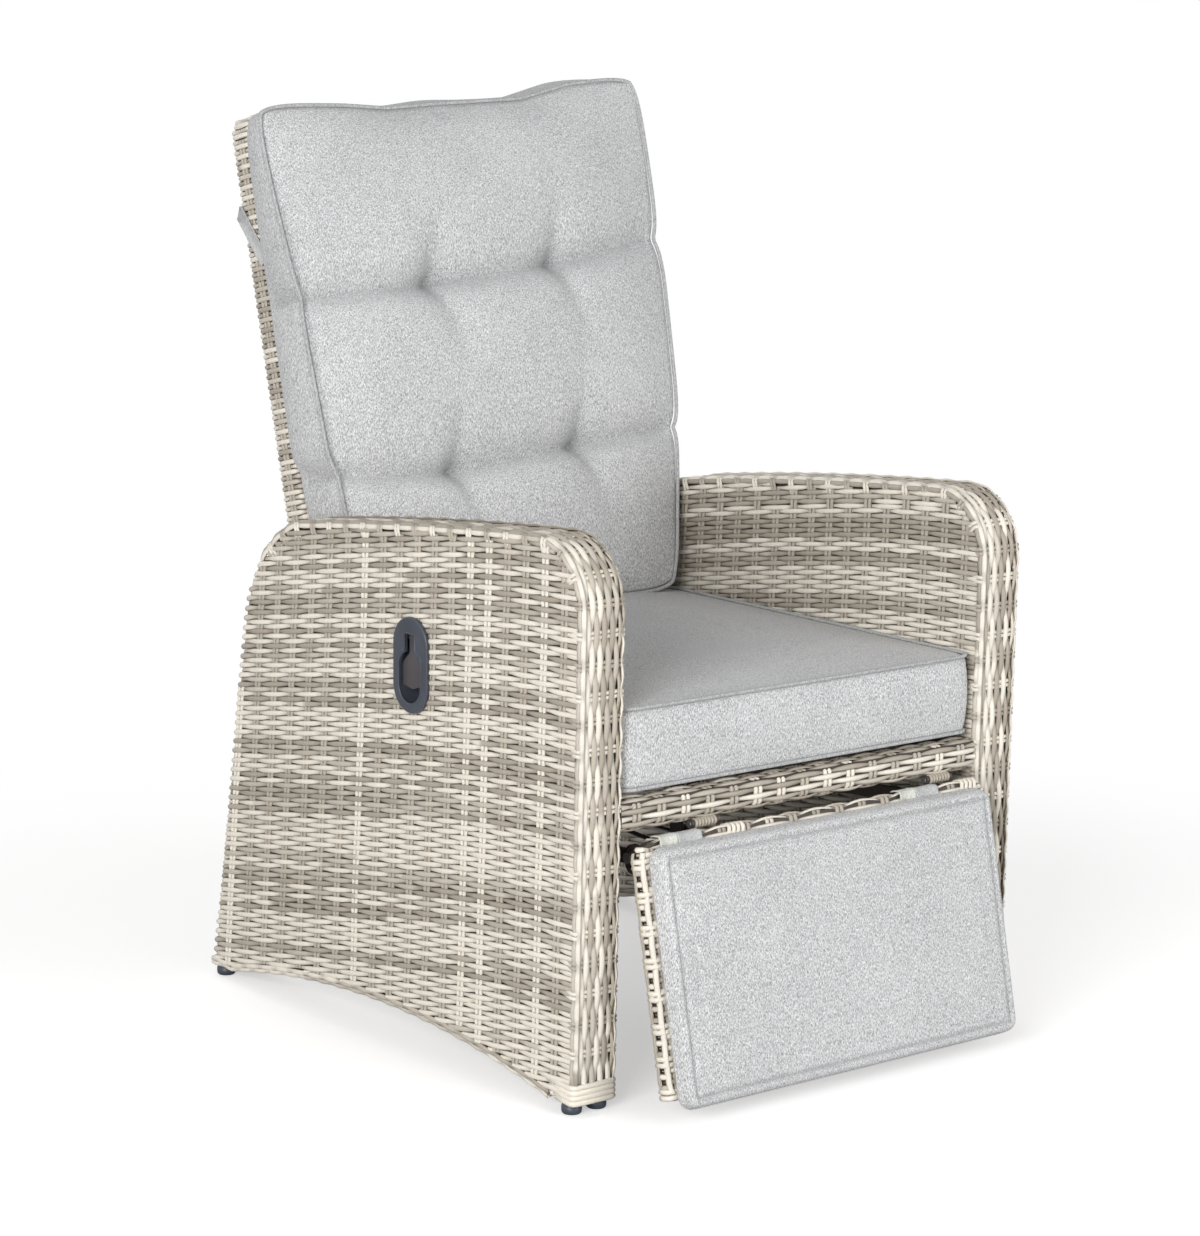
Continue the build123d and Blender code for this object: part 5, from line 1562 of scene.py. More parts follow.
@dataclass
class WovenSlab:
    """A woven panel whose rows loop round it and whose stakes cross its top edge."""

    name: str
    body: str
    finishes: Finishes
    tree: CaneTree
    frame: Tilted
    half_width: float
    rear: float
    front: float
    low: float
    high: float
    corner_round: float
    nodes: tuple[str, ...]
    seed: float
    weave: Weave = field(default_factory=Weave)
    edge_corner: float = 7 * MM
    round_foot: bool = False

    def half_at(self, v: float) -> float:
        """Half width at a height, less in the rounded corners.

        Args:
            v: the height.

        Returns:
            Half width in metres.
        """
        r = self.corner_round
        half = self.half_width
        over = v - (self.high - r)
        if over > 0:
            half = self.half_width - r + math.sqrt(max(r * r - over * over, 0.0))
        under = (self.low + r) - v
        if self.round_foot and under > 0:
            half = self.half_width - r + math.sqrt(max(r * r - under * under, 0.0))
        return half

    def loop(self, v: float, half: float) -> tuple[np.ndarray, np.ndarray]:
        """Key points and outward directions of a row round the slab, from the middle of its rear.

        Args:
            v: height of the row.
            half: half width there.

        Returns:
            The points and the directions.
        """
        c = min(self.edge_corner, (self.front - self.rear) / 2 - 0.5 * MM)
        r = SLANT
        d = c * (1 - r)
        middle = (self.rear + self.front) / 2
        side = [
            (half - c, self.rear, 0, -1),
            (half - d, self.rear + d, r, -r),
            (half, self.rear + c, 1, 0),
            (half, middle, 1, 0),
            (half, self.front - c, 1, 0),
            (half - d, self.front - d, r, r),
            (half - c, self.front, 0, 1),
        ]
        keys = [(0.0, self.rear, 0, -1)] + side + [(0.0, self.front, 0, 1)]
        keys += [(-x, w, -nx, nw) for x, w, nx, nw in reversed(side)] + [(0.0, self.rear, 0, -1)]
        path = np.array([self.frame.place(x, v, w) for x, w, _, _ in keys])
        normals = np.array([self.frame.turn(nx, 0, nw) for _, _, nx, nw in keys])
        return path, normals

    def build(self) -> None:
        """Make and place the slab's pieces."""
        w = self.weave
        rows = StrandSet(self.seed)
        stakes = StrandSet(self.seed + 10)
        count = int((self.high - self.low - 1 * MM) / w.row_pitch)
        heights = [self.low + (j + 0.5) * w.row_pitch for j in range(count)]
        last = int((self.half_width - 12 * MM) / w.stake_pitch)
        for j, v in enumerate(heights):
            half = self.half_at(v)
            path, normals = self.loop(v, half)
            reach = reach_along(path)
            inner = min(last * w.stake_pitch, half - 12 * MM)
            turn = inner / w.stake_pitch
            top = 2 * last + 2
            knots = [
                (0.0, 0.0),
                (inner, turn),
                (reach[4], last + 1),
                (reach[8] - inner, top - turn),
                (reach[8] + inner, top + turn),
            ]
            knots += [(reach[12], top + last + 1), (reach[-1] - inner, 2 * top - turn), (reach[-1], 2 * top)]
            knots = [(a, b + j) for a, b in knots]
            w.run(rows, path, normals, knots, j)
        self.top_rows(rows, count)
        self.stakes(stakes, heights, last)
        self.finish_edges(rows)
        place_piece(self.tree.sweep(rows, f"{self.name}_rows"), self.body, "cane", *self.nodes)
        place_piece(self.tree.sweep(stakes, f"{self.name}_stakes"), self.body, "cane")
        self.core()

    def top_rows(self, rows: StrandSet, count: int) -> None:
        """Strands along the top and bottom edges.

        Args:
            rows: set that gets the strands.
            count: number of rows below them.
        """
        w = self.weave
        depth = self.front - self.rear
        number = max(2, round(depth / w.row_pitch) - 1)
        half = self.half_width - self.corner_round
        for i, (level, up) in [(i, end) for end in ((self.high, 1), (self.low, -1)) for i in range(number)]:
            forward = self.rear + depth * (i + 1) / (number + 1)
            path = np.array([self.frame.place(x, level, forward) for x in (-half, half)])
            normals = np.array([self.frame.turn(0, up, 0)] * 2)
            phase = half / w.stake_pitch
            w.run(rows, path, normals, [(0.0, count + i - phase), (2 * half, count + i + phase)], count + i)

    def stakes(self, stakes: StrandSet, heights: list[float], last: int) -> None:
        """Stake pairs up the rear, over the top edge and down the front.

        Args:
            stakes: set that gets the pairs.
            heights: height of each row.
            last: number of the outermost pair.
        """
        w = self.weave
        depth = self.front - self.rear
        number = max(2, round(depth / w.row_pitch) - 1)
        count = len(heights)
        for k in range(-last, last + 1):
            x = k * w.stake_pitch
            fits = [j for j, v in enumerate(heights) if self.half_at(v) > abs(x) + 6 * MM]
            up = [(heights[j], self.rear, 0, -1, turn_about(k + j)) for j in fits]
            down = [(heights[j], self.front, 0, 1, turn_about(k + j)) for j in reversed(fits)]
            over = [(self.high - 1.5 * MM, self.rear + 1.5 * MM, SLANT, -SLANT, 0.0)]
            for i in range(number):
                forward = self.rear + depth * (i + 1) / (number + 1)
                over.append((self.high, forward, 1, 0, turn_about(k + count + i)))
            over.append((self.high - 1.5 * MM, self.front - 1.5 * MM, SLANT, SLANT, 0.0))
            whole = abs(x) < self.half_width - self.corner_round
            for chain in [up + over + down] if whole else [up, down]:
                path = np.array([self.frame.place(x, v, at) for v, at, _, _, _ in chain])
                normals = np.array([self.frame.turn(0, nv, nw) for _, _, nv, nw, _ in chain])
                lift = np.array([key[4] for key in chain])
                w.stake(stakes, path, normals, np.array([1.0, 0.0, 0.0]), lift, k + 60 + self.seed)
        middle = (self.rear + self.front) / 2
        if depth > 30 * MM:
            for s in (-1, 1):
                inside = [(j, v) for j, v in enumerate(heights) if v < self.high - self.corner_round]
                path = np.array([self.frame.place(s * self.half_width, v, middle) for _, v in inside])
                normals = np.array([self.frame.turn(s, 0, 0)] * len(inside))
                lift = np.array([turn_about(last + 1 + j) for j, _ in inside])
                w.stake(stakes, path, normals, self.frame.turn(0, 0, 1), lift, 91 + s)

    def finish_edges(self, rows: StrandSet) -> None:
        """Extra strands on the edges; a plain slab has none."""

    def core(self) -> None:
        """Painted shade: a dark sheet inside the slab that shows between the strands as shade."""
        gap = 6.2 * MM if self.front - self.rear > 30 * MM else 5.0 * MM
        levels = np.linspace(self.low + gap, self.high - gap, 24)
        verts = []
        for v in levels:
            near_end = max(v + 4 * gap - self.high, self.low + 4 * gap - v, 0.0)
            half = self.half_at(min(v + gap, self.high - 0.1 * MM)) - gap - 0.8 * near_end
            corners = ((-half, self.rear), (half, self.rear), (half, self.front), (-half, self.front))
            for x, w in corners:
                verts.append(self.frame.place(x, v, w + gap if w == self.rear else w - gap))
        faces = tube_faces(len(levels), 4, False)
        faces += [(3, 2, 1, 0), tuple(4 * (len(levels) - 1) + k for k in range(4))]
        piece = mesh_object(f"{self.name}_inside", verts, faces, self.finishes.core, False)
        recalculate(piece)
        place_piece(piece, self.body, "frame_tube")


@dataclass
class FootrestSlab(WovenSlab):
    """The footrest's panel: two wavy edging strands on each side and cream knobs on its top rail."""

    knob_places: tuple[float, ...] = (-0.121, 0.236)

    def finish_edges(self, rows: StrandSet) -> None:
        """Edging strands up both sides, rungs that cross them, and the wrapped knobs.

        Args:
            rows: set that gets the strands.
        """
        edges = ((self.rear + 3 * MM, 1.0, -0.3, 0.0), (self.front - 0.5 * MM, 0.6, 0.8, 3.0 * MM))
        for s in (-1, 1):
            for w_at, nx, nw, inset in edges:
                length = self.high - self.low - 2 * self.corner_round * 0.4
                u = np.arange(0, length, 6 * MM)
                v = self.low + self.corner_round * 0.4 + u
                wave = 0.9 * MM * np.sin(2 * math.pi * u / (41 * MM) + (0 if nw < 0 else 2.2))
                places = []
                for a, b in zip(v, wave):
                    places.append(self.frame.place(s * (self.half_at(a) - inset + b), a, w_at + 0.6 * b))
                normal = self.frame.turn(s * nx, 0, nw)
                out = np.array([normal / np.linalg.norm(normal)] * len(u))
                tone = Tone.TAUPE if nw < 0 else Tone.CREAM
                rows.add(np.array(places) - out * 1.4 * MM, out, np.zeros(len(u)), 3.5 * MM, 0.0, 210 + s, tone, 0.0)
            for k in range(8):
                v0 = self.high - 26 * MM - k * 36 * MM
                for step in (-3.4 * MM, 3.4 * MM):
                    keys = (
                        (self.half_width - 22 * MM, self.front, 0.0, 1.0, -0.5),
                        (self.half_width - 8 * MM, self.front, 0.2, 1.0, 0.8),
                        (self.half_width - 1 * MM, self.front - 1 * MM, SLANT, SLANT, 1.6),
                        (self.half_width, (self.front + self.rear) / 2, 1.0, 0.0, 1.4),
                        (self.half_width - 1 * MM, self.rear + 1 * MM, SLANT, -SLANT, 1.2),
                        (self.half_width - 14 * MM, self.rear, 0.0, -1.0, -0.5),
                    )
                    places = np.array([self.frame.place(s * x, v0 + step, w) for x, w, _, _, _ in keys])
                    out = unit(np.array([self.frame.turn(s * nx, 0, nw) for _, _, nx, nw, _ in keys]))
                    lift = np.array([key[4] for key in keys])
                    rows.add(places - out * 2.6 * MM, out, lift, 3.2 * MM, 1.7 * MM, k + 230, Tone.CREAM, 0.0)
        for x0 in self.knob_places:
            for i in range(4):
                x = x0 + (i - 1.5) * 5.6 * MM
                lean = 0.25 * (i - 1.5) * MM
                keys = (
                    (self.high - 24 * MM, self.rear, 0.0, -1.0),
                    (self.high - 3 * MM, self.rear, 0.3, -0.95),
                    (self.high, self.rear + 3 * MM, 0.95, -0.3),
                    (self.high, self.front - 3 * MM, 0.95, 0.3),
                    (self.high - 3 * MM, self.front, 0.3, 0.95),
                    (self.high - 16 * MM, self.front, 0.0, 1.0),
                )
                places = np.array([self.frame.place(x + lean * n, v, w) for n, (v, w, _, _) in enumerate(keys)])
                out = unit(np.array([self.frame.turn(0, nv, nw) for _, _, nv, nw in keys]))
                lift = np.array([-0.5, 1.0, 1.3, 1.3, 1.0, -0.4])
                rows.add(places - out * 2.6 * MM, out, lift, 3.0 * MM, 1.7 * MM, i + 260, Tone.CREAM, 0.0)


@dataclass
class Apron:
    """Woven sleeve round the seat's front rail, with the two wrapped hinge sleeves below it."""

    finishes: Finishes
    tree: CaneTree
    front: float = -335.14 * MM
    depth: float = 34 * MM
    top: float = 348.5 * MM
    height: float = 37 * MM
    round: float = 12 * MM
    reach: float = 266.7 * MM
    weave: Weave = field(default_factory=Weave)

    def section(self, share: float) -> tuple[float, float, float, float]:
        """Place and outward direction on the rounded section, at a share of the way round it.

        Args:
            share: share of the way round.

        Returns:
            The y and z of the place, then of the direction.
        """
        r = self.round
        flat_y, flat_z = self.depth - 2 * r, self.height - 2 * r
        parts = [flat_z, math.pi * r / 2, flat_y, math.pi * r / 2, flat_z, math.pi * r / 2, flat_y, math.pi * r / 2]
        d = (share % 1.0) * sum(parts)
        y0, y1 = self.front + r, self.front + self.depth - r
        z0, z1 = self.top - self.height + r, self.top - r
        lines = [
            ((y0 - r, z0), (0, 1), (-1, 0)),
            ((y0, z1 + r), (1, 0), (0, 1)),
            ((y1 + r, z1), (0, -1), (1, 0)),
            ((y1, z0 - r), (-1, 0), (0, -1)),
        ]
        corners = [((y0, z1), math.pi), ((y1, z1), math.pi / 2), ((y1, z0), 0.0), ((y0, z0), -math.pi / 2)]
        for i, length in enumerate(parts):
            if d <= length or i == 7:
                if i % 2 == 0:
                    (y, z), (dy, dz), (ny, nz) = lines[i // 2]
                    return y + dy * d, z + dz * d, ny, nz
                (y, z), first = corners[i // 2]
                a = first - d / r
                return y + r * math.cos(a), z + r * math.sin(a), math.cos(a), math.sin(a)
            d -= length
        return self.front, self.top, -1.0, 0.0

    def build(self) -> None:
        """Make and place the apron and the sleeves."""
        w = self.weave
        strands = StrandSet(41.0, (300, 345), (0.35, 0.35))
        number = 16
        pitch = w.stake_pitch
        for i in range(number):
            y, z, ny, nz = self.section((i + 0.5) / number)
            path = np.array([[-self.reach, y, z], [self.reach, y, z]])
            normals = np.array([[0, ny, nz]] * 2)
            phase = self.reach / pitch
            w.run(strands, path, normals, [(0.0, i - phase), (2 * self.reach, i + phase)], i * 1.9 + 307)
        last = int((self.reach - 6 * MM) / pitch)
        for k in range(-last, last + 1):
            ring = [self.section((i + 0.5) / number) for i in range(number + 1)]
            path = np.array([[k * pitch, y, z] for y, z, _, _ in ring])
            normals = np.array([[0, ny, nz] for _, _, ny, nz in ring])
            lift = np.array([turn_about(i + k) for i in range(number + 1)])
            w.stake(strands, path, normals, np.array([1.0, 0.0, 0.0]), lift, k + 320)
        place_piece(self.tree.sweep(strands, "apron_cane"), "base", "cane", "apron_wicker")
        # Painted shade: a dark sleeve inside the woven apron that shows between the strands as shade.
        inside, around, inset = [], 32, 5.6 * MM
        for x in (-self.reach, self.reach):
            for i in range(around):
                y, z, ny, nz = self.section(i / around)
                inside.append((x, y - ny * inset, z - nz * inset))
        core = mesh_object("apron_inside", inside, tube_faces(2, around), self.finishes.core, False)
        recalculate(core)
        place_piece(core, "base", "frame_tube")
        self.sleeves()

    def sleeves(self) -> None:
        """Taupe cane wound tightly round the two hinge barrels."""
        wound = StrandSet(47.0)
        turns, points = 7, 17
        angles = np.linspace(0, 2 * math.pi, points)
        out = np.stack((np.zeros(points), np.sin(angles), np.cos(angles)), axis=1)
        for x in (-0.150, 0.207):
            for i in range(turns):
                at = x + (i - turns // 2) * 4.5 * MM
                places = np.array([at, FOOT_FRAME.y, FOOT_FRAME.z]) + out * 4.7 * MM
                places[:, 0] += np.linspace(0, 2.0 * MM, points)
                wound.add(places, out, np.full(points, 0.3), 2.3 * MM, 0.0, i + 400 + x, Tone.TAUPE, 0.0)
        place_piece(self.tree.sweep(wound, "hinge_sleeves", 4, 0.55), "base", "cane", "hinge_barrel_wraps")


# ---------------------------------------------------------------- cushions
@dataclass
class Padding:
    """Turns a plain closed form into a stuffed cushion by a short cloth simulation."""

    voxel: float = 6 * MM
    pressure: float = 4.0
    cap: float = 22 * MM
    frames: int = 20

    def inflate(self, piece: bpy.types.Object, hold: Callable[[np.ndarray], float]) -> dict[str, np.ndarray]:
        """Remesh, simulate and apply.

        Args:
            piece: the closed form, at the origin.
            hold: gives the pin weight at a place, for tufts, seams and the side that rests.

        Returns:
            The rest places and moved places, for seams and piping to follow.
        """
        if self.voxel:
            remesh = piece.modifiers.new("voxels", "REMESH")
            remesh.mode = "VOXEL"
            remesh.voxel_size = self.voxel
            remesh.use_smooth_shade = True
            self.apply(piece)
        rest = np.array([v.co for v in piece.data.vertices])
        group = piece.vertex_groups.new(name="held")
        for i, co in enumerate(rest):
            weight = hold(co)
            if weight > 0:
                group.add([i], weight, "REPLACE")
        cloth = piece.modifiers.new("stuffing", "CLOTH")
        settings = cloth.settings
        settings.use_pressure = True
        settings.uniform_pressure_force = self.pressure
        settings.effector_weights.gravity = 0.0
        settings.quality = 4
        settings.mass = 0.3
        settings.tension_stiffness = 18
        settings.compression_stiffness = 14
        settings.bending_stiffness = 0.4
        settings.vertex_group_mass = "held"
        settings.pin_stiffness = 1.0
        cloth.collision_settings.use_collision = False
        cloth.point_cache.frame_start = 1
        cloth.point_cache.frame_end = self.frames
        scene = bpy.context.scene
        for frame in range(1, self.frames + 1):
            scene.frame_set(frame)
        graph = bpy.context.evaluated_depsgraph_get()
        done = piece.evaluated_get(graph)
        moved = np.array([v.co for v in done.data.vertices])
        piece.modifiers.remove(cloth)
        scene.frame_set(1)
        step = moved - rest
        length = np.linalg.norm(step, axis=1)
        scale = np.where(length > self.cap, self.cap / np.maximum(length, 1e-9), 1.0)
        moved = rest + step * scale[:, None]
        piece.data.vertices.foreach_set("co", moved.astype(np.float32).ravel())
        piece.vertex_groups.clear()
        return {"rest": rest, "moved": moved}

    @staticmethod
    def apply(piece: bpy.types.Object) -> None:
        """Replace the piece's mesh by what its modifiers make of it.

        Args:
            piece: the piece.
        """
        graph = bpy.context.evaluated_depsgraph_get()
        mesh = bpy.data.meshes.new_from_object(piece.evaluated_get(graph))
        mesh.name = piece.data.name
        piece.modifiers.clear()
        piece.data = mesh

    @staticmethod
    def mark(piece: bpy.types.Object, crease_shade_at: Callable[[Vector], float]) -> None:
        """Write how deep in a crease each vertex lies, as the amount of painted shade for the cloth's finish to read.
        """
        depth = piece.data.attributes.new("crease", "FLOAT", "POINT")
        depth.data.foreach_set("value", [crease_shade_at(vertex.co) for vertex in piece.data.vertices])

    @staticmethod
    def smooth(piece: bpy.types.Object, factor: float = 0.5, repeat: int = 2) -> None:
        """Even the surface out and add one subdivision.

        Args:
            piece: the cushion.
            factor: strength of the smoothing.
            repeat: how often it is done.
        """
        if repeat:
            soften = piece.modifiers.new("soften", "SMOOTH")
            soften.factor = factor
            soften.iterations = repeat
        sub = piece.modifiers.new("finer", "SUBSURF")
        sub.levels = 1
        sub.render_levels = 1
        Padding.apply(piece)
        piece.data.polygons.foreach_set("use_smooth", [True] * len(piece.data.polygons))


class Follower:
    """Carries seam and piping points along with a simulated cushion."""

    def __init__(self, motion: dict) -> None:
        """Index the cushion's rest places.

        Args:
            motion: rest places and moved places.
        """
        self.motion = motion
        self.tree = kdtree.KDTree(len(motion["rest"]))
        for i, co in enumerate(motion["rest"]):
            self.tree.insert(co, i)
        self.tree.balance()

    def follow(self, points: np.ndarray, near: int = 6) -> np.ndarray:
        """Move points by the mean motion of the vertices near them.

        Args:
            points: points on the resting cushion.
            near: number of vertices that carry each.

        Returns:
            The moved points.
        """
        out = []
        for p in points:
            found = self.tree.find_n(Vector(p), near)
            ids = [f[1] for f in found]
            weight = np.array([1.0 / (f[2] + 0.002) for f in found])
            shift = (self.motion["moved"][ids] - self.motion["rest"][ids]) * weight[:, None]
            out.append(np.array(p) + shift.sum(axis=0) / weight.sum())
        return np.array(out)


class PipingTree:
    """Geometry nodes that sweep a closed or open line into a round cord of cloth."""

    def __init__(self) -> None:
        """Build the tree once."""
        tree, self.ids = geometry_tree("cloth_cord", {"Radius": "Float", "Cloth": "Material"})
        self.tree = tree
        given = add_node(tree, "NodeGroupInput").outputs
        curve = add_node(tree, "GeometryNodeMeshToCurve", {"Mesh": given["Geometry"]})
        circle = add_node(tree, "GeometryNodeCurvePrimitiveCircle", {"Resolution": 8, "Radius": given["Radius"]})
        swept = add_node(
            tree,
            "GeometryNodeCurveToMesh",
            {"Curve": curve.outputs[0], "Profile Curve": circle.outputs[0], "Fill Caps": True},
        )
        smooth = add_node(tree, "GeometryNodeSetShadeSmooth", {0: swept.outputs[0]})
        end_tree(tree, smooth.outputs[0], given["Cloth"])

    def sweep(
        self, lines: list[tuple[np.ndarray, bool]], name: str, radius: float, material: bpy.types.Material
    ) -> bpy.types.Object:
        """Turn lines, each with whether it is closed, into one piece of round cord.

        Args:
            lines: points of each line, and whether it is closed.
            name: piece name.
            radius: radius of the cord.
            material: its cloth.

        Returns:
            The cord.
        """
        verts, edges = [], []
        for points, closed in lines:
            start = len(verts)
            verts += [tuple(p) for p in points]
            edges += [(start + i, start + i + 1) for i in range(len(points) - 1)]
            if closed:
                edges.append((start + len(points) - 1, start))
        mesh = bpy.data.meshes.new(name)
        mesh.from_pydata(verts, edges, [])
        values = dict(zip(self.ids.values(), (radius, material)))
        return made_by(self.tree, linked(name + "_guide", mesh), name, values, False)


def rounded_loop(
    half_x: float, low: float, high: float, radius: float, per_side: int = 24
) -> list[tuple[float, float]]:
    """Points of a rounded rectangle in two local directions, anticlockwise.

    Args:
        half_x: half size across.
        low: lower end.
        high: upper end.
        radius: radius of the corners.
        per_side: steps along each side.

    Returns:
        The points.
    """
    points = []
    corners = (
        (half_x - radius, high - radius, 0),
        (-half_x + radius, high - radius, 90),
        (-half_x + radius, low + radius, 180),
        (half_x - radius, low + radius, 270),
    )
    for n, (cx, cy, first) in enumerate(corners):
        for i in range(7):
            a = math.radians(first + 90 * i / 6)
            points.append((cx + radius * math.cos(a), cy + radius * math.sin(a)))
        nx, ny, _ = corners[(n + 1) % 4]
        a = math.radians(first + 90)
        here = (cx + radius * math.cos(a), cy + radius * math.sin(a))
        there = (nx + radius * math.cos(a), ny + radius * math.sin(a))
        for i in range(1, per_side):
            t = i / per_side
            points.append((here[0] + (there[0] - here[0]) * t, here[1] + (there[1] - here[1]) * t))
    return points


@dataclass
class BoxCushion:
    """A boxed cushion: two crowned panels and a border that is drawn in between its seams."""

    name: str
    frame: Tilted
    half: float
    low: float
    high: float
    rear: float
    front: float
    crown: float
    draw_in: float
    rings: int = 9

    def form(self, material: bpy.types.Material) -> bpy.types.Object:
        """Closed starting form, from rounded loops that shrink towards both panels' middles.

        Args:
            material: its cloth.

        Returns:
            The closed form.
        """
        loop = rounded_loop(1.0, -1.0, 1.0, 0.08)
        verts = []
        thickness = self.front - self.rear
        middle_v = (self.low + self.high) / 2
        tall = (self.high - self.low) / 2
        stations = []
        for i in range(self.rings):
            t = i / (self.rings - 1)
            stations.append((0.0, self.draw_in * math.sin(math.pi * t), self.rear + thickness * t))
        for t in np.linspace(0.06, 0.94, 16):
            stations.append((t, 0.0, self.front + self.crown * (1 - (1 - t) ** 2.2)))
        back = [(t, 0.0, self.rear) for t in np.linspace(0.94, 0.06, 16)]
        for shrink, pull, w in back + stations:
            size_x = (self.half - pull) * (1 - shrink)
            size_v = (tall - pull) * (1 - shrink)
            for x, v in loop:
                verts.append(self.frame.place(x * size_x, middle_v + v * size_v, w))
        piece = mesh_object(self.name, verts, tube_faces(len(back) + len(stations), len(loop)), material)
        recalculate(piece)
        return piece

    def border(self, w: float) -> np.ndarray:
        """Points of a seam round the cushion at one depth.

        Args:
            w: the depth.

        Returns:
            The points.
        """
        loop = rounded_loop(1.0, -1.0, 1.0, 0.08)
        middle_v = (self.low + self.high) / 2
        tall = (self.high - self.low) / 2
        return np.array([self.frame.place(x * self.half, middle_v + v * tall, w) for x, v in loop])


@dataclass
class BackCushion:
    """Tufted back cushion: nine swells between creases that run from tuft to tuft, piped face, boxed sides."""

    finishes: Finishes
    piping: PipingTree
    frame: Tilted = BACK_FRAME
    low: float = 109 * MM
    rear_low: float = 127 * MM
    high: float = 740 * MM
    rear: float = 21.6 * MM
    edge: float = 106 * MM
    crown: float = 30 * MM
    tufts: tuple[tuple[float, float], ...] = ((-0.086, 0.512), (0.105, 0.527), (-0.090, 0.284), (0.100, 0.299))
    crease_rises: tuple[tuple[float, float], ...] = ((0.010, 0.012), (0.024, 0.0))
    crease_depth: float = 0.021
    crease_above: float = 0.026
    crease_below: float = 0.012
    tuft_deeper: float = 0.013
    side_shallower: float = 0.006
    fold_depth: float = 0.015
    dimple_depth: float = 0.006
    rear_half: float = 266 * MM
    width_places: tuple[float, ...] = (0.128, 0.20, 0.27, 0.32, 0.50, 0.74)
    half_widths: tuple[float, ...] = (0.243, 0.249, 0.258, 0.269, 0.278, 0.294)
    top_places: tuple[float, ...] = (-0.29, -0.155, -0.095, -0.035, 0.10, 0.175, 0.29)
    top_rises: tuple[float, ...] = (0.001, -0.003, -0.007, -0.004, 0.0, 0.015, 0.025)
    folds: tuple[tuple[float, ...], ...] = (
        (-0.035, 0.735, 0.004, 0.690, 0.004, 0.006),
        (0.125, 0.735, 0.135, 0.715, 0.003, 0.005),
        (-0.272, 0.548, -0.235, 0.538, 0.004, 0.005),
        (0.270, 0.300, 0.225, 0.292, 0.004, 0.006),
        (-0.255, 0.300, -0.205, 0.288, 0.004, 0.007),
    )

    def crease(self, row: int, x: float) -> float:
        """Height of the upper (0) or lower (1) crease at a place across.

        Args:
            row: 0 for the upper crease, 1 for the lower.
            x: place across.

        Returns:
            Height of the crease.
        """
        (xa, va), (xb, vb) = self.tufts[2 * row], self.tufts[2 * row + 1]
        v = va + (vb - va) * (x - xa) / (xb - xa)
        rise = self.crease_rises[row][int(x > 0)]
        return v + rise * (max(abs(x) - 0.10, 0.0) / 0.17) ** 1.3

    def pinch(self, x: float, v: float, width: float) -> float:
        """How close a place is to a crease, from 0 to 1."""
        return max(math.exp(-abs(v - self.crease(row, x)) / width) for row in (0, 1))

    def half_at(self, v: float, x: float) -> float:
        """Half width at a height: drawn in by the creases, narrower between the arms."""
        side = math.copysign(0.26, x)
        return float(np.interp(v, self.width_places, self.half_widths)) - 0.0065 * self.pinch(side, v, 0.016)

    def edge_at(self, v: float) -> float:
        """How far forward the seam round the face stands: the cushion thins towards its foot and top."""
        return self.edge - 0.010 * max(0.27 - v, 0.0) / 0.14 - 0.017 * max(v - 0.5, 0.0) / 0.24

    def rear_v(self, v: float, share: float) -> float:
        """Height on the rear face that belongs to a height on the front face: the foot is cut level with the seat."""
        top = self.top_at(share)
        return self.rear_low + (v - self.low) * (top - self.rear_low) / (top - self.low)

    def top_at(self, share: float) -> float:
        """Height of the face's top seam at a share across."""
        return self.high + float(np.interp(share * 0.28, self.top_places, self.top_rises))

    def surface(self, x: float, v: float, a: float, b: float) -> float:
        """How far forward the face stands.

        Args:
            x: place across.
            v: place up the back.
            a: share of the half width, from -1 to 1.
            b: share of the height, from -1 to 1.

        Returns:
            Distance in front of the panel's middle.
        """
        dome = (1 - abs(a) ** 3.2) * (1 - abs(b) ** 5)
        w = self.edge_at(v) + self.crown * dome
        for row in (0, 1):
            d = v - self.crease(row, x)
            near = min(abs(x - t[0]) for t in self.tufts[2 * row : 2 * row + 2])
            at_tuft = self.tuft_deeper * math.exp(-((near / 0.034) ** 1.2))
            depth = self.crease_depth + at_tuft - self.side_shallower * max(abs(a) - 0.8, 0) / 0.2
            w -= depth * math.exp(-abs(d) / (self.crease_above if d > 0 else self.crease_below))
        for tx, tv in self.tufts:
            dv = v - tv
            bend = tx + (0.10 * dv if dv > 0 else -0.28 * dv * (1 + 2 * dv))
            w -= self.fold_depth * math.exp(-((abs(dv) / 0.072) ** 1.5)) * math.exp(-abs(x - bend) / 0.018)
            w -= self.dimple_depth * math.exp(-((math.hypot(x - tx, dv) / 0.013) ** 2))
        for xa, va, xb, vb, depth, width in self.folds:
            t = ((x - xa) * (xb - xa) + (v - va) * (vb - va)) / ((xb - xa) ** 2 + (vb - va) ** 2)
            t = min(max(t, 0.0), 1.0)
            away = math.hypot(x - xa - (xb - xa) * t, v - va - (vb - va) * t)
            w -= depth * (1 - t) * math.exp(-((away / width) ** 2))
        return w

    def build(self) -> None:
        """Make, stuff and dress the cushion."""
        n_u, n_v, n_w = 84, 100, 9
        verts, faces = [], []
        index = {}

        def spot(i: int, k: int) -> tuple[float, float, float, float]:
            """Place across and up, with the shares, of a grid point of the face.

            Args:
                i: step across.
                k: step up.

            Returns:
                Place across, place up and both shares.
            """
            a, b = i / n_u * 2 - 1, k / n_v * 2 - 1
            v = self.low + (self.top_at(a) - self.low) * k / n_v
            drop = 11 * MM * abs(a) ** 10 * abs(b) ** 10
            return a * (self.half_at(v, a) - drop), v - math.copysign(drop, b), a, b

        def add(key: tuple, x: float, v: float, w: float) -> None:
            """Add a vertex under its key."""
            index[key] = len(verts)
            verts.append(self.frame.place(x, v, w))

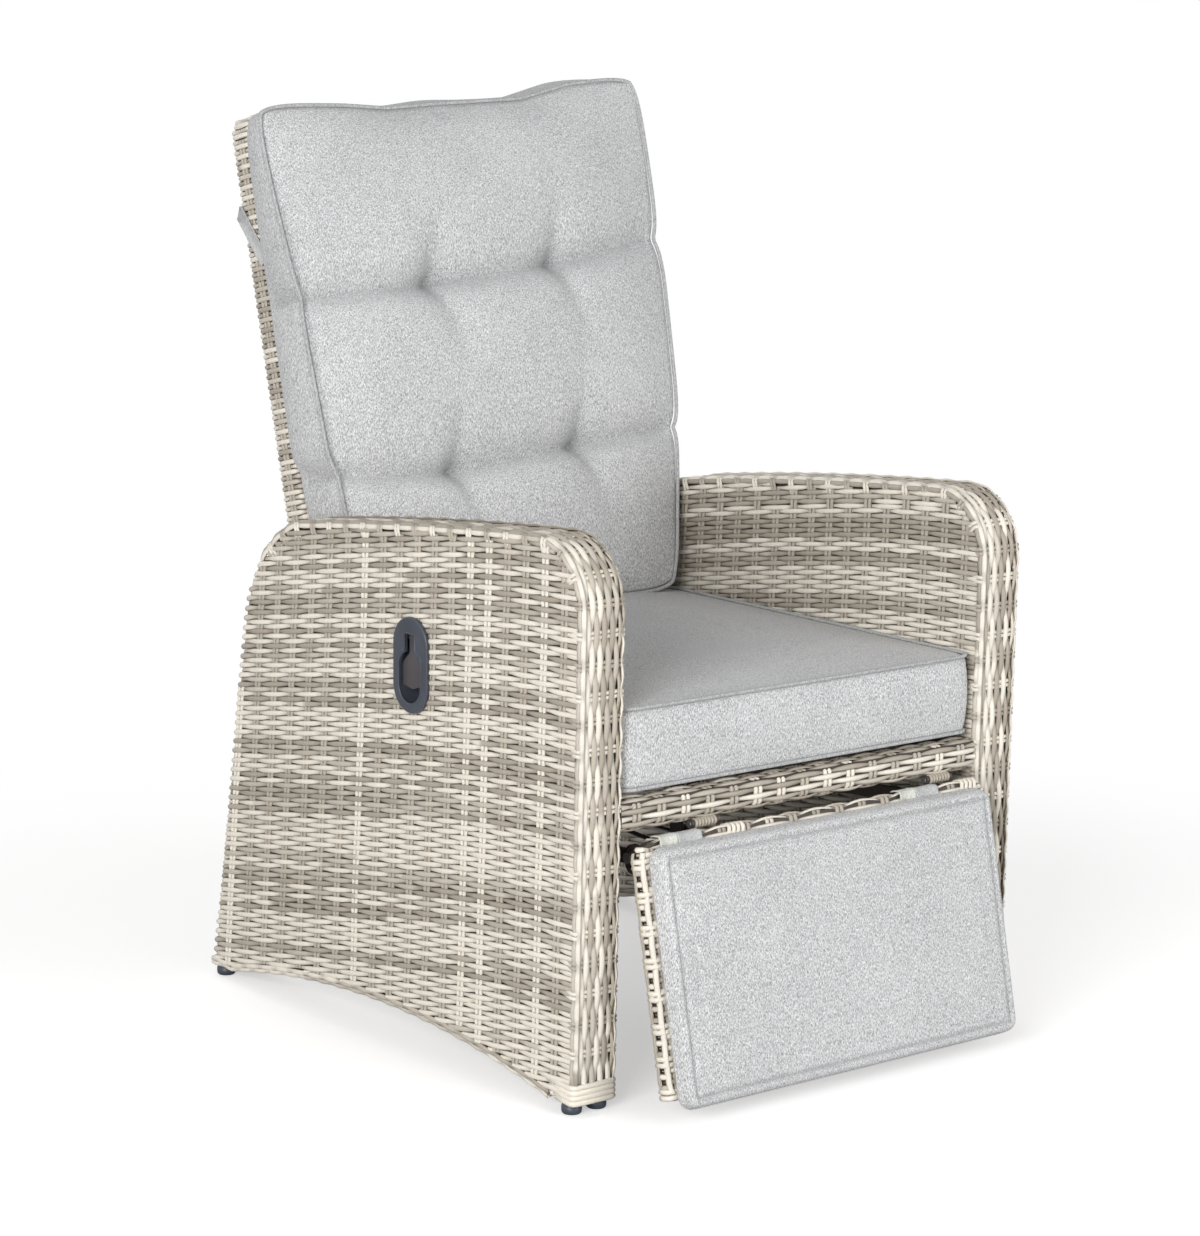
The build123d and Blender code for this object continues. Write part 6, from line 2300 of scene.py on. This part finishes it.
        for i in range(n_u + 1):
            for k in range(n_v + 1):
                x, v, a, b = spot(i, k)
                seam_pull = 0.004 * self.pinch(x, v, 0.016)
                rim = max(abs(a), abs(b)) > 0.999
                add((0, i, k), x, v, self.surface(x, v, a, b) if not rim else self.edge_at(v) - seam_pull)
                add((n_w, i, k), x * min(1.0, self.rear_half / self.half_at(v, a)), self.rear_v(v, a), self.rear)
        ring = [(i, 0) for i in range(n_u)] + [(n_u, k) for k in range(n_v)]
        ring += [(i, n_v) for i in range(n_u, 0, -1)] + [(0, k) for k in range(n_v, 0, -1)]
        for i, k in ring:
            x, v, a, b = spot(i, k)
            front = self.frame.local(verts[index[(0, i, k)]])[2]
            for step in range(1, n_w):
                t = step / n_w
                belly = math.sin(math.pi * t) ** 0.8
                uneven = 1.5 * MM * noise.noise(Vector((x * 18, v * 18, t * 2)))
                swell = 7 * MM * (1 - 0.9 * self.pinch(x, v, 0.018)) + uneven
                crest = 4 * MM + 5 * MM * (math.exp(-(((x + 0.03) / 0.05) ** 2)) + math.exp(-(((x - 0.2) / 0.06) ** 2)))
                side = swell * belly * (abs(a) > 0.999)
                up = crest * belly * (b > 0.999)
                narrow = 1 + (min(1.0, self.rear_half / self.half_at(v, a)) - 1) * t
                add(
                    (step, i, k),
                    x * narrow + math.copysign(side, a),
                    v + (self.rear_v(v, a) - v) * t + up,
                    front + (self.rear - front) * t,
                )
        for i in range(n_u):
            for k in range(n_v):
                quad = ((i, k), (i + 1, k), (i + 1, k + 1), (i, k + 1))
                faces.append([index[(0, *q)] for q in quad])
                faces.append([index[(n_w, *q)] for q in quad[::-1]])
        for p, q in zip(ring, ring[1:] + ring[:1]):
            for step in range(n_w):
                faces.append([index[(step, *p)], index[(step + 1, *p)], index[(step + 1, *q)], index[(step, *q)]])
        seam = np.array([verts[index[(0, *p)]] for p in ring])
        piece = mesh_object("back_cushion_cloth", verts, faces, self.finishes.cloth)
        recalculate(piece)

        def hold(place: np.ndarray) -> float:
            """Pins: the flat rear, the tufts, and more softly the creases and the seam round the face.

            Args:
                place: place on the form.

            Returns:
                Pin weight from 0 to 1.
            """
            x, v, w = self.frame.local(place)
            if w < self.rear + 6 * MM:
                return 1.0
            near = min(math.hypot(x - tx, v - tv) for tx, tv in self.tufts)
            if near < 10 * MM:
                return 1.0
            if w > self.edge - 14 * MM and abs(x) > self.half_at(v, x) - 5 * MM:
                return 0.85
            return 0.9 * max(self.pinch(x, v, 0.006) ** 2, math.exp(-((near / 0.03) ** 2)))

        motion = Padding(0.0, 2.5, 4 * MM).inflate(piece, hold)
        self.settle(piece, motion)
        Padding.smooth(piece, 0.4, 1)
        Padding.mark(piece, self.crease_shade_at)
        follow = Follower(motion)
        line = follow.follow(seam)
        middle = np.array(self.frame.place(0.0, (self.low + self.high) / 2, self.edge - 40 * MM))
        line = line + unit(line - middle) * 1.6 * MM
        place_piece(piece, "backrest", "cushion_fabric", "back_cushion")
        cord = self.piping.sweep([(line, True)], "back_cushion_piping", 2.4 * MM, self.finishes.piping)
        place_piece(cord, "backrest", "cushion_fabric")

    def crease_shade_at(self, place: Vector) -> float:
        """Painted shade: how deep in a crease, or how near the face's seam, a point of the cushion lies, from 0 to 1,
        as the amount that the cloth is darkened there.

        Args:
            place: the point.

        Returns:
            The depth.
        """
        x, v, w = self.frame.local(place)
        if w < self.rear + 20 * MM:
            return 0.0
        value = 0.0
        for row in (0, 1):
            d = v - self.crease(row, x)
            near = min(abs(x - t[0]) for t in self.tufts[2 * row : 2 * row + 2])
            value += (0.55 + 0.35 * math.exp(-near / 0.03)) * math.exp(-abs(d) / (0.013 if d > 0 else 0.0035))
        for tx, tv in self.tufts:
            dv = v - tv
            bend = tx + (0.10 * dv if dv > 0 else -0.28 * dv * (1 + 2 * dv))
            value += 0.4 * math.exp(-((abs(dv) / 0.07) ** 1.5)) * math.exp(-abs(x - bend) / 0.009)
        half = self.half_at(v, x)
        at_border = abs(x) > half - 7 * MM or v > self.top_at(x / half) - 7 * MM
        if at_border and abs(w - self.edge_at(v)) < 7 * MM:
            value += 0.45
        return min(value, 1.0)

    def settle(self, piece: bpy.types.Object, motion: dict) -> None:
        """Keep the cushion clear of the seat cushion and of the panel.

        Args:
            piece: the cushion.
            motion: rest places and moved places.
        """
        co = motion["moved"]
        floor = 453.0 * MM
        low = co[:, 2] < floor
        co[low, 2] = floor + (co[low, 2] - floor) * 0.04
        a = math.radians(self.frame.lean)
        w = self.frame.local(co.T)[2]
        back = np.where(w < self.rear, self.rear - w, 0.0)
        co[:, 1] -= back * math.cos(a)
        co[:, 2] += back * math.sin(a)
        piece.data.vertices.foreach_set("co", co.astype(np.float32).ravel())


@dataclass
class SeatCushion:
    """Boxed seat cushion with a seam at its top edge and piping at its lower one."""

    finishes: Finishes
    piping: PipingTree
    front: float = -328 * MM
    rear: float = 224 * MM
    low: float = 355.4 * MM
    high: float = 448 * MM
    half: float = 264.5 * MM

    def build(self) -> None:
        """Make, stuff and dress the cushion."""
        frame = Tilted(0.0, 0.0, 90.0)
        # With this lean, v runs towards the rear (y) and w runs up (z).
        box = BoxCushion(
            name="seat_cushion_cloth",
            frame=frame,
            half=self.half,
            low=self.front,
            high=self.rear,
            rear=self.low,
            front=self.high,
            crown=8 * MM,
            draw_in=-3 * MM,
        )
        piece = box.form(self.finishes.cloth)

        def hold(place: np.ndarray) -> float:
            """Pins: the flat underside, and the seam round the top.

            Args:
                place: place on the form.

            Returns:
                Pin weight from 0 to 1.
            """
            if place[2] < self.low + 3 * MM:
                return 1.0
            edge = abs(place[0]) > self.half - 6 * MM or place[1] < self.front + 6 * MM
            return 0.9 if edge and abs(place[2] - self.high) < 5 * MM else 0.0

        motion = Padding(6 * MM, 4.0, 9 * MM).inflate(piece, hold)
        co = motion["moved"]
        co[:, 2] = np.clip(co[:, 2], self.low, None)
        co[:, 0] = np.clip(co[:, 0], -self.half, self.half)
        piece.data.vertices.foreach_set("co", co.astype(np.float32).ravel())
        Padding.smooth(piece, 0.5, 2)

        def crease_shade_at(place: Vector) -> float:
            """Painted shade: a dark line along the seam round the top."""
            edge = abs(place[0]) > self.half - 9 * MM or place[1] < self.front + 9 * MM
            return 0.5 * math.exp(-abs(place[2] - self.high + 3 * MM) / (2.5 * MM)) if edge else 0.0

        Padding.mark(piece, crease_shade_at)
        place_piece(piece, "base", "cushion_fabric", "seat_cushion")
        follow = Follower(motion)
        lines = [(follow.follow(box.border(self.high)), True), (follow.follow(box.border(self.low + 2 * MM)), True)]
        for line, _ in lines:
            line[:, 0] = np.clip(line[:, 0], -self.half + 1 * MM, self.half - 1 * MM)
            line[:, 2] = np.clip(line[:, 2], self.low + 2.2 * MM, None)
        cord = self.piping.sweep(lines, "seat_cushion_piping", 2.2 * MM, self.finishes.piping)
        place_piece(cord, "base", "cushion_fabric")


@dataclass
class FootrestPad:
    """Thin pad of the footrest with a stitched seam a little inside its edge."""

    finishes: Finishes
    piping: PipingTree
    frame: Tilted = FOOT_FRAME
    half: float = 251 * MM
    low: float = -303.0 * MM
    high: float = -17.0 * MM
    rear: float = 22.8 * MM
    thick: float = 22 * MM
    round: float = 16 * MM
    seam_inset: float = 13 * MM

    def height(self, inset: float) -> float:
        """Thickness at a distance inside the edge: rounded rim, sewn valley, level middle.

        Args:
            inset: distance from the edge.

        Returns:
            Thickness in metres.
        """
        rim = min(inset / (9 * MM), 1.0)
        rise = math.sqrt(max(1 - (1 - rim) ** 2, 0.0))
        valley = 2.6 * MM * math.exp(-(((inset - self.seam_inset) / (2.4 * MM)) ** 2))
        crown = 3.5 * MM * (1 - math.exp(-max(inset - self.seam_inset, 0) / (60 * MM)))
        return self.thick * (0.42 + 0.58 * rise) - valley + crown

    def fill(self, verts: list, faces: list, first: int, n: int, flat: bool) -> None:
        """Fill the loop of n vertices that starts at a number with a grid, crowned unless it is flat.

        Args:
            verts: places, which the grid's are added to.
            faces: faces, which the grid's are added to.
            first: first vertex of the loop.
            n: number of its vertices.
            flat: whether the grid is flat.
        """
        side = n // 4
        loop = [first + (3 + i) % n for i in range(n)]
        top, left, bottom, right = (loop[i * side : (i + 1) * side] + [loop[((i + 1) * side) % n]] for i in range(4))
        grid = [[0] * (side + 1) for _ in range(side + 1)]
        corner = [verts[top[0]], verts[top[-1]], verts[bottom[0]], verts[bottom[-1]]]
        for i in range(side + 1):
            for k in range(side + 1):
                if k in (0, side) or i in (0, side):
                    upright = right[side - k] if i == 0 else left[k]
                    grid[i][k] = top[i] if k == 0 else bottom[side - i] if k == side else upright
                    continue
                a, b = i / side, k / side
                along = (1 - b) * verts[top[i]] + b * verts[bottom[side - i]]
                along = along + (1 - a) * verts[right[side - k]] + a * verts[left[k]]
                across = (1 - a) * (1 - b) * corner[0] + a * (1 - b) * corner[1]
                across = across + a * b * corner[2] + (1 - a) * b * corner[3]
                swell = 0.0 if flat else 3.0 * MM * math.sin(math.pi * a) * math.sin(math.pi * b)
                grid[i][k] = len(verts)
                verts.append(along - across + self.frame.turn(0, 0, 1) * swell)
        for i in range(side):
            for k in range(side):
                quad = [grid[i][k], grid[i + 1][k], grid[i + 1][k + 1], grid[i][k + 1]]
                faces.append(quad if flat else quad[::-1])

    def build(self) -> None:
        """Make and dress the pad."""
        insets = [0, 1, 2.5, 4.5, 7, 9.5, 11.5, 13, 14.5, 17, 21, 28, 38]
        verts = []
        middle = (self.low + self.high) / 2
        tall = (self.high - self.low) / 2
        levels = [(0.0, 0.0), (-2.0 * MM, 0.22)] + [(i * MM, None) for i in insets]
        for inset, share in levels:
            radius = max(self.round - inset, 1.5 * MM)
            for x, v in rounded_loop(self.half - inset, -tall + inset, tall - inset, radius):
                if share is None:
                    w = self.rear + self.height(inset)
                    w += 0.7 * MM * noise.noise(Vector((x * 16, v * 16, 2.0))) * min(inset / 0.02, 1.0)
                else:
                    w = self.rear + self.thick * share
                verts.append(self.frame.place(x, middle + v, w))
        n = len(rounded_loop(1.0, -1.0, 1.0, 0.1))
        faces = tube_faces(len(levels), n, False)
        for first, flat in ((0, True), ((len(levels) - 1) * n, False)):
            self.fill(verts, faces, first, n, flat)
        piece = mesh_object("footrest_pad_cloth", verts, faces, self.finishes.cloth)
        recalculate(piece)
        Padding.smooth(piece, 0.0, 0)

        def crease_shade_at(place: Vector) -> float:
            """Painted shade: a dark line along the stitched seam.

            Args:
                place: the point.

            Returns:
                The depth, from 0 to 1.
            """
            x, v, w = self.frame.local(place)
            inset = min(self.half - abs(x), tall - abs(v - middle))
            on_face = w > self.rear + self.thick * 0.6
            return 0.8 * math.exp(-abs(inset - self.seam_inset) / (1.6 * MM)) if on_face else 0.0

        Padding.mark(piece, crease_shade_at)
        place_piece(piece, "footrest", "cushion_fabric", "footrest_pad")
        inset = self.seam_inset
        loop = rounded_loop(self.half - inset, -tall + inset, tall - inset, 9 * MM)
        line = np.array([self.frame.place(x, middle + v, self.rear + self.height(inset) + 0.1 * MM) for x, v in loop])
        thread = self.piping.sweep([(line, True)], "footrest_pad_stitch", 0.5 * MM, self.finishes.piping)
        place_piece(thread, "footrest", "cushion_fabric")


# ---------------------------------------------------------------- small pieces
@dataclass
class Bands:
    """Cloth bands that hold the back cushion and the footrest pad, and the tabs beside them."""

    finishes: Finishes
    back: Tilted = BACK_FRAME
    foot: Tilted = FOOT_FRAME

    def strip(
        self,
        name: str,
        centres: list,
        across: list,
        out: list,
        width: float,
        thickness: float,
        material: bpy.types.Material,
    ) -> bpy.types.Object:
        """Flat band along a line, with a hemmed edge.

        Args:
            name: piece name.
            centres: points along its middle.
            across: direction of its width at each point.
            out: outward direction at each point.
            width: width of the band.
            thickness: thickness of the band.
            material: its cloth.

        Returns:
            The band.
        """
        hem = [(-0.5, 0.0), (-0.5, 0.8), (-0.44, 1.0), (-0.42, 0.75)]
        shape = hem + [(-s, h) for s, h in reversed(hem)]
        verts = []
        for c, a, o in zip(centres, across, out):
            for s, h in shape:
                verts.append(np.array(c) + np.array(a) * s * width + np.array(o) * h * thickness)
        piece = mesh_object(name, verts, tube_faces(len(centres), len(shape)), material)
        recalculate(piece)
        return piece

    def build(self) -> None:
        """Make and place every band and tab."""
        half, rear, front = 261.2 * MM, -22.2 * MM, 20 * MM
        r = SLANT
        keys = [
            (-half, 564 * MM, front, -1, 0),
            (-half, 584 * MM, 8 * MM, -1, 0),
            (-half, 612 * MM, -8 * MM, -1, 0),
            (-half, 629 * MM, rear + 4 * MM, -1, 0),
            (-half + 4 * MM, 629 * MM, rear, -r, -r),
            (0.0, 624 * MM, rear, 0, -1),
            (half - 4 * MM, 629 * MM, rear, r, -r),
            (half, 629 * MM, rear + 4 * MM, 1, 0),
            (half, 612 * MM, -8 * MM, 1, 0),
            (half, 594 * MM, 8 * MM, 1, 0),
            (half, 580 * MM, front, 1, 0),
        ]
        spots = [np.array(key[:3]) for key in keys]
        out = [self.back.turn(nx, 0, nw) for _, _, _, nx, nw in keys]
        across = []
        for i, facing in enumerate(out):
            along = self.back.turn(*(spots[min(i + 1, len(spots) - 1)] - spots[max(i - 1, 0)]))
            side = np.cross(facing, along / np.linalg.norm(along))
            across.append(side / np.linalg.norm(side))
        centres = [self.back.place(*spot) for spot in spots]
        band = self.strip("back_band", centres, across, out, 18 * MM, 1.8 * MM, self.finishes.webbing)
        place_piece(band, "backrest", "strap_webbing", "back_strap")
        top, rear, front = -6.0 * MM, 4.6 * MM, 23.0 * MM
        over = [
            (-26 * MM, front, 0, 1),
            (-16 * MM, front + 0.8 * MM, 0, 1),
            (top - 2.5 * MM, front, r, r),
            (top, front - 2.5 * MM, r, r),
            (top + 0.5 * MM, (rear + front) / 2, 1, 0),
            (top, rear + 2.5 * MM, r, -r),
            (top - 2.5 * MM, rear, r, -r),
            (-40 * MM, rear, 0, -1),
        ]
        tab = [
            (-19 * MM, front + 0.2 * MM, 0, 1),
            (top - 2 * MM, front, r, r),
            (top + 0.2 * MM, front - 2.5 * MM, r, r),
            (top + 0.8 * MM, rear + 8 * MM, 1, 0),
            (top, rear + 3 * MM, 1, 0),
        ]
        for label, x, tab_node in (("left", -0.190, ("strap_tabs",)), ("right", 0.168, ())):
            piece = self.upright(f"footrest_band_{label}", x, over, 34 * MM, 1.6 * MM, self.finishes.webbing)
            place_piece(piece, "footrest", "strap_webbing", f"footrest_strap_{label}")
            piece = self.upright(f"strap_tab_{label}", x - 30 * MM, tab, 25 * MM, 1.5 * MM, self.finishes.tab)
            place_piece(piece, "footrest", "tab_fabric", *tab_node)

    def upright(
        self, name: str, x: float, keys: list, width: float, thickness: float, material: bpy.types.Material
    ) -> bpy.types.Object:
        """Strip over the footrest's top rail at one place across; keys give its v, its w and its way out.

        Args:
            name: piece name.
            x: place across.
            keys: v, w and the way out at each point.
            width: width of the strip.
            thickness: its thickness.
            material: its cloth.

        Returns:
            The strip.
        """
        centres = [self.foot.place(x, v, w) for v, w, _, _ in keys]
        out = [self.foot.turn(0, nv, nw) for _, _, nv, nw in keys]
        return self.strip(name, centres, [(1, 0, 0)] * len(keys), out, width, thickness, material)


@dataclass
class HandleTrim:
    """Rounded rim round the handle's bottle-shaped opening."""

    finishes: Finishes
    piping: PipingTree
    x: float = -332.0 * MM
    y: float = -31.13 * MM
    top: float = 474.0 * MM

    def contour(
        self, neck: float, neck_height: float, half: float, height: float, low_round: float
    ) -> list[tuple[float, float]]:
        """Half-symmetric outline of the opening as (y, z) offsets from the top of its wide part.

        Args:
            neck: half width of the neck.
            neck_height: height of the neck.
            half: half width below it.
            height: height below the neck.
            low_round: radius of the foot.

        Returns:
            The (y, z) offsets.
        """
        right = [(0.0, neck_height), (neck, neck_height), (neck, 3 * MM)]
        for i in range(7):
            a = math.radians(90 - 90 * i / 6)
            right.append((neck + 1 * MM + (half - neck - 1 * MM) * math.cos(a), -11 * MM + 11 * MM * math.sin(a)))
        for i in range(11):
            a = math.radians(90 * i / 10)
            right.append((half * math.cos(a), -height + low_round - low_round * math.sin(a)))
        return right + [(-a, b) for a, b in reversed(right[1:-1])]

    def build(self) -> None:
        """Make and place the trim."""
        outline = self.contour(9.9 * MM, 20 * MM, 21 * MM, 61 * MM, 21 * MM)
        rim = np.array([(self.x + 0.4 * MM, self.y + a, self.top + b) for a, b in outline])
        cord = self.piping.sweep([(rim, True)], "handle_rim", 1.1 * MM, self.finishes.bezel)
        place_piece(cord, "base", "handle_plastic")


@dataclass
class Feet:
    """Domed plugs under the ends of the arms."""

    finishes: Finishes
    turns: int = 28

    def build(self) -> None:
        """Make one domed plug and repeat it under both arms with geometry nodes."""
        tree, ids = geometry_tree("foot_plugs", {"Plug": "Object", "Polypropylene": "Material"})
        given = add_node(tree, "NodeGroupInput").outputs
        plug_info = add_node(tree, "GeometryNodeObjectInfo", {"Object": given["Plug"]})
        points = add_node(tree, "GeometryNodeMeshToPoints", {"Mesh": given["Geometry"]})
        placed = add_node(
            tree,
            "GeometryNodeInstanceOnPoints",
            {"Points": points.outputs[0], "Instance": plug_info.outputs["Geometry"]},
        )
        end_tree(tree, placed.outputs[0], given["Polypropylene"])
        profile = [(0.0, 0.0), (7.5, 0.0), (9.6, 0.5), (11.0, 1.9), (11.5, 4.2), (11.5, 9.0)]
        profile += [(10.8, 9.6), (10.8, 14.0), (0.0, 14.0)]
        verts = []
        for r, z in profile:
            for i in range(self.turns):
                a = 2 * math.pi * i / self.turns
                verts.append((r * MM * math.cos(a), r * MM * math.sin(a), z * MM))
        plug = mesh_object("foot_plug_pattern", verts, tube_faces(len(profile), self.turns, False), self.finishes.foot)
        recalculate(plug)
        for label, s in (("left", -1), ("right", 1)):
            spots = [(s * x, y, 0.0) for x in (0.2803, 0.3147) for y in (-0.31014, 0.37586)]
            mesh = bpy.data.meshes.new(f"feet_{label}_spots")
            mesh.from_pydata(spots, [], [])
            values = dict(zip(ids.values(), (plug, self.finishes.foot)))
            piece = made_by(tree, linked(mesh.name, mesh), f"domed_feet_{label}", values, False)
            place_piece(piece, "base", "foot_plastic", f"feet_{label}")
        bpy.data.objects.remove(plug)


class HardParts:
    """Gives the carried-over hard nodes their real finishes."""

    def __init__(self, finishes: Finishes, nodes: dict) -> None:
        """Keep the finishes and the nodes."""
        self.finishes = finishes
        self.nodes = nodes

    def build(self) -> None:
        """Assign one finish to each hard node."""
        f = self.finishes
        steel = (
            "arm_bolts",
            "back_hinge_pins",
            "back_hinge_washers",
            "footrest_hinge_pins",
            "link_pins_front",
            "link_pins_rear",
            "gas_spring_pin_rear",
            "handle_pin",
        )
        special = {
            "gas_spring_rod": f.rod,
            "seat_deck": f.deck,
            "handle_bezel": f.bezel,
            "handle_paddle": f.paddle,
            "release_cable": f.sheath,
            "gas_spring_tube": f.sheath,
        }
        for name, node in self.nodes.items():
            material = special.get(name, f.steel if name in steel else f.coat)
            if node.data.materials:
                for i in range(len(node.data.materials)):
                    node.data.materials[i] = material
            else:
                node.data.materials.append(material)


# ---------------------------------------------------------------- studio
@dataclass
class Studio:
    """Plain pale floor, soft light and the camera of the photograph."""

    place: tuple[float, float, float] = (-2.80263, -3.42450, 1.30952)
    azimuth: float = -38.9877
    elevation: float = 10.7401
    roll: float = 0.5923
    focal_pixels: float = 3789.0

    def build(self) -> None:
        """Make the floor, the lights, the world and the camera."""
        scene = bpy.context.scene
        scene.view_settings.view_transform = "Standard"
        self.floor()
        self.world()
        self.lamp("key", (-4.4, -2.6, 1.8), 2.4, 178.0)
        self.lamp("fill", (1.6, -4.2, 1.3), 3.0, 84.0)
        self.lamp("rear", (0.8, 3.4, 2.6), 3.0, 24.0)
        self.camera()

    def floor(self) -> None:
        """Wide white paper floor: it keeps the shadow near the chair and meets the white background."""
        mat, tree = new_material("studio_floor_paper")
        tree.nodes.clear()
        coords = add_node(tree, "ShaderNodeTexCoord")
        distance = add_node(tree, "ShaderNodeVectorMath", {0: coords.outputs["Object"]}, operation="LENGTH")
        far = add_node(
            tree,
            "ShaderNodeMapRange",
            {"Value": distance.outputs["Value"], "From Min": 0.75, "From Max": 1.5},
            interpolation_type="SMOOTHSTEP",
        )
        paper = add_node(tree, "ShaderNodeBsdfDiffuse", {"Color": linear("#F3F3F3")})
        glow = add_node(tree, "ShaderNodeEmission", {"Color": linear("#FFFFFF"), "Strength": 0.47})
        near = add_node(tree, "ShaderNodeAddShader", {0: paper.outputs[0], 1: glow.outputs[0]})
        white = add_node(tree, "ShaderNodeEmission", {"Color": linear("#FFFFFF"), "Strength": 1.0})
        seen = add_node(tree, "ShaderNodeMixShader", {0: far.outputs[0], 1: near.outputs[0], 2: white.outputs[0]})
        plain_paper = add_node(tree, "ShaderNodeBsdfDiffuse", {"Color": linear("#D8D8D8")})
        rays = add_node(tree, "ShaderNodeLightPath")
        mixed = add_node(
            tree,
            "ShaderNodeMixShader",
            {0: rays.outputs["Is Camera Ray"], 1: plain_paper.outputs[0], 2: seen.outputs[0]},
        )
        add_node(tree, "ShaderNodeOutputMaterial", {"Surface": mixed.outputs[0]})
        corners = [(-40, -40, 0), (40, -40, 0), (40, 40, 0), (-40, 40, 0)]
        piece = mesh_object("studio_floor", corners, [(0, 1, 2, 3)], mat, False)

    def world(self) -> None:
        """White surroundings for the camera, softer light for the object."""
        world = bpy.data.worlds.new("studio")
        bpy.context.scene.world = world
        world.use_nodes = True
        tree = world.node_tree
        tree.nodes.clear()
        light = add_node(tree, "ShaderNodeBackground", {"Color": linear("#FFFFFF"), "Strength": 0.30})
        seen = add_node(tree, "ShaderNodeBackground", {"Color": linear("#FFFFFF"), "Strength": 1.0})
        rays = add_node(tree, "ShaderNodeLightPath")
        straight = add_node(
            tree,
            "ShaderNodeMath",
            {0: rays.outputs["Is Camera Ray"], 1: rays.outputs["Is Glossy Ray"]},
            operation="MAXIMUM",
        )
        either = add_node(
            tree,
            "ShaderNodeMath",
            {0: straight.outputs[0], 1: rays.outputs["Is Transmission Ray"]},
            operation="MAXIMUM",
        )
        mixed = add_node(tree, "ShaderNodeMixShader", {0: either.outputs[0], 1: light.outputs[0], 2: seen.outputs[0]})
        add_node(tree, "ShaderNodeOutputWorld", {"Surface": mixed.outputs[0]})

    def lamp(self, name: str, place: tuple[float, float, float], size: float, power: float) -> None:
        """Soft square lamp that looks at the chair.

        Args:
            name: name of the lamp.
            place: where it stands.
            size: side of its square.
            power: watts.
        """
        data = bpy.data.lights.new(name, "AREA")
        data.size = size
        data.energy = power
        lamp = linked(name, data)
        lamp.location = place
        lamp.rotation_euler = (Vector((0, 0, 0.45)) - Vector(place)).to_track_quat("-Z", "Y").to_euler()

    def camera(self) -> None:
        """Camera fitted to the photograph."""
        a, e, r = (math.radians(v) for v in (self.azimuth, self.elevation, self.roll))
        back = Vector((math.sin(a) * math.cos(e), -math.cos(a) * math.cos(e), math.sin(e)))
        right = (-back).cross(Vector((0, 0, 1))).normalized()
        up = right.cross(-back).normalized()
        turned_right = right * math.cos(r) + up * math.sin(r)
        turned_up = up * math.cos(r) - right * math.sin(r)
        data = bpy.data.cameras.new("camera")
        data.lens = self.focal_pixels * data.sensor_width / max(IMAGE_SIZE)
        data.clip_end = 100.0
        camera = linked("camera", data)
        turn = Matrix((turned_right, turned_up, back)).transposed().to_4x4()
        camera.matrix_world = Matrix.Translation(Vector(self.place)) @ turn
        bpy.context.scene.camera = camera


def main() -> None:
    """Build the chair piece by piece over its frame."""
    logging.basicConfig(level=logging.INFO, format="%(name)s: %(message)s")
    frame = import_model()
    finishes = Finishes()
    cane = CaneTree(finishes.cane)
    piping = PipingTree()
    HardParts(finishes, frame["nodes"]).build()
    for side in (-1, 1):
        WovenArm(side, finishes, cane).build()
    WovenSlab(
        name="back_panel",
        body="backrest",
        finishes=finishes,
        tree=cane,
        frame=BACK_FRAME,
        half_width=260 * MM,
        rear=-21 * MM,
        front=21 * MM,
        low=22 * MM,
        high=746 * MM,
        corner_round=28 * MM,
        nodes=("back_wicker_front", "back_wicker_rear", "back_wicker_edge"),
        seed=61.0,
    ).build()
    FootrestSlab(
        name="footrest_panel",
        body="footrest",
        finishes=finishes,
        tree=cane,
        frame=FOOT_FRAME,
        half_width=262 * MM,
        rear=5.3 * MM,
        front=22.3 * MM,
        low=-292.3 * MM,
        high=-6.3 * MM,
        corner_round=22 * MM,
        nodes=("footrest_wicker_front", "footrest_wicker_rear", "footrest_wicker_edge"),
        seed=71.0,
        round_foot=True,
    ).build()
    Apron(finishes, cane).build()
    BackCushion(finishes, piping).build()
    SeatCushion(finishes, piping).build()
    FootrestPad(finishes, piping).build()
    Bands(finishes).build()
    HandleTrim(finishes, piping).build()
    Feet(finishes).build()
    Studio().build()


if __name__ == "__main__":
    main()
